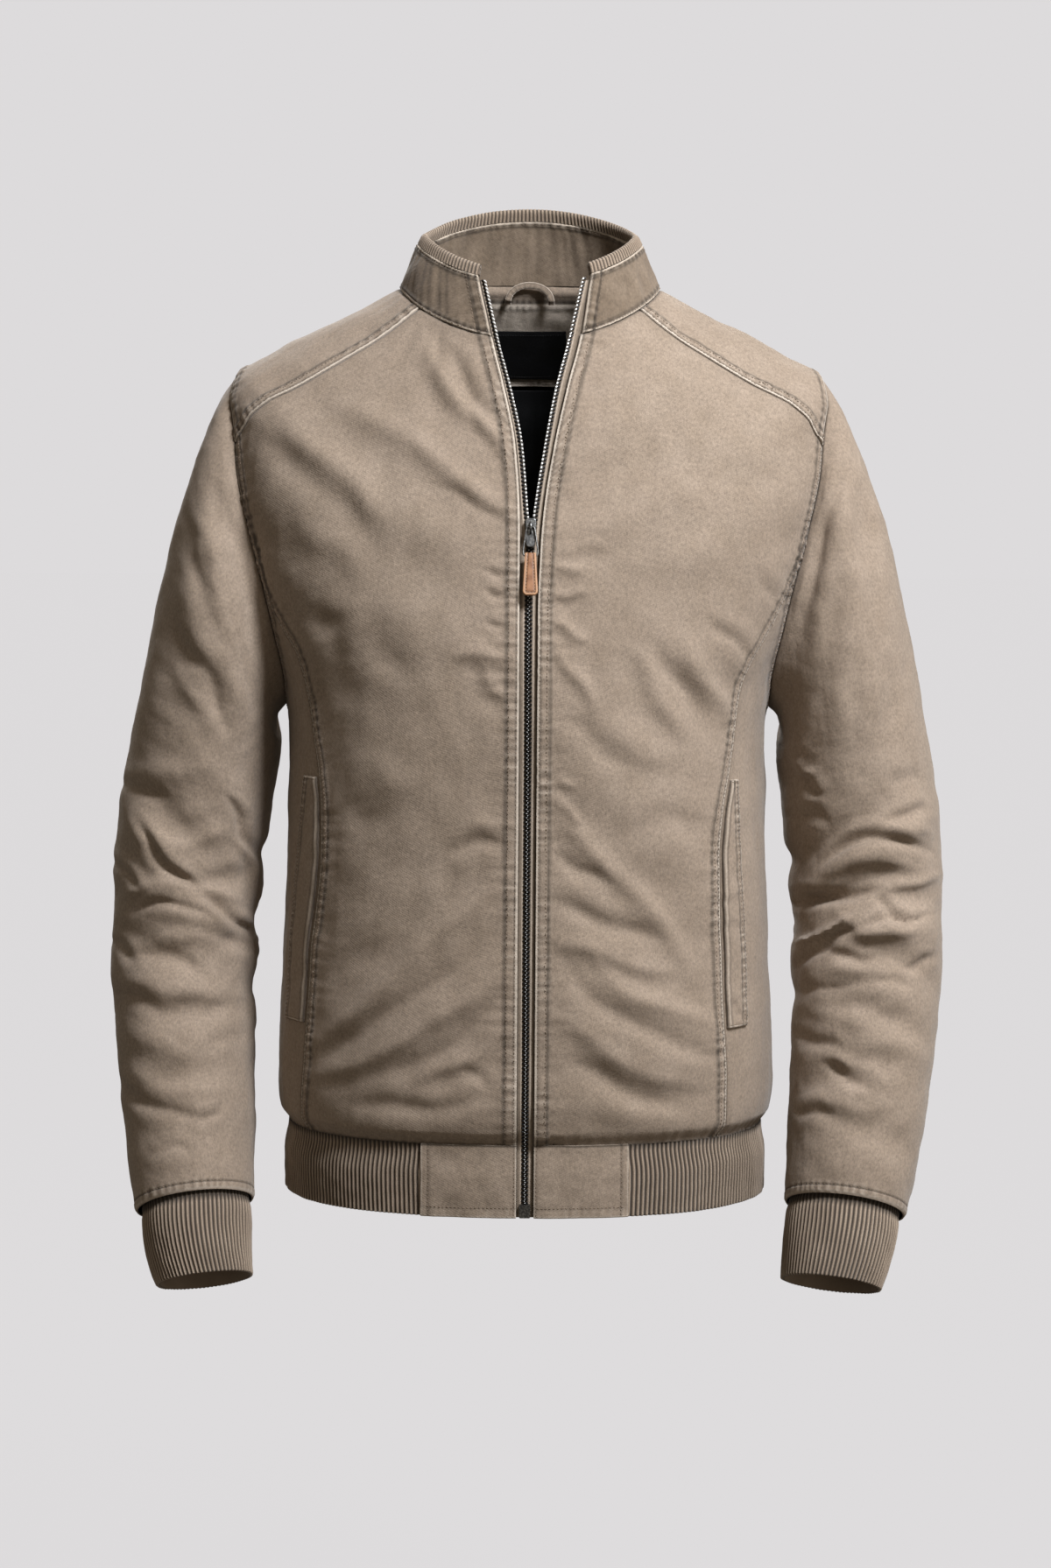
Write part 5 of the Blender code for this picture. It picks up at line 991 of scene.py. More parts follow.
def shell(name, outside, inside, normals, materials, looks=None, closed=False, every=4):
    """Closed thin shell: a fine outer grid, a sparser inner one, and rims between them."""
    rows, columns = outside.shape[:2]
    row_picks, column_picks = picks(rows, every), picks(columns, every, closed)
    inside = inside[np.ix_(row_picks, column_picks)]
    extra = len(row_picks) * len(column_picks)
    outer = np.arange(rows * columns).reshape(rows, columns)
    inner = rows * columns + np.arange(extra).reshape(inside.shape[:2])
    outer_faces, inner_faces = grid_quads(outer, closed), grid_quads(inner, closed)[:, ::-1]
    rims = []
    stops = column_picks + [columns] if closed else column_picks
    for row, turn_round in ((0, False), (-1, True)):
        again = slice(0, 1 if closed else 0)
        rims += rim(np.append(outer[row], outer[row, again]), np.append(inner[row], inner[row, again]),
                    stops, turn_round)
    if not closed:
        for column, turn_round in ((0, True), (-1, False)):
            rims += rim(outer[:, column], inner[:, column], row_picks, turn_round)
    points = np.concatenate([outside.reshape(-1, 3), inside.reshape(-1, 3)])
    faces = outer_faces.tolist() + inner_faces.tolist() + rims
    sample = outer_faces[len(outer_faces) // 2]
    corner = points[sample]
    facing = np.cross(corner[2] - corner[0], corner[3] - corner[1])
    if facing @ normals.reshape(-1, 3)[sample[0]] < 0.0:
        faces = [face[::-1] for face in faces]
    lining = min(1, len(materials) - 1)
    face_slots = [0] * len(outer_faces) + [lining] * len(inner_faces) + [0] * len(rims)
    piece = meshed(name, points, faces, materials, face_slots, 60.0)
    wear_and_painted_light, painted_shade = looks if looks is not None else np.zeros((2, rows, columns))
    across = np.linalg.norm(np.diff(outside, axis=1, prepend=outside[:, :1]), axis=2).cumsum(axis=1)
    along = np.linalg.norm(np.diff(outside, axis=0, prepend=outside[:1]), axis=2).cumsum(axis=0)
    cloth = np.stack([across, along, np.zeros_like(across)], axis=-1) * MM
    # The first attribute holds pale worn edges and painted highlight, the second painted shade in grooves and
    # hollows.
    for label, kind, field, values in (("wear_and_painted_light", "FLOAT", "value", np.clip(wear_and_painted_light, 0.0, 1.0)),
                                       ("painted_shade", "FLOAT", "value", np.clip(painted_shade, 0.0, 1.0)),
                                       ("cloth", "FLOAT_VECTOR", "vector", cloth)):
        hidden = np.zeros(extra * (values.size // (rows * columns)))
        attribute = piece.data.attributes.new(label, kind, "POINT")
        attribute.data.foreach_set(field, np.concatenate([values.ravel(), hidden]).astype(np.float32))
    return piece


def cloth_piece(kind, name, outside, inside, normals, slot, materials, looks=None, closed=False,
                every=4):
    """A piece as a shell in its solid's place, its outside kept for what is sewn on."""
    piece = shell(kind + "_" + name, outside, inside, normals, materials, looks, closed, every)
    fresh = grid_normals(outside, closed)
    fresh = np.where((fresh * normals).sum(axis=-1, keepdims=True) < 0.0, -fresh, fresh)
    SURFACES[name] = (outside.reshape(-1, 3), fresh.reshape(-1, 3))
    placed_on(piece, slot, name)


def body_cloth(name, grid, seams):
    """One cut piece of the body: form, creases, seams and lining."""
    around, level = grid[..., 0], grid[..., 1]
    form = body_surface(around, level)
    normals = normals_of(body_surface, around, level)
    height, wear_and_painted_light, painted_shade = seam_relief(form, seams)
    calm = math.prod(0.25 + 0.75 * ramp(near(form, line)[0], 0.0, 11.0) for line, _, _ in seams)
    folds = wrinkles(form, normals, FRONT_CREASES, BACK_CREASES, BODY_SEED) * calm
    folds = folds * ramp(form[..., 2] - normals[..., 2], HEM_SEAM - 4.0, HEM_SEAM + 14.0)
    outside = form + normals * (height + folds)[..., None]
    inside = form + normals * (lowest(folds, 3) - CLOTH)[..., None]
    cloth_piece("cloth", name, outside, inside, normals, "twill", (twill, lining_black), (wear_and_painted_light, painted_shade))
    SEWN[name] = seams


# ---------------------------------------------------------------- materials
def plug(tree, made, inputs):
    """Link or set a node's sockets; a colour may be given without its alpha."""
    for key, value in inputs.items():
        socket = made.inputs[key]
        if isinstance(value, bpy.types.NodeSocket):
            tree.links.new(value, socket)
        else:
            socket.default_value = (*value, 1.0) if socket.type == "RGBA" and len(value) == 3 else value


def node(tree, kind, inputs={}, **settings):
    made = tree.nodes.new(kind)
    for key, value in settings.items():
        setattr(made, key, value)
    plug(tree, made, inputs)
    return made


def material_parts(name):
    """A new material, its tree and shader, and coordinates that stay with the object."""
    material = bpy.data.materials.new(name)
    material.use_nodes = True
    tree = material.node_tree
    return material, tree, tree.nodes["Principled BSDF"], node(tree, "ShaderNodeTexCoord").outputs["Object"]


def noise(tree, where, scale, detail=3.0, rough=0.55):
    return node(tree, "ShaderNodeTexNoise",
                {"Vector": where, "Scale": scale, "Detail": detail, "Roughness": rough}).outputs["Fac"]


def stretched(tree, where, turn, stretch):
    """Coordinates turned and squeezed, so that noise on them runs in streaks."""
    return node(tree, "ShaderNodeMapping", {"Vector": where, "Rotation": (0.0, 0.0, math.radians(turn)),
                                            "Scale": stretch}).outputs["Vector"]


def attribute(tree, name, output="Fac"):
    return node(tree, "ShaderNodeAttribute", attribute_name=name).outputs[output]


def sums(tree, operation, a, b, clamp=False):
    return node(tree, "ShaderNodeMath", {0: a, 1: b}, operation=operation, use_clamp=clamp).outputs[0]


def fit(tree, value, low, high, to_low, to_high):
    return node(tree, "ShaderNodeMapRange", {"Value": value, "From Min": low, "From Max": high,
                                             "To Min": to_low, "To Max": to_high}).outputs["Result"]


def blend(tree, share, first, second):
    return node(tree, "ShaderNodeMix", {0: share, 6: first, 7: second}, data_type="RGBA").outputs[2]


def scaled(tree, colour, share):
    return node(tree, "ShaderNodeVectorMath", {0: colour, "Scale": share}, operation="SCALE").outputs["Vector"]


def marked(tree, shade, *marks):
    """A colour with others laid over it where an attribute says so: (attribute, strength, colour)."""
    for name, strength, colour in marks:
        shade = blend(tree, sums(tree, "MULTIPLY", attribute(tree, name), strength), shade, colour)
    return shade


def bumped(tree, shader, *layers):
    """Chain of bumps, each (height, depth in mm, strength)."""
    last = {}
    for height, depth, strength in layers:
        made = node(tree, "ShaderNodeBump", {"Height": height, "Distance": depth * MM, "Strength": strength, **last})
        last = {"Normal": made.outputs["Normal"]}
    plug(tree, shader, last)


def cloth_material(name, colour, deep, wear_and_light_colour, cloud=1.0):
    """Washed, piece-dyed cotton: mottled dye, fine twill, worn pale edges with painted highlight, and painted shade
    in grooves.
    """
    material, tree, shader, place = material_parts(name)
    cloth = attribute(tree, "cloth", "Vector")
    cloudy = sums(tree, "ADD", noise(tree, place, 16.0, 4.0), noise(tree, place, 62.0, 4.0))
    fine = noise(tree, place, 430.0, 4.0, 0.72)
    yarn = noise(tree, stretched(tree, cloth, 52.0, (1.0, 0.22, 1.0)), 1500.0, 1.0)
    base = blend(tree, fit(tree, cloudy, 0.65, 1.35, 0.5 - 0.5 * cloud, 0.5 + 0.5 * cloud), deep, colour)
    speckle = sums(tree, "ADD", fit(tree, fine, 0.3, 0.7, 0.78, 1.22), fit(tree, yarn, 0.25, 0.75, -0.13, 0.13))
    # pale worn edges and painted highlight, blended towards the pale colour
    wear_and_light_share = sums(tree, "MULTIPLY", attribute(tree, "wear_and_painted_light"), fit(tree, fine, 0.3, 0.6, 0.6, 1.0))
    shade = blend(tree, sums(tree, "MULTIPLY", wear_and_light_share, 0.8), scaled(tree, base, speckle), wear_and_light_colour)
    # painted shade: the marked places darkened towards a dim share of the deep colour
    shade = marked(tree, shade, ("painted_shade", 0.9, tuple(0.16 * c for c in deep)))
    plug(tree, shader, {"Base Color": shade, "Roughness": fit(tree, fine, 0.3, 0.7, 0.84, 0.96),
                        "Specular IOR Level": 0.22, "Sheen Weight": 0.14, "Sheen Roughness": 0.5})
    ribs = node(tree, "ShaderNodeTexWave", {"Vector": stretched(tree, cloth, 63.0, (1.0, 1.0, 1.0)), "Scale": 210.0,
                                            "Distortion": 1.2, "Detail": 1.0, "Detail Scale": 4.0}).outputs["Fac"]
    bumped(tree, shader, (noise(tree, place, 48.0, 3.0, 0.5), 1.3, 0.34), (noise(tree, place, 130.0), 0.6, 0.4),
           (fine, 0.5, 0.45), (ribs, 0.12, 0.35), (yarn, 0.18, 0.5))
    return material


def knit_material(name, colour, deep, wear_and_light_colour):
    """Rib knit: small loops, painted shade in the grooves, and pale marks of wear and painted highlight."""
    material, tree, shader, place = material_parts(name)
    loops = noise(tree, stretched(tree, attribute(tree, "cloth", "Vector"), 0.0, (1.0, 1.7, 1.0)), 900.0, 2.0)
    base = blend(tree, fit(tree, noise(tree, place, 30.0), 0.35, 0.65, 0.0, 1.0), deep, colour)
    # pale marks of wear and painted highlight, and painted shade in the grooves
    shade = marked(tree, scaled(tree, base, fit(tree, loops, 0.25, 0.75, 0.7, 1.3)),
                   ("wear_and_painted_light", 0.5, wear_and_light_colour), ("painted_shade", 0.95, tuple(0.1 * c for c in deep)))
    plug(tree, shader, {"Base Color": shade, "Roughness": 0.93, "Specular IOR Level": 0.2, "Sheen Weight": 0.15})
    bumped(tree, shader, (loops, 0.35, 0.6))
    return material


def dark_cloth(name, colour, rough, grain):
    """Plain lining, label or thread: soft unevenness and fine fibre."""
    material, tree, shader, place = material_parts(name)
    fibre, soft = noise(tree, place, 900.0, 2.0), noise(tree, place, 40.0)
    shade = scaled(tree, colour, fit(tree, sums(tree, "ADD", fibre, soft), 0.7, 1.3, 0.7, 1.35))
    plug(tree, shader, {"Base Color": shade, "Roughness": rough, "Specular IOR Level": 0.3})
    bumped(tree, shader, (soft, 1.0, 0.3), (fibre, 0.15 * grain, 0.5))
    return material


def metal(name, colour, rough, wear, metallic=1.0):
    material, tree, shader, place = material_parts(name)
    scratch = noise(tree, stretched(tree, place, 35.0, (1.0, 12.0, 1.0)), 900.0, 2.0)
    shade = blend(tree, fit(tree, noise(tree, place, 700.0, 4.0), 0.45, 0.7, 0.0, 1.0), colour, wear)
    plug(tree, shader, {"Base Color": shade, "Metallic": metallic,
                        "Roughness": fit(tree, scratch, 0.3, 0.7, rough - 0.08, rough + 0.12)})
    bumped(tree, shader, (scratch, 0.05, 0.4))
    return material


def leather_material(name, colour, deep, wear_and_light_colour, painted_groove_shade):
    material, tree, shader, place = material_parts(name)
    cloudy = noise(tree, place, 160.0, 4.0)
    pores = node(tree, "ShaderNodeTexVoronoi", {"Vector": place, "Scale": 1900.0}).outputs["Distance"]
    # pale edges, and painted shade along the stitch groove
    shade = marked(tree, blend(tree, fit(tree, cloudy, 0.35, 0.65, 0.0, 1.0), deep, colour),
                   ("wear_and_painted_light", 0.7, wear_and_light_colour), ("painted_shade", 0.9, painted_groove_shade))
    plug(tree, shader, {"Base Color": shade, "Roughness": fit(tree, cloudy, 0.3, 0.7, 0.42, 0.6)})
    bumped(tree, shader, (cloudy, 0.3, 0.3), (pores, 0.12, 0.5))
    return material


# Colours: of the cloth, of its deeper clouds, and of its pale marks, worn edges with painted highlight; the leather's
# last colour is painted shade in its stitch groove.
twill = cloth_material("washed_twill", (0.305, 0.240, 0.184), (0.255, 0.197, 0.146), (0.74, 0.65, 0.545))
collar_twill = cloth_material("collar_twill", (0.205, 0.156, 0.112), (0.15, 0.111, 0.076), (0.62, 0.53, 0.43))
tape_twill = cloth_material("zip_tape", (0.26, 0.205, 0.155), (0.19, 0.147, 0.107), (0.48, 0.40, 0.32), 0.5)
rib_knit = knit_material("rib_knit", (0.36, 0.28, 0.21), (0.29, 0.222, 0.163), (0.60, 0.50, 0.40))
lining_black = dark_cloth("lining", (0.0075, 0.0078, 0.0085), 0.62, 1.0)
label_black = dark_cloth("label_satin", (0.006, 0.006, 0.0065), 0.45, 2.0)
thread = dark_cloth("thread", (0.19, 0.14, 0.10), 0.8, 3.0)
thread_tan = dark_cloth("thread_tan", (0.42, 0.25, 0.13), 0.7, 3.0)
thread_black = dark_cloth("thread_black", (0.02, 0.02, 0.021), 0.6, 3.0)
gunmetal = metal("gunmetal", (0.10, 0.10, 0.10), 0.36, (0.30, 0.295, 0.28))
# the teeth are one metal in two copies: pale for painted highlight on the heads, near-black for painted shade on the
# bodies
tooth_highlight_metal = metal("tooth_highlight_metal", (0.80, 0.79, 0.76), 0.42, (0.92, 0.91, 0.88), 0.3)
tooth_shade_metal = metal("tooth_shade_metal", (0.02, 0.02, 0.021), 0.5, (0.06, 0.06, 0.06))
silver_metal = metal("silver_metal", (0.13, 0.128, 0.124), 0.34, (0.34, 0.335, 0.32))
leather = leather_material("leather", (0.34, 0.158, 0.070), (0.20, 0.080, 0.032), (0.62, 0.36, 0.20),
                           (0.05, 0.018, 0.008))


# ---------------------------------------------------------------- body pieces
def front_grid(side):
    turn = turned(side)
    u = shares(168.0, 2.3, (NECK_CORNER,))
    v = shares(612.0, 2.3, (PRINCESS_CORNER,))
    outer = turn(joined(v, PRINCESS_CORNER,
                        lambda share: princess_at(side, between(HEM_SEAM, PRINCESS_TOP, share)),
                        lambda share: armhole_at(FRONT_ARMHOLE, between(PRINCESS_SHARE, FRONT_YOKE_SHARE, share))))
    inner = front_edge(side, between(HEM_SEAM, 0.0, v))
    neck_end = turn(yoke_at(FRONT_YOKE_SEAM, np.zeros(1)))[0][0]
    top = joined(u, NECK_CORNER, lambda share: spots(between(inner[-1][0], neck_end, share), 0.0),
                 lambda share: turn(yoke_at(FRONT_YOKE_SEAM, FRONT_YOKE_SEAM[0][0] * share)))
    bottom = spots(between(inner[0][0], outer[0][0], u), HEM_SEAM)
    return patch(bottom, top, inner, outer, u, v, FRONT)


def side_grid(side):
    u, v = shares(120.0, 2.4), shares(330.0, 2.4)
    levels = between(HEM_SEAM, PRINCESS_TOP, v)
    inner = princess_at(side, levels)
    top = armhole_at(FRONT_ARMHOLE, between(PRINCESS_SHARE, 1.0, u))
    outer = spots(SIDE, between(HEM_SEAM, UNDERARM_LEVEL, v))
    bottom = spots(between(inner[0][0], SIDE, u), HEM_SEAM)
    return turned(side)(patch(bottom, top, inner, outer, u, v, SIDE))


def back_grid():
    u = shares(520.0, 2.7, (0.3, 0.7))
    v = shares(600.0, 2.6, (UNDERARM_CORNER,))
    inner = joined(v, UNDERARM_CORNER, lambda share: spots(SIDE, between(HEM_SEAM, UNDERARM_LEVEL, share)),
                   lambda share: armhole_at(BACK_ARMHOLE, between(1.0, BACK_YOKE_SHARE, share)))
    half = u[u <= 0.5] * 2.0
    first = joined(half, 0.6, lambda share: yoke_at(BACK_YOKE_SEAM, between(BACK_YOKE_SEAM[0][0], 0.0, share)),
                   lambda share: spots(between(BACK_YOKE_SEAM[-1][1], BACK, share), 0.0))
    middle = int(half[-1] == 1.0)
    top = np.concatenate([first, flipped(first[::-1])[middle:]])
    u = np.concatenate([half / 2.0, 1.0 - half[::-1][middle:] / 2.0])
    bottom = spots(between(SIDE, 360.0 - SIDE, u), HEM_SEAM)
    return patch(bottom, top, inner, flipped(inner), u, v, BACK)


def yoke_grid(side):
    u = shares(135.0, 2.3)
    v = shares(200.0, 2.3, (SHOULDER_CORNER,))
    front, back = (yoke_at(table, table[0][0] * u) for table in (FRONT_YOKE_SEAM, BACK_YOKE_SEAM))
    outer = joined(v, SHOULDER_CORNER,
                   lambda share: armhole_at(FRONT_ARMHOLE, between(FRONT_YOKE_SHARE, 0.0, share)),
                   lambda share: armhole_at(BACK_ARMHOLE, between(0.0, BACK_YOKE_SHARE, share)))
    inner = spots(between(front[0][0], back[0][0], v), 0.0)
    outer[0] = front[-1]
    return turned(side)(patch(front, back, inner, outer, u, v, SIDE))


def seams_of(seed, *lines):
    """Seams of a piece as (line, look, seed), each with a seed of its own."""
    return [(line, look, seed + index) for index, (look, line) in enumerate(lines)]


def dress_front(side, seed, neck, hem):
    armhole = armhole_line(FRONT_ARMHOLE, PRINCESS_SHARE, FRONT_YOKE_SHARE, turned(side))
    seams = seams_of(seed, ("zip", zip_line(side)), ("double", princess_line(side)), ("double", armhole),
                     ("under", yoke_line(FRONT_YOKE_SEAM, side)), ("under", neck_line(*neck)),
                     ("hem", hem_line(*hem)))
    body_cloth("front_" + side, front_grid(side), seams)


def dress_side(side, seed):
    sign = SIGNS[side]
    seams = seams_of(seed, ("under", princess_line(side)),
                     ("double", armhole_line(FRONT_ARMHOLE, PRINCESS_SHARE, 1.0, turned(side))),
                     ("plain", side_seam(side)), ("hem", hem_line(sign * 48.0, sign * 92.0)))
    body_cloth("front_side_" + side, side_grid(side), seams)


def dress_back(seed):
    yoke = yoke_at(BACK_YOKE_SEAM, np.linspace(0.0, BACK_YOKE_SEAM[0][0], 260))
    neck_from = BACK_YOKE_SEAM[-1][1]
    seams = seams_of(seed, ("plain", side_seam("right")), ("plain", side_seam("left")),
                     ("double", armhole_line(BACK_ARMHOLE, 1.0, BACK_YOKE_SHARE, same)),
                     ("double", armhole_line(BACK_ARMHOLE, 1.0, BACK_YOKE_SHARE, flipped)),
                     ("under", on_body(yoke)), ("under", on_body(flipped(yoke))),
                     ("under", neck_line(neck_from, 360.0 - neck_from)), ("hem", hem_line(SIDE, 360.0 - SIDE)))
    body_cloth("back", back_grid(), seams)


def dress_yoke(side, seed):
    sign = SIGNS[side]
    seams = seams_of(seed, ("double", yoke_line(FRONT_YOKE_SEAM, side)), ("double", yoke_line(BACK_YOKE_SEAM, side)),
                     ("double", shoulder_line(turned(side))))
    seams += seams_of(seed + 4, ("under", neck_line(sign * 57.0, sign * 124.0)))
    body_cloth("yoke_" + side, yoke_grid(side), seams)


# ---------------------------------------------------------------- sleeves
def dress_sleeve(side, seed):
    coarse, _, coarse_under = armhole_loop(side, SOLID_STEPS)
    middles = [ring.mean(axis=0) for ring in sleeve_rings(side, loop_turns(coarse, coarse_under))]
    loop, loop_normals, under = armhole_loop(side, FINE_STEPS)
    turns = loop_turns(loop, under)
    end = SLEEVE_RINGS[-1][0]
    along = shares(end, 2.5, zone=14.0) * end
    form = sleeve_form(side, turns, along, loop, coarse.mean(axis=0), middles)
    normals = face_out(grid_normals(form, True), form)
    form = form + normals * sleeve_fold_height(side, turns[None, :], along[:, None])[..., None]
    normals = face_out(grid_normals(form, True), form)
    normals[0] = loop_normals
    own, other = SLEEVE_CREASES[side], SLEEVE_CREASES["right" if side == "left" else "left"]
    hidden = [(-x1, z1, -x0, z0, bow, width, depth) for x0, z0, x1, z1, bow, width, depth in other]
    down = np.broadcast_to(along[:, None], form.shape[:2])
    from_end = end - down
    folds = SLEEVE_CREASE * wrinkles(form, normals, own, hidden, seed) * ramp(down, 0.0, 16.0)
    folds = folds * (0.2 + 0.8 * ramp(from_end, 0.0, 22.0))
    height, wear_and_painted_light, painted_shade = seam_relief(form, [(np.concatenate([form[0], form[:1, 0]]), "under", seed)])
    wave = ripple(np.broadcast_to(reach_along(form[-1]), down.shape), 6.4, seed + 5)
    window = ramp(from_end, 0.0, 2.5) * ramp(-from_end, -SLEEVE_HEM - 6.0, -SLEEVE_HEM + 1.0)
    under_seam = np.abs(turns[None, :] % 360.0 - 180.0)
    height = height + 0.34 * wave * window + 0.35 * ramp(-from_end, -SLEEVE_HEM, -SLEEVE_HEM + 1.5)
    height = height + bands({"end": from_end}, (("end", SLEEVE_HEM, ROW_TROUGH, -0.35), ("end", 0.0, 1.6, -1.0)))
    height = height - 0.3 * bump(under_seam, 0.9) * ramp(down, 2.0, 20.0)
    # pale worn edge at the sleeve's end and painted highlight on the pucker tops; painted shade in the hem's stitch
    # trough and the pucker hollows
    wear_and_painted_light = wear_and_painted_light + 0.6 * bump(from_end - 1.6, 1.1) + 0.45 * window * np.maximum(wave, 0.0)
    painted_shade = painted_shade + 0.9 * bump(from_end - SLEEVE_HEM, 1.0) + 0.4 * window * np.maximum(-wave, 0.0)
    outside = form + normals * (height + folds)[..., None]
    inside = form + normals * (lowest(folds, 4, True) - CLOTH)[..., None]
    cloth_piece("cloth", "sleeve_" + side, outside, inside, normals, "twill", (twill, lining_black),
                (wear_and_painted_light, painted_shade), closed=True)
    hem = outside[int(np.argmin(np.abs(along - (end - SLEEVE_HEM))))]
    SLEEVE_HEMS[side] = np.concatenate([hem, hem[:1]])


# ---------------------------------------------------------------- rib knit
def rib_shape(count):
    """Height of rounded ribs with narrow grooves, for evenly spread columns."""
    place = (np.arange(count) % RIB_STEPS) / RIB_STEPS
    return 1.0 - np.abs(2.0 * place - 1.0) ** 1.4


def rolled(from_edge):
    """How far a knit's outside turns in towards its folded edge."""
    left = np.clip(EDGE_ROUND - from_edge, 0.0, EDGE_ROUND)
    return EDGE_ROUND - np.sqrt(np.maximum(EDGE_ROUND ** 2 - left ** 2, 0.0))


def knit_rows(height):
    return np.concatenate([[0.0, 0.15, 0.4, 0.8, 1.3], np.linspace(4.0, height - 1.2, 14), [height]])


def knit_piece(name, form, normals, from_edge, from_seam, seed, closed):
    rib = np.broadcast_to(rib_shape(form.shape[1]), form.shape[:2])
    from_edge, from_seam = (np.broadcast_to(rows[:, None], rib.shape) for rows in (from_edge, from_seam))
    soft = wavers(form, seed, (0.5, 55.0), (0.22, 14.0))
    relief = (rib - 1.0) * RIB_RELIEF * (0.55 + 0.45 * ramp(from_seam, 0.0, 4.0)) - rolled(from_edge)
    relief = relief - 0.7 * bump(from_seam, 1.6) + soft
    # painted shade in the grooves between ribs and along the seam; painted highlight on the rib tops, and pale wear
    # near the folded edge
    painted_shade = (1.0 - rib) * 1.35 + 0.8 * bump(from_seam, 1.8)
    wear_and_painted_light = 0.3 * rib ** 3 + 0.35 * rib * ramp(-from_edge, -3.0, -0.6)
    cloth_piece("knit", name, form + normals * relief[..., None], form - normals * (KNIT - soft)[..., None],
                normals, "rib_knit", (rib_knit,), (wear_and_painted_light, painted_shade), closed, every=6)


def dress_cuff(side, seed):
    probe = sleeve_ring(CUFF_RINGS, side, np.linspace(0.0, 360.0, 200), np.full(200, 690.0))
    columns = int(round(reach_along(probe)[-1] / CUFF_RIB_PITCH)) * RIB_STEPS
    turns = np.arange(columns) * 360.0 / columns
    end = CUFF_END - CUFF_SHORTER
    along = end - knit_rows(end - CUFF_START)[::-1]
    drift = 0.9 * np.sin(along / 23.0 + seed) * (along - CUFF_START) / 80.0
    form = np.array([sleeve_ring(CUFF_RINGS, side, turns + shift, np.full(columns, place))
                     for place, shift in zip(along, drift)])
    normals = face_out(grid_normals(form, True), form)
    from_seam = np.maximum(along - CUFF_START - 7.0, 0.0)
    knit_piece("cuff_" + side, form, normals, end - along, from_seam, seed, True)


def even_angles(first, last, ring_at, pitch):
    """Angles that cut a ring into even steps of a rib's columns."""
    fine = np.linspace(first, last, 1201)
    reach = reach_along(ring_at(fine))
    count = int(round(reach[-1] / pitch)) * RIB_STEPS
    return np.interp(np.linspace(0.0, reach[-1], count + 1), reach, fine)


def dress_hem_rib(seed):
    start = float(around_at_x(HEM_EDGE, HEM_TAB_WIDTH)) - 0.15
    around = even_angles(start, 360.0 - start, lambda fine: body_form(fine, HEM_EDGE), HEM_RIB_PITCH)
    from_edge = knit_rows(HEM_SEAM - HEM_EDGE)
    levels = np.broadcast_to((HEM_EDGE + from_edge)[:, None], (len(from_edge), len(around)))
    angles = around + 0.12 * np.sin(from_edge / 17.0)[:, None] * np.sin(np.radians(around * 5.0))[None, :]
    normals = normals_of(body_form, angles, levels, 0.3)
    knit_piece("hem_rib", body_form(angles, levels), normals, from_edge, HEM_SEAM - HEM_EDGE - from_edge, seed,
               False)


def hem_tab_ends(side):
    """Where a plain end of the hem starts and ends, from the middle plane."""
    return float(on_side(FRONT_EDGES, side, HEM_EDGE)), SIGNS[side] * (HEM_TAB_WIDTH + 0.6)


def dress_hem_tab(side, seed):
    edge, side_end = hem_tab_ends(side)
    from_edge = np.concatenate([[0.0, 0.2, 0.5, 0.9, 1.4, 2.2], np.linspace(3.2, 48.0, 26), [49.5, 50.8, 51.8, 52.4]])
    x, down = np.meshgrid(between(edge, side_end, shares(66.0, 2.0, zone=6.0)), from_edge)
    levels = HEM_EDGE + down
    around = around_at_x(levels, x)
    form = body_form(around, levels)
    normals = normals_of(body_form, around, levels, 0.3)
    away = {"fold": down, "side": np.abs(side_end - x), "zip": np.abs(x - edge), "seam": HEM_SEAM - HEM_EDGE - down}
    wave = ripple(x, 6.0, seed)
    height = 1.0 - rolled(down) + wavers(form, seed + 2, (0.4, 30.0), (0.15, 11.0))
    height = height + bands(away, HEM_TAB_LIFT) + 0.25 * wave * ramp(-down, -10.0, -6.0)
    # pale worn edges, and painted highlight on the pucker tops near the fold
    wear_and_painted_light = bands(away, HEM_TAB_PALE) + 0.3 * np.maximum(wave, 0.0) * ramp(-down, -10.0, -7.0)
    # painted shade in the stitch rows and along the seam, and the whole tab a little darker
    cloth_piece("cloth", "hem_tab_" + side, form + normals * height[..., None], form - normals * 1.6, normals,
                "twill", (twill,), (wear_and_painted_light, bands(away, HEM_TAB_DARK) + 0.07))


# ---------------------------------------------------------------- collar
def dress_collar():
    u = shares(520.0, 1.9, zone=11.0)
    v = shares(66.0, 1.7, zone=5.0)
    inner_rises = between(COLLAR_LINING_START, 1.0, v)
    inner_depth = CLOTH + COLLAR_LINING_GAP
    for name, rises, inset, depth, thick, rests_on in (
            ("collar_outer", v, 0.0, 0.0, CLOTH, "back"),
            ("collar_inner", inner_rises, COLLAR_LINING_INSET, inner_depth, COLLAR_LINING, "collar_outer")):
        outer = name == "collar_outer"
        right, left = collar_ends(rises, inset)
        around = between(right[:, None], left[:, None], u[None, :])
        rise = np.broadcast_to(rises[:, None], around.shape)
        form = collar_ring(around, rise)
        normals = face_out(collar_normals(around, rise), form)
        form = form - normals * depth
        if not outer:
            form, normals = form - normals * thick, -normals
        seams = [(form[-1], "single", 91)]
        if outer:
            seams += [(form[0], "single", 90), (form[:, 0], "double", 92), (form[:, -1], "double", 93)]
        height, wear_and_painted_light, painted_shade = seam_relief(form, seams)
        run = np.broadcast_to(reach_along(form[0]), rise.shape)
        tucks = ripple(run, 12.0, 97) * 0.32 + ripple(run, 29.0, 98) * 0.5 + 0.7 * waver(form, 22.0, 99)
        lean = tucks * np.sin(np.pi * np.clip(rise, 0.02, 1.0)) ** 0.5
        outside = form + normals * (height + lean + 0.25 * waver(form, 17.0, 96))[..., None]
        inside = form + normals * (lean * 0.5 - thick)[..., None]
        # painted shade in the hollows of the tucks
        cloth_piece("cloth", name, outside, inside, normals, "twill", (collar_twill,),
                    (wear_and_painted_light, painted_shade + 0.12 * np.maximum(-tucks, 0.0)))


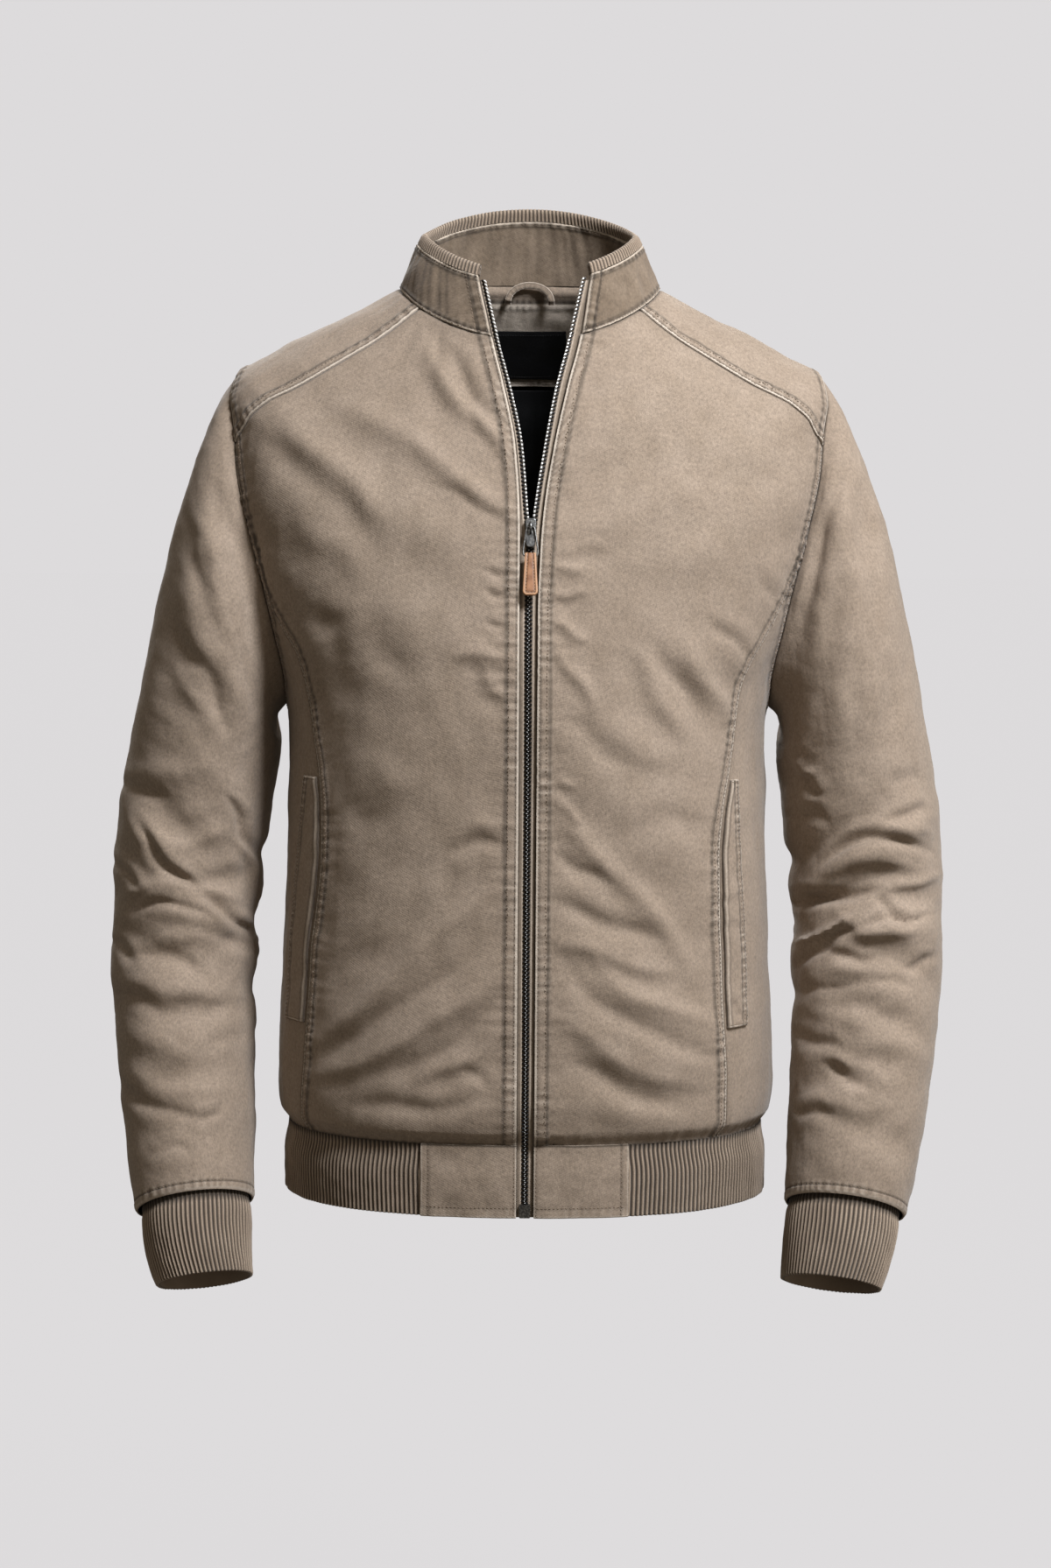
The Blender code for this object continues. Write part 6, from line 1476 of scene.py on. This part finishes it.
def dress_collar_band():
    """Ribbed knit folded over the collar's top edge."""
    right, left = (float(end[0]) for end in collar_ends(np.ones(1)))
    around = even_angles(right, left, lambda fine: collar_ring(fine, np.ones_like(fine)), BAND_RIB_PITCH)
    rise = np.ones_like(around)
    base = collar_ring(around, rise)
    normals = face_out(collar_normals(around, rise)[None], base[None])[0]
    up = unit(base - collar_ring(around, rise - 0.1))
    rib = rib_shape(len(around))
    middle, half = (BAND_OUT - BAND_IN) / 2.0, (BAND_OUT + BAND_IN) / 2.0
    turns = [math.pi * step / BAND_TURNS for step in range(1, BAND_TURNS)]
    profile = [(half, high) for high in BAND_FLAT]
    profile += [(half * math.cos(turn), between(BAND_FLAT[-1], BAND_HEIGHT, math.sin(turn))) for turn in turns]
    profile += [(-half, high) for high in reversed(BAND_FLAT)]
    relief = 1.0 - (0.75 * (1.0 - rib) + 0.1) / half
    wobble = 0.25 * waver(base, 40.0, 88)
    points = np.array([base + normals * (middle + out * relief + wobble)[:, None]
                       + up * (high - 0.5 * (1.0 - rib) * (high > 5.6))[:, None] for out, high in profile])
    # pale ribs over the fold's top, painted highlight with wear; painted shade in the grooves between ribs
    wear_and_painted_light = np.array([0.3 * rib * (high > 7.0) for _, high in profile])
    painted_shade = np.broadcast_to((1.0 - rib) * 1.1, wear_and_painted_light.shape)
    outward = grid_normals(points)
    centre = base + normals * middle + up * 4.0
    outward = np.where(((points - centre) * outward).sum() < 0.0, -outward, outward)
    cloth_piece("knit", "collar_band", points, centre + (points - centre) * 0.55, outward, "rib_knit",
                (rib_knit,), (wear_and_painted_light, painted_shade), every=1)


# ---------------------------------------------------------------- pocket welts
def dress_welt(side, seed):
    v = shares(178.0, 2.2, zone=6.0)
    u = shares(24.0, 1.2, zone=4.0)
    level = between(WELT_LEVELS[0], WELT_LEVELS[1], v)
    inner = princess_at(side, level) + np.array([WELT_FROM_SEAM, 0.0])
    outer = spots(on_side(WELT_EDGES, side, level), level)
    grid = turned(side)(between(inner[:, None], outer[:, None], u[None, :, None]))
    form = on_body(grid)
    normals = normals_of(body_surface, grid[..., 0], grid[..., 1])
    open_away, run = near(form, form[:, -1])
    away = {"open": open_away, "seam": near(form, form[:, 0])[0], "low": near(form, form[0])[0],
            "top": near(form, form[-1])[0]}
    wave = ripple(run, 6.2, seed)
    window = ramp(-open_away, -8.5, -5.5)
    height = 1.7 + bands(away, WELT_LIFT) + 0.3 * wave * window + 0.3 * waver(form, 22.0, seed + 1)
    # pale worn edges and painted highlight on the pucker tops; painted shade in the stitch rows, along the seam and
    # in the pucker hollows
    wear_and_painted_light = bands(away, WELT_PALE) + 0.6 * np.maximum(wave, 0.0) * window
    painted_shade = bands(away, WELT_DARK) + 0.5 * np.maximum(-wave, 0.0) * window
    creased = wrinkles(form, normals, FRONT_CREASES, BACK_CREASES, BODY_SEED) * 0.6
    outside = form + normals * (height + CLOTH + 0.6 - WELT_THICK + creased)[..., None]
    cloth_piece("cloth", "pocket_welt_" + side, outside, form + normals * (creased - 0.4)[..., None], normals,
                "twill", (twill,), (wear_and_painted_light, painted_shade))


# ---------------------------------------------------------------- inside of the back
def inside_grid(half_turns, levels, columns, rows):
    """Grid on the body's form at the back, and normals that point to the wearer."""
    share = np.linspace(0.0, 1.0, rows)[:, None]
    around = BACK + between(half_turns[1], half_turns[0], share) * np.linspace(-1.0, 1.0, columns)[None, :]
    level = np.broadcast_to(between(levels[1], levels[0], share), around.shape)
    return around, level, body_form(around, level), -normals_of(body_form, around, level)


def inner_piece(name, face, height, behind, inward, slot, material, looks=None):
    cloth_piece("cloth", name, face + inward * height[..., None], behind, inward, slot, (material,), looks)


def dress_neck_facing():
    """Back neck facing, its top row up on the collar's foot, which it is sewn to."""
    around, level, form, inward = inside_grid(FACING_HALF_TURN, FACING_LEVELS, 150, 56)
    face = form + inward * (FACING_DEPTH + FACING_THICK)
    up = COLLAR_FOOT_RISE * np.linspace(0.25, 1.0, 4)[:, None]
    foot = collar_ring(np.broadcast_to(around[-1], (4, around.shape[1])), up + np.zeros(around.shape[1]))
    foot_in = np.broadcast_to(inward[-1], foot.shape)
    tuck = between(FACING_DEPTH + FACING_THICK, COLLAR_FOOT_DEPTH, up / COLLAR_FOOT_RISE)[..., None]
    join = face[int(np.argmin(np.abs(level[:, 0] - COLLAR_JOIN_LEVEL)))]
    face = np.concatenate([face, foot + foot_in * tuck])
    behind = np.concatenate([form + inward * FACING_DEPTH, foot + foot_in * (tuck - FACING_THICK)])
    inward = np.concatenate([inward, foot_in])
    level = np.concatenate([level, np.full(foot.shape[:2], ABOVE_JOIN)])
    height, wear_and_painted_light, painted_shade = seam_relief(face, seams_of(120, ("single", join), ("single", face[0]),
                                                    ("single", face[:, 0]), ("single", face[:, -1])))
    below = ramp(COLLAR_JOIN_LEVEL - level, -0.6, 0.6)
    height = height * 0.6 + 0.4 * waver(face, 24.0, 124)
    height = height + 0.9 * below * ramp(level - COLLAR_JOIN_LEVEL, -10.0, -4.0)
    # painted light: below the join the facing is made paler, as if lit; above it, on the collar's foot, painted shade
    inner_piece("neck_facing", face, height, behind, inward, "twill", twill,
                (wear_and_painted_light + 0.8 * below, painted_shade + 0.22 * (1.0 - below)))


def dress_neck_label():
    _, _, form, inward = inside_grid(LABEL_HALF_TURN, LABEL_LEVELS, 60, 34)
    low = FACING_DEPTH + FACING_THICK + LABEL_GAP
    face = form + inward * (low + LABEL_THICK)
    edges = np.minimum.reduce([near(face, line)[0] for line in (face[0], face[-1], face[:, 0], face[:, -1])])
    height = 0.35 * waver(face, 26.0, 130) - 0.4 * bump(edges, 0.8) - 0.2 * bump(edges - 2.2, 0.6)
    inner_piece("neck_label", face, height, form + inward * low, inward, "label", label_black)


def dress_back_lining():
    """Black lining with a pressed pleat near the middle."""
    _, level, form, inward = inside_grid(LINING_HALF_TURN, LINING_LEVELS, 150, 150)
    face = form + inward * (LINING_DEPTH + LINING_THICK)
    seam = np.abs(face[..., 0] - LINING_PLEAT_X)
    height = -1.1 * bump(seam, 1.2) + 0.7 * bump(seam - 4.5, 3.0) + wavers(face, 140, (1.3, 90.0), (0.7, 38.0))
    inner_piece("back_lining", face, height * ramp(-level, 50.0, 70.0), form + inward * LINING_DEPTH, inward,
                "lining", lining_black)


def dress_hanger_loop():
    angle = np.linspace(0.0, math.pi, 64)
    middle = np.stack([-LOOP_HALF_WIDTH * np.cos(angle), LOOP_FOOT_Z + LOOP_RISE * np.sin(angle) ** 0.8], axis=-1)
    ahead = unit(np.gradient(middle, axis=0))
    across = np.stack([-ahead[:, 1], ahead[:, 0]], axis=-1)
    share = np.linspace(-1.0, 1.0, 13)
    flat = middle[:, None] + across[:, None] * (share * LOOP_BAND / 2.0)[None, :, None]
    crown = 0.5 * np.abs(share) ** 6 + 0.12 * bump(np.abs(share) - LOOP_STITCH, 0.1)
    sunk = LOOP_TUCK * ramp(LOOP_FOOT_Z + 3.4 - middle[:, 1], 0.0, 3.0)[:, None]
    y = LOOP_Y + crown + 0.12 * np.sin(np.arange(64) * 1.3)[:, None] + sunk
    face, back = (np.stack([flat[..., 0], np.broadcast_to(depth, flat.shape[:2]), flat[..., 1]], axis=-1)
                  for depth in (y, LOOP_Y + LOOP_THICK + sunk))
    normals = np.zeros(face.shape) + np.array([0.0, -1.0, 0.0])
    # pale folded edges; painted shade along the stitch lines, and the whole loop a little darker
    wear_and_painted_light, painted_shade = (np.broadcast_to(look, face.shape[:2]) for look in (
        0.8 * np.abs(share) ** 5, 0.18 + 0.6 * bump(np.abs(share) - LOOP_STITCH, 0.12)))
    piece = shell("cloth_hanger_loop", face, back, normals, (twill,), (wear_and_painted_light, painted_shade), every=3)
    placed_on(piece, "twill", "hanger_loop")
    long, wide = float(reach_along(middle)[-1]), 2.0 * LOOP_BAND + LOOP_THICK


# ---------------------------------------------------------------- zip
def edge_frame(side, step):
    """Points, outward normals and across directions up the front edge, every step mm."""
    levels = np.concatenate([np.linspace(HEM_EDGE + 0.3, HEM_SEAM, 60)[:-1], np.linspace(HEM_SEAM, 0.0, 600)])
    line = front_edge(side, levels)
    rise = np.linspace(0.0, 0.97, 60)[1:]
    around = collar_edge(side, rise)
    body, collar = on_body(line), collar_ring(around, rise)
    across = np.concatenate([unit(on_body(line + np.array([0.5, 0.0])) - body),
                             unit(collar_ring(around + 0.5, rise) - collar)])
    points = np.concatenate([body, collar])
    normals = np.concatenate([normals_of(body_surface, line[..., 0], line[..., 1]), collar_normals(around, rise)])
    normals = np.where(normals[:, 1:2] > 0.0, -normals, normals)
    for _ in range(EDGE_SMOOTHINGS):
        normals[1:-1] = unit(normals[:-2] + 2.0 * normals[1:-1] + normals[2:])
    reach = reach_along(points)
    wanted = np.arange(0.0, reach[-1], step)
    points, normals, across = (interpolated(wanted, reach, values) for values in (points, normals, across))
    return points, unit(normals), unit(across)


def tape_frame(side, step):
    """Where the tape meets the cloth's edge, and how far it reaches past it."""
    points, normals, across = edge_frame(side, step)
    reach = np.abs((on_side(TOOTH_LINES, side, points[:, 2]) - points[:, 0]) / across[:, 0])
    return points - normals * (CLOTH + TAPE_GAP), normals, across * -SIGNS[side], reach


def dress_tape(side):
    base, normals, inward, reach = tape_frame(side, 2.2)
    share = np.concatenate([np.linspace(0.0, 0.7, 6), np.linspace(0.74, 1.0, 12)])
    width = (TAPE_HIDDEN + reach)[:, None]
    form = base[:, None] + inward[:, None] * (share * width - TAPE_HIDDEN)[..., None]
    from_teeth = width * (1.0 - share)
    away = {"teeth": from_teeth, "cloth": np.abs(reach[:, None] - from_teeth)}
    height = bands(away, (("teeth", 2.7, 0.7, 0.45), ("teeth", 1.6, 0.5, -0.15)))
    wear_and_painted_light = bands(away, (("teeth", 2.7, 0.7, 1.1),))
    # painted shade under the teeth, and a painted shadow along the cloth's front edge
    painted_shade = ramp(-from_teeth, -2.1, -1.2) + bands(away, (("cloth", 0.0, 1.0, 1.1),))
    normals = np.broadcast_to(normals[:, None], form.shape)
    cloth_piece("woven", "zip_tape_" + side, form + normals * height[..., None], form - normals * TAPE_THICK,
                normals, "zip_tape", (tape_twill,), (wear_and_painted_light, painted_shade), every=3)


def dress_teeth(side):
    """One side's row of metal teeth, clamped on the tape's edge."""
    base, normals, inward, reach = tape_frame(side, TOOTH_PITCH)
    tangent = unit(np.gradient(base, axis=0))
    seat = base + inward * reach[:, None] + tangent * (0.0 if side == "left" else TOOTH_PITCH / 2.0)
    points, faces, slots = [], [], []
    for place, normal, across, along in zip(seat, normals, inward, tangent):
        for start, end, half, high, slot in TOOTH_PARTS if place[2] > SLIDER_TOP - OPEN_TEETH_DROP else CLOSED_PARTS:
            first = len(points)
            middle = (start + end) / 2.0
            for level, grow in ((-TAPE_THICK - TOOTH_ROOT, 1.0), (high - TOOTH_BEVEL, 1.0), (high, TOOTH_TIP_SHARE)):
                points += [place + across * (middle + (a - middle) * grow) + along * (t * grow) + normal * level
                           for a, t in ((start, -half), (end, -half), (end, half), (start, half))]
            index = first + np.arange(12).reshape(3, 4)
            made = grid_quads(index, True).tolist() + [index[2].tolist(), index[0, ::-1].tolist()]
            faces += made
            slots += [slot] * len(made)
    if side == "right":
        faces = [face[::-1] for face in faces]
    piece = meshed("zip_teeth_" + side, points, faces, (tooth_shade_metal, tooth_highlight_metal), slots, TOOTH_SMOOTH_ANGLE)
    placed_on(piece, "gunmetal")


def zip_points(points):
    """Points given as (right, down, out) from the slider's top, put on the front of the jacket."""
    line = body_form(np.zeros(3), level_at_front_height(SLIDER_TOP + np.array([4.0, 0.0, -4.0])))
    right = np.array([1.0, 0.0, 0.0])
    down = unit(line[2] - line[0])
    out = np.cross(down, right)
    out = out if out[1] < 0.0 else -out
    points = np.asarray(points, float)
    start = line[1] + right * SLIDER_X
    return start + points[..., :1] * right + points[..., 1:2] * down + points[..., 2:3] * out, out


def dress_bail():
    bar = BAIL_PIVOT + BAIL_LENGTH
    corners = ((-BAIL_TOP_HALF, BAIL_PIVOT), (BAIL_TOP_HALF, BAIL_PIVOT), (BAIL_LOW_HALF, BAIL_FLARE_END),
               (BAIL_LOW_HALF, bar), (-BAIL_LOW_HALF, bar), (-BAIL_LOW_HALF, BAIL_FLARE_END))
    path = np.array(corners)
    start, end = (path + BAIL_BEND * unit(np.roll(path, way, axis=0) - path) for way in (1, -1))
    share = np.linspace(0.0, 1.0, 8)[None, :, None]
    first, second = between(start[:, None], path[:, None], share), between(path[:, None], end[:, None], share)
    path = between(first, second, share).reshape(-1, 2)
    ahead = unit(np.roll(path, -1, axis=0) - np.roll(path, 1, axis=0))
    side = np.stack([ahead[:, 1], -ahead[:, 0]], axis=-1)
    turn = np.arange(BAIL_SIDES) * 2.0 * math.pi / BAIL_SIDES
    flat = path[:, None] + side[:, None] * (np.cos(turn) * BAIL_WIRE / 2.0)[None, :, None]
    out = np.broadcast_to(PIVOT_OUT + np.sin(turn) * BAIL_WIRE / 2.0, flat.shape[:2])
    points, _ = zip_points(np.concatenate([flat, out[..., None]], axis=-1))
    index = np.arange(out.size).reshape(out.shape)
    faces = grid_quads(np.concatenate([index, index[:1]]), True)[:, [0, 3, 2, 1]].tolist()
    piece = meshed("bail_wire", points.reshape(-1, 3), faces, (silver_metal,))
    placed_on(piece, "silver_metal", "zip_bail", body="bail")


def tab_half_width(down):
    """Half the tab's width this far below its top."""
    half = between(TAB_TOP_WIDTH, TAB_WIDTH, down / TAB_LENGTH) / 2.0
    for corner, from_end in ((TAB_TOP_CORNER, down), (TAB_LOW_CORNER, TAB_LENGTH - down)):
        missing = np.clip(corner - from_end, 0.0, corner)
        half = half - corner + np.sqrt(np.maximum(corner ** 2 - missing ** 2, 0.0))
    return half


def dress_leather_tab():
    """Strap of leather folded round the bail's lower bar, both layers sewn together."""
    bar = BAIL_PIVOT + BAIL_LENGTH
    top, thick = bar - TAB_TOP_ABOVE_BAR, TAB_THICK / 2.0
    bore = BAIL_WIRE / 2.0 + 0.3
    leg = np.concatenate([np.linspace(0.0, 1.6, 9), np.linspace(2.2, TAB_LENGTH - TAB_TOP_ABOVE_BAR - 0.6, 40)])
    leg = top + TAB_LENGTH - leg
    arc = np.radians(np.linspace(0.0, 180.0, 17))
    gap = between(0.04, bore, ramp(bar - leg, -4.0, -0.4))
    down = np.concatenate([leg, bar - TAB_TOP_ABOVE_BAR * np.sin(arc), leg[::-1]])
    out = np.concatenate([np.full(len(leg), thick), thick * np.cos(arc), np.full(len(leg), -thick)])
    down_in = np.concatenate([leg, bar - bore * np.sin(arc), leg[::-1]])
    out_in = np.concatenate([gap, bore * np.cos(arc), -gap[::-1]])
    half = tab_half_width(down - top)[:, None]
    across = half * np.sin(np.radians(np.linspace(-90.0, 90.0, 41)))
    from_edge = np.minimum(half - np.abs(across), (top + TAB_LENGTH - down)[:, None])
    rounded = 1.0 - np.sqrt(1.0 - np.clip(1.0 - from_edge / 1.1, 0.0, 1.0) ** 2)
    height = -0.55 * rounded - 0.28 * bump(from_edge - TAB_STITCH_IN, 0.55)
    sign = np.sign(out)[:, None]

    def placed(down, out):
        parts = (across, down[:, None], out + PIVOT_OUT)
        return zip_points(np.stack([np.broadcast_to(part, across.shape) for part in parts], axis=-1))

    outside, facing = placed(down, out[:, None] + sign * height)
    inside, _ = placed(down_in, out_in[:, None])
    normals = facing * sign[..., None] + np.zeros(outside.shape)
    # pale edges, and painted shade along the stitch groove
    looks = (0.9 * bump(from_edge - 0.9, 0.7), 0.85 * bump(from_edge - TAB_STITCH_IN, 0.6))
    piece = shell("leather_strap", outside, inside, normals, (leather,), looks, every=1)
    placed_on(piece, "leather", "leather_tab", body="tab")
    low = np.linspace(3.5, TAB_LENGTH - TAB_STITCH_IN, 60)
    edge = tab_half_width(low) - TAB_STITCH_IN
    x, down = np.concatenate([-edge, edge[::-1]]), np.concatenate([low, low[::-1]])
    line, _ = zip_points(np.stack([x, top + down, np.full(len(x), PIVOT_OUT + thick - 0.2)], axis=-1))
    sewing = Sewing()
    sewing.stitch(line, np.broadcast_to(facing, line.shape), 2.2, 0.26)
    sewing.finish("tab_stitches", thread_tan, "leather", "tab")


# ---------------------------------------------------------------- stitches
def settle(name, line):
    """Drop a line of points on a piece's outer surface: places, normals, and which are on it."""
    points, normals = SURFACES[name]
    square = (points ** 2).sum(axis=1)
    found = np.concatenate([np.argmin(square[None, :] - 2.0 * line[start:start + 200] @ points.T, axis=1)
                            for start in range(0, len(line), 200)])
    normal = normals[found]
    offset = line - points[found]
    lifted = (offset * normal).sum(axis=1, keepdims=True)
    return line - lifted * normal, normal, np.linalg.norm(offset - lifted * normal, axis=1) < ON_PIECE


def beside(name, line, away):
    """A line moved sideways on the cloth, towards a piece's middle."""
    _, normals, _ = settle(name, line)
    side = unit(np.cross(normals, unit(np.gradient(line, axis=0))))
    middle = SURFACES[name][0].mean(axis=0)
    toward = 1.0 if ((middle - line) * side).sum() > 0.0 else -1.0
    return line + side * (toward * away)


class Sewing:
    """Stitches gathered into one mesh."""

    def __init__(self):
        self.points = []
        self.faces = []

    def stitch(self, line, normals, pitch, thick, keep=None):
        """Closed little stitches along a line of surface points."""
        reach = reach_along(line)
        starts = np.arange(pitch * 0.4, reach[-1] - pitch, pitch)
        if keep is not None:
            starts = starts[np.interp(starts, reach, keep.astype(float)) > 0.9]
        share, wide, high = np.array(STITCH_PROFILE).T
        for start in starts:
            place = start + share * pitch * STITCH_LONG
            centre, normal = interpolated(place, reach, line), unit(interpolated(place, reach, normals))
            side = unit(np.cross(unit(centre[-1] - centre[0]), normal[2]))
            first = len(self.points)
            centre = centre + normal * (high * thick)[:, None]
            self.points.append(centre[0])
            for row in (1, 2, 3):
                for way in (side, normal[row], -side, -normal[row]):
                    self.points.append(centre[row] + way * (wide[row] * thick))
            self.points.append(centre[4])
            for step, after in ((0, 1), (1, 2), (2, 3), (3, 0)):
                self.faces.append((first, first + 1 + after, first + 1 + step))
                for ring in (first + 1, first + 5):
                    self.faces.append((ring + step, ring + after, ring + 4 + after, ring + 4 + step))
                self.faces.append((first + 9 + step, first + 9 + after, first + 13))

    def row(self, name, line, away=None, pitch=STITCH_PITCH, thick=STITCH_THICK):
        """A row sewn on a piece, away from a line towards the piece's middle."""
        if away is not None:
            line = beside(name, line, away)
        placed, normal, on = settle(name, line)
        self.stitch(placed, normal, pitch, thick, on)

    def finish(self, name, material, slot, body="jacket"):
        placed_on(meshed(name, self.points, self.faces, (material,), keep=80.0), slot, body=body)


def sew_side(body, side):
    turn, sign = turned(side), SIGNS[side]
    for name in ("front_" + side, "front_side_" + side, "yoke_" + side):
        for line, look, _ in SEWN[name]:
            if look == "zip":
                line = zip_line(side, HEM_SEAM + 1.0, -1.0, 900)
            for away in SEWN_LOOKS[look][2] if look in SEWN_LOOKS else ():
                body.row(name, line, away)
    body.row("sleeve_" + side, SLEEVE_HEMS[side])
    welt = "pocket_welt_" + side
    level = np.linspace(*WELT_LEVELS, 300)
    outer = on_body(turn(spots(on_side(WELT_EDGES, side, level), level)))
    for away in WELT_ROWS:
        body.row(welt, outer, away)
    for end in WELT_LEVELS:
        inner_turn = float(on_side(PRINCESS_SEAM, side, end)) + WELT_FROM_SEAM
        bar = on_body(turn(spots(np.linspace(inner_turn, float(on_side(WELT_EDGES, side, end)), 60), end)))
        for away in (1.4, 2.6):
            body.row(welt, bar, away, pitch=1.3)
    edge, _ = hem_tab_ends(side)
    up = np.linspace(HEM_EDGE + 1.0, HEM_SEAM - 1.0, 120)
    for x, level in ((np.linspace(edge + sign, sign * (HEM_TAB_WIDTH - 1.0), 120), np.full(120, HEM_EDGE + 7.5)),
                     (sign * (HEM_TAB_WIDTH - 4.4), up), (edge + sign * 1.6, up)):
        body.row("hem_tab_" + side, on_body(spots(around_at_x(level, x), level)))
    rise = np.linspace(0.03, 0.97, 120)
    for away in (1.6, 7.4):
        around = collar_edge(side, rise, away * 0.95)
        body.row("collar_outer", collar_ring(around if side == "right" else around + 360.0, rise))


def sew():
    body = Sewing()
    for side in SIGNS:
        sew_side(body, side)
    for line, look, _ in SEWN["back"]:
        for away in SEWN_LOOKS[look][2] if look in SEWN_LOOKS else ():
            body.row("back", line, away)
    for name, rise, inset, off in (("collar_outer", 0.0, 1.5, 0.035), ("collar_outer", 1.0, 1.5, -0.035),
                                   ("collar_inner", 1.0, 1.5 + COLLAR_LINING_INSET, -0.035)):
        right, left = collar_ends(np.array([rise]), inset)
        around = np.linspace(float(right[0]), float(left[0]), 700)
        body.row(name, collar_ring(around, np.full(700, rise + off)))
    around = np.linspace(BACK - 29.0, BACK + 29.0, 200)
    for up in (1.6, 5.6):
        body.row("neck_facing", body_form(around, np.full(200, FACING_LEVELS[1] + up)), pitch=2.4)
    body.finish("topstitching", thread, "twill")
    label = Sewing()
    for share in (0.93, 0.07):
        half_turn = between(LABEL_HALF_TURN[1], LABEL_HALF_TURN[0], share) - 0.5
        around = BACK + np.linspace(-1.0, 1.0, 100) * half_turn
        line = body_form(around, np.full(100, between(LABEL_LEVELS[1], LABEL_LEVELS[0], share)))
        label.row("neck_label", line, pitch=1.9, thick=0.2)
    label.finish("label_stitches", thread_black, "label")


# ---------------------------------------------------------------- stage, light and camera
def make_stage():
    material, tree, shader, _ = material_parts("pale_floor")
    plug(tree, shader, {"Base Color": (0.01, 0.01, 0.01), "Roughness": 1.0, "Specular IOR Level": 0.0,
                        "Emission Color": FLOOR_GLOW, "Emission Strength": 1.0})
    mesh = bpy.data.meshes.new("floor")
    corners = [(x * FLOOR_HALF, y * FLOOR_HALF, FLOOR_LEVEL) for x, y in ((-1, -1), (1, -1), (1, 1), (-1, 1))]
    mesh.from_pydata(corners, [], [(0, 1, 2, 3)])
    mesh.materials.append(material)
    floor = bpy.data.objects.new("floor", mesh)
    bpy.context.scene.collection.objects.link(floor)
    floor.visible_diffuse = False
    floor.visible_glossy = False


def make_lamp(name, place, aim, size, power, colour):
    data = bpy.data.lights.new(name, "AREA")
    data.shape = "DISK"
    data.size, data.energy, data.color = size, power, colour
    item = bpy.data.objects.new(name, data)
    item.location = place
    item.rotation_euler = (Vector(aim) - Vector(place)).to_track_quat("-Z", "Y").to_euler()
    bpy.context.scene.collection.objects.link(item)
    item.visible_camera = False


def make_light():
    """Lamps, and a world that lights from its bright side and is seen as an even backdrop."""
    world = bpy.data.worlds.new("studio")
    bpy.context.scene.world = world
    world.use_nodes = True
    tree = world.node_tree
    tree.nodes.clear()
    way = node(tree, "ShaderNodeTexCoord").outputs["Generated"]
    parts = node(tree, "ShaderNodeSeparateXYZ", {0: way}).outputs
    lean = sums(tree, "ADD", parts["Z"], sums(tree, "MULTIPLY", parts["X"], FILL_LEAN))
    strength = fit(tree, lean, -0.8, 1.0, FILL_LOW, FILL_HIGH)
    fill = node(tree, "ShaderNodeBackground", {"Color": FILL_COLOUR, "Strength": strength}).outputs[0]
    seen = node(tree, "ShaderNodeBackground", {"Color": BACKDROP, "Strength": 1.0}).outputs[0]
    camera_ray = node(tree, "ShaderNodeLightPath").outputs["Is Camera Ray"]
    mixed = node(tree, "ShaderNodeMixShader", {0: camera_ray, 1: fill, 2: seen}).outputs[0]
    node(tree, "ShaderNodeOutputWorld", {"Surface": mixed})
    for row in LAMPS:
        make_lamp(*row)


def make_camera():
    data = bpy.data.cameras.new("camera")
    data.sensor_fit = "VERTICAL"
    data.sensor_height = 24.0
    data.lens = data.sensor_height * VIEW_DISTANCE / (FRAME_HIGH * PIXEL)
    camera = bpy.data.objects.new("camera", data)
    camera.location = (VIEW_RIGHT * MM, -VIEW_DISTANCE * math.cos(VIEW_DOWN) * MM,
                       (VIEW_HEIGHT + VIEW_DISTANCE * math.sin(VIEW_DOWN)) * MM)
    turn = Matrix.Rotation(math.pi / 2.0 - VIEW_DOWN, 3, "X") @ Matrix.Rotation(VIEW_TURN, 3, "Z")
    camera.rotation_euler = turn.to_euler()
    bpy.context.scene.collection.objects.link(camera)
    bpy.context.scene.camera = camera


# ---------------------------------------------------------------- all of it
make_camera()
dress_front("left", 10, (-57.0, -20.0), (-64.0, -1.5))
dress_front("right", 20, (24.0, 57.0), (1.5, 52.0))
dress_side("left", 30)
dress_side("right", 40)
dress_back(50)
dress_yoke("left", 60)
dress_yoke("right", 70)
for side, seed in (("left", 200), ("right", 300)):
    dress_sleeve(side, seed)
    dress_cuff(side, seed + 40)
    dress_hem_tab(side, seed + 50)
    dress_welt(side, seed + 60)
    dress_tape(side)
dress_hem_rib(81)
dress_collar()
dress_collar_band()
dress_neck_facing()
dress_neck_label()
dress_back_lining()
dress_hanger_loop()
dress_teeth("left")
dress_teeth("right")
dress_bail()
dress_leather_tab()
sew()
for name in ("zip_slider", "zip_arch", "zip_end_box"):
    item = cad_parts[name]
    if not item.material_slots:
        item.data.materials.clear()
    for place in item.material_slots:
        place.material = gunmetal
make_stage()
make_light()
bpy.context.scene.view_settings.view_transform = "Standard"
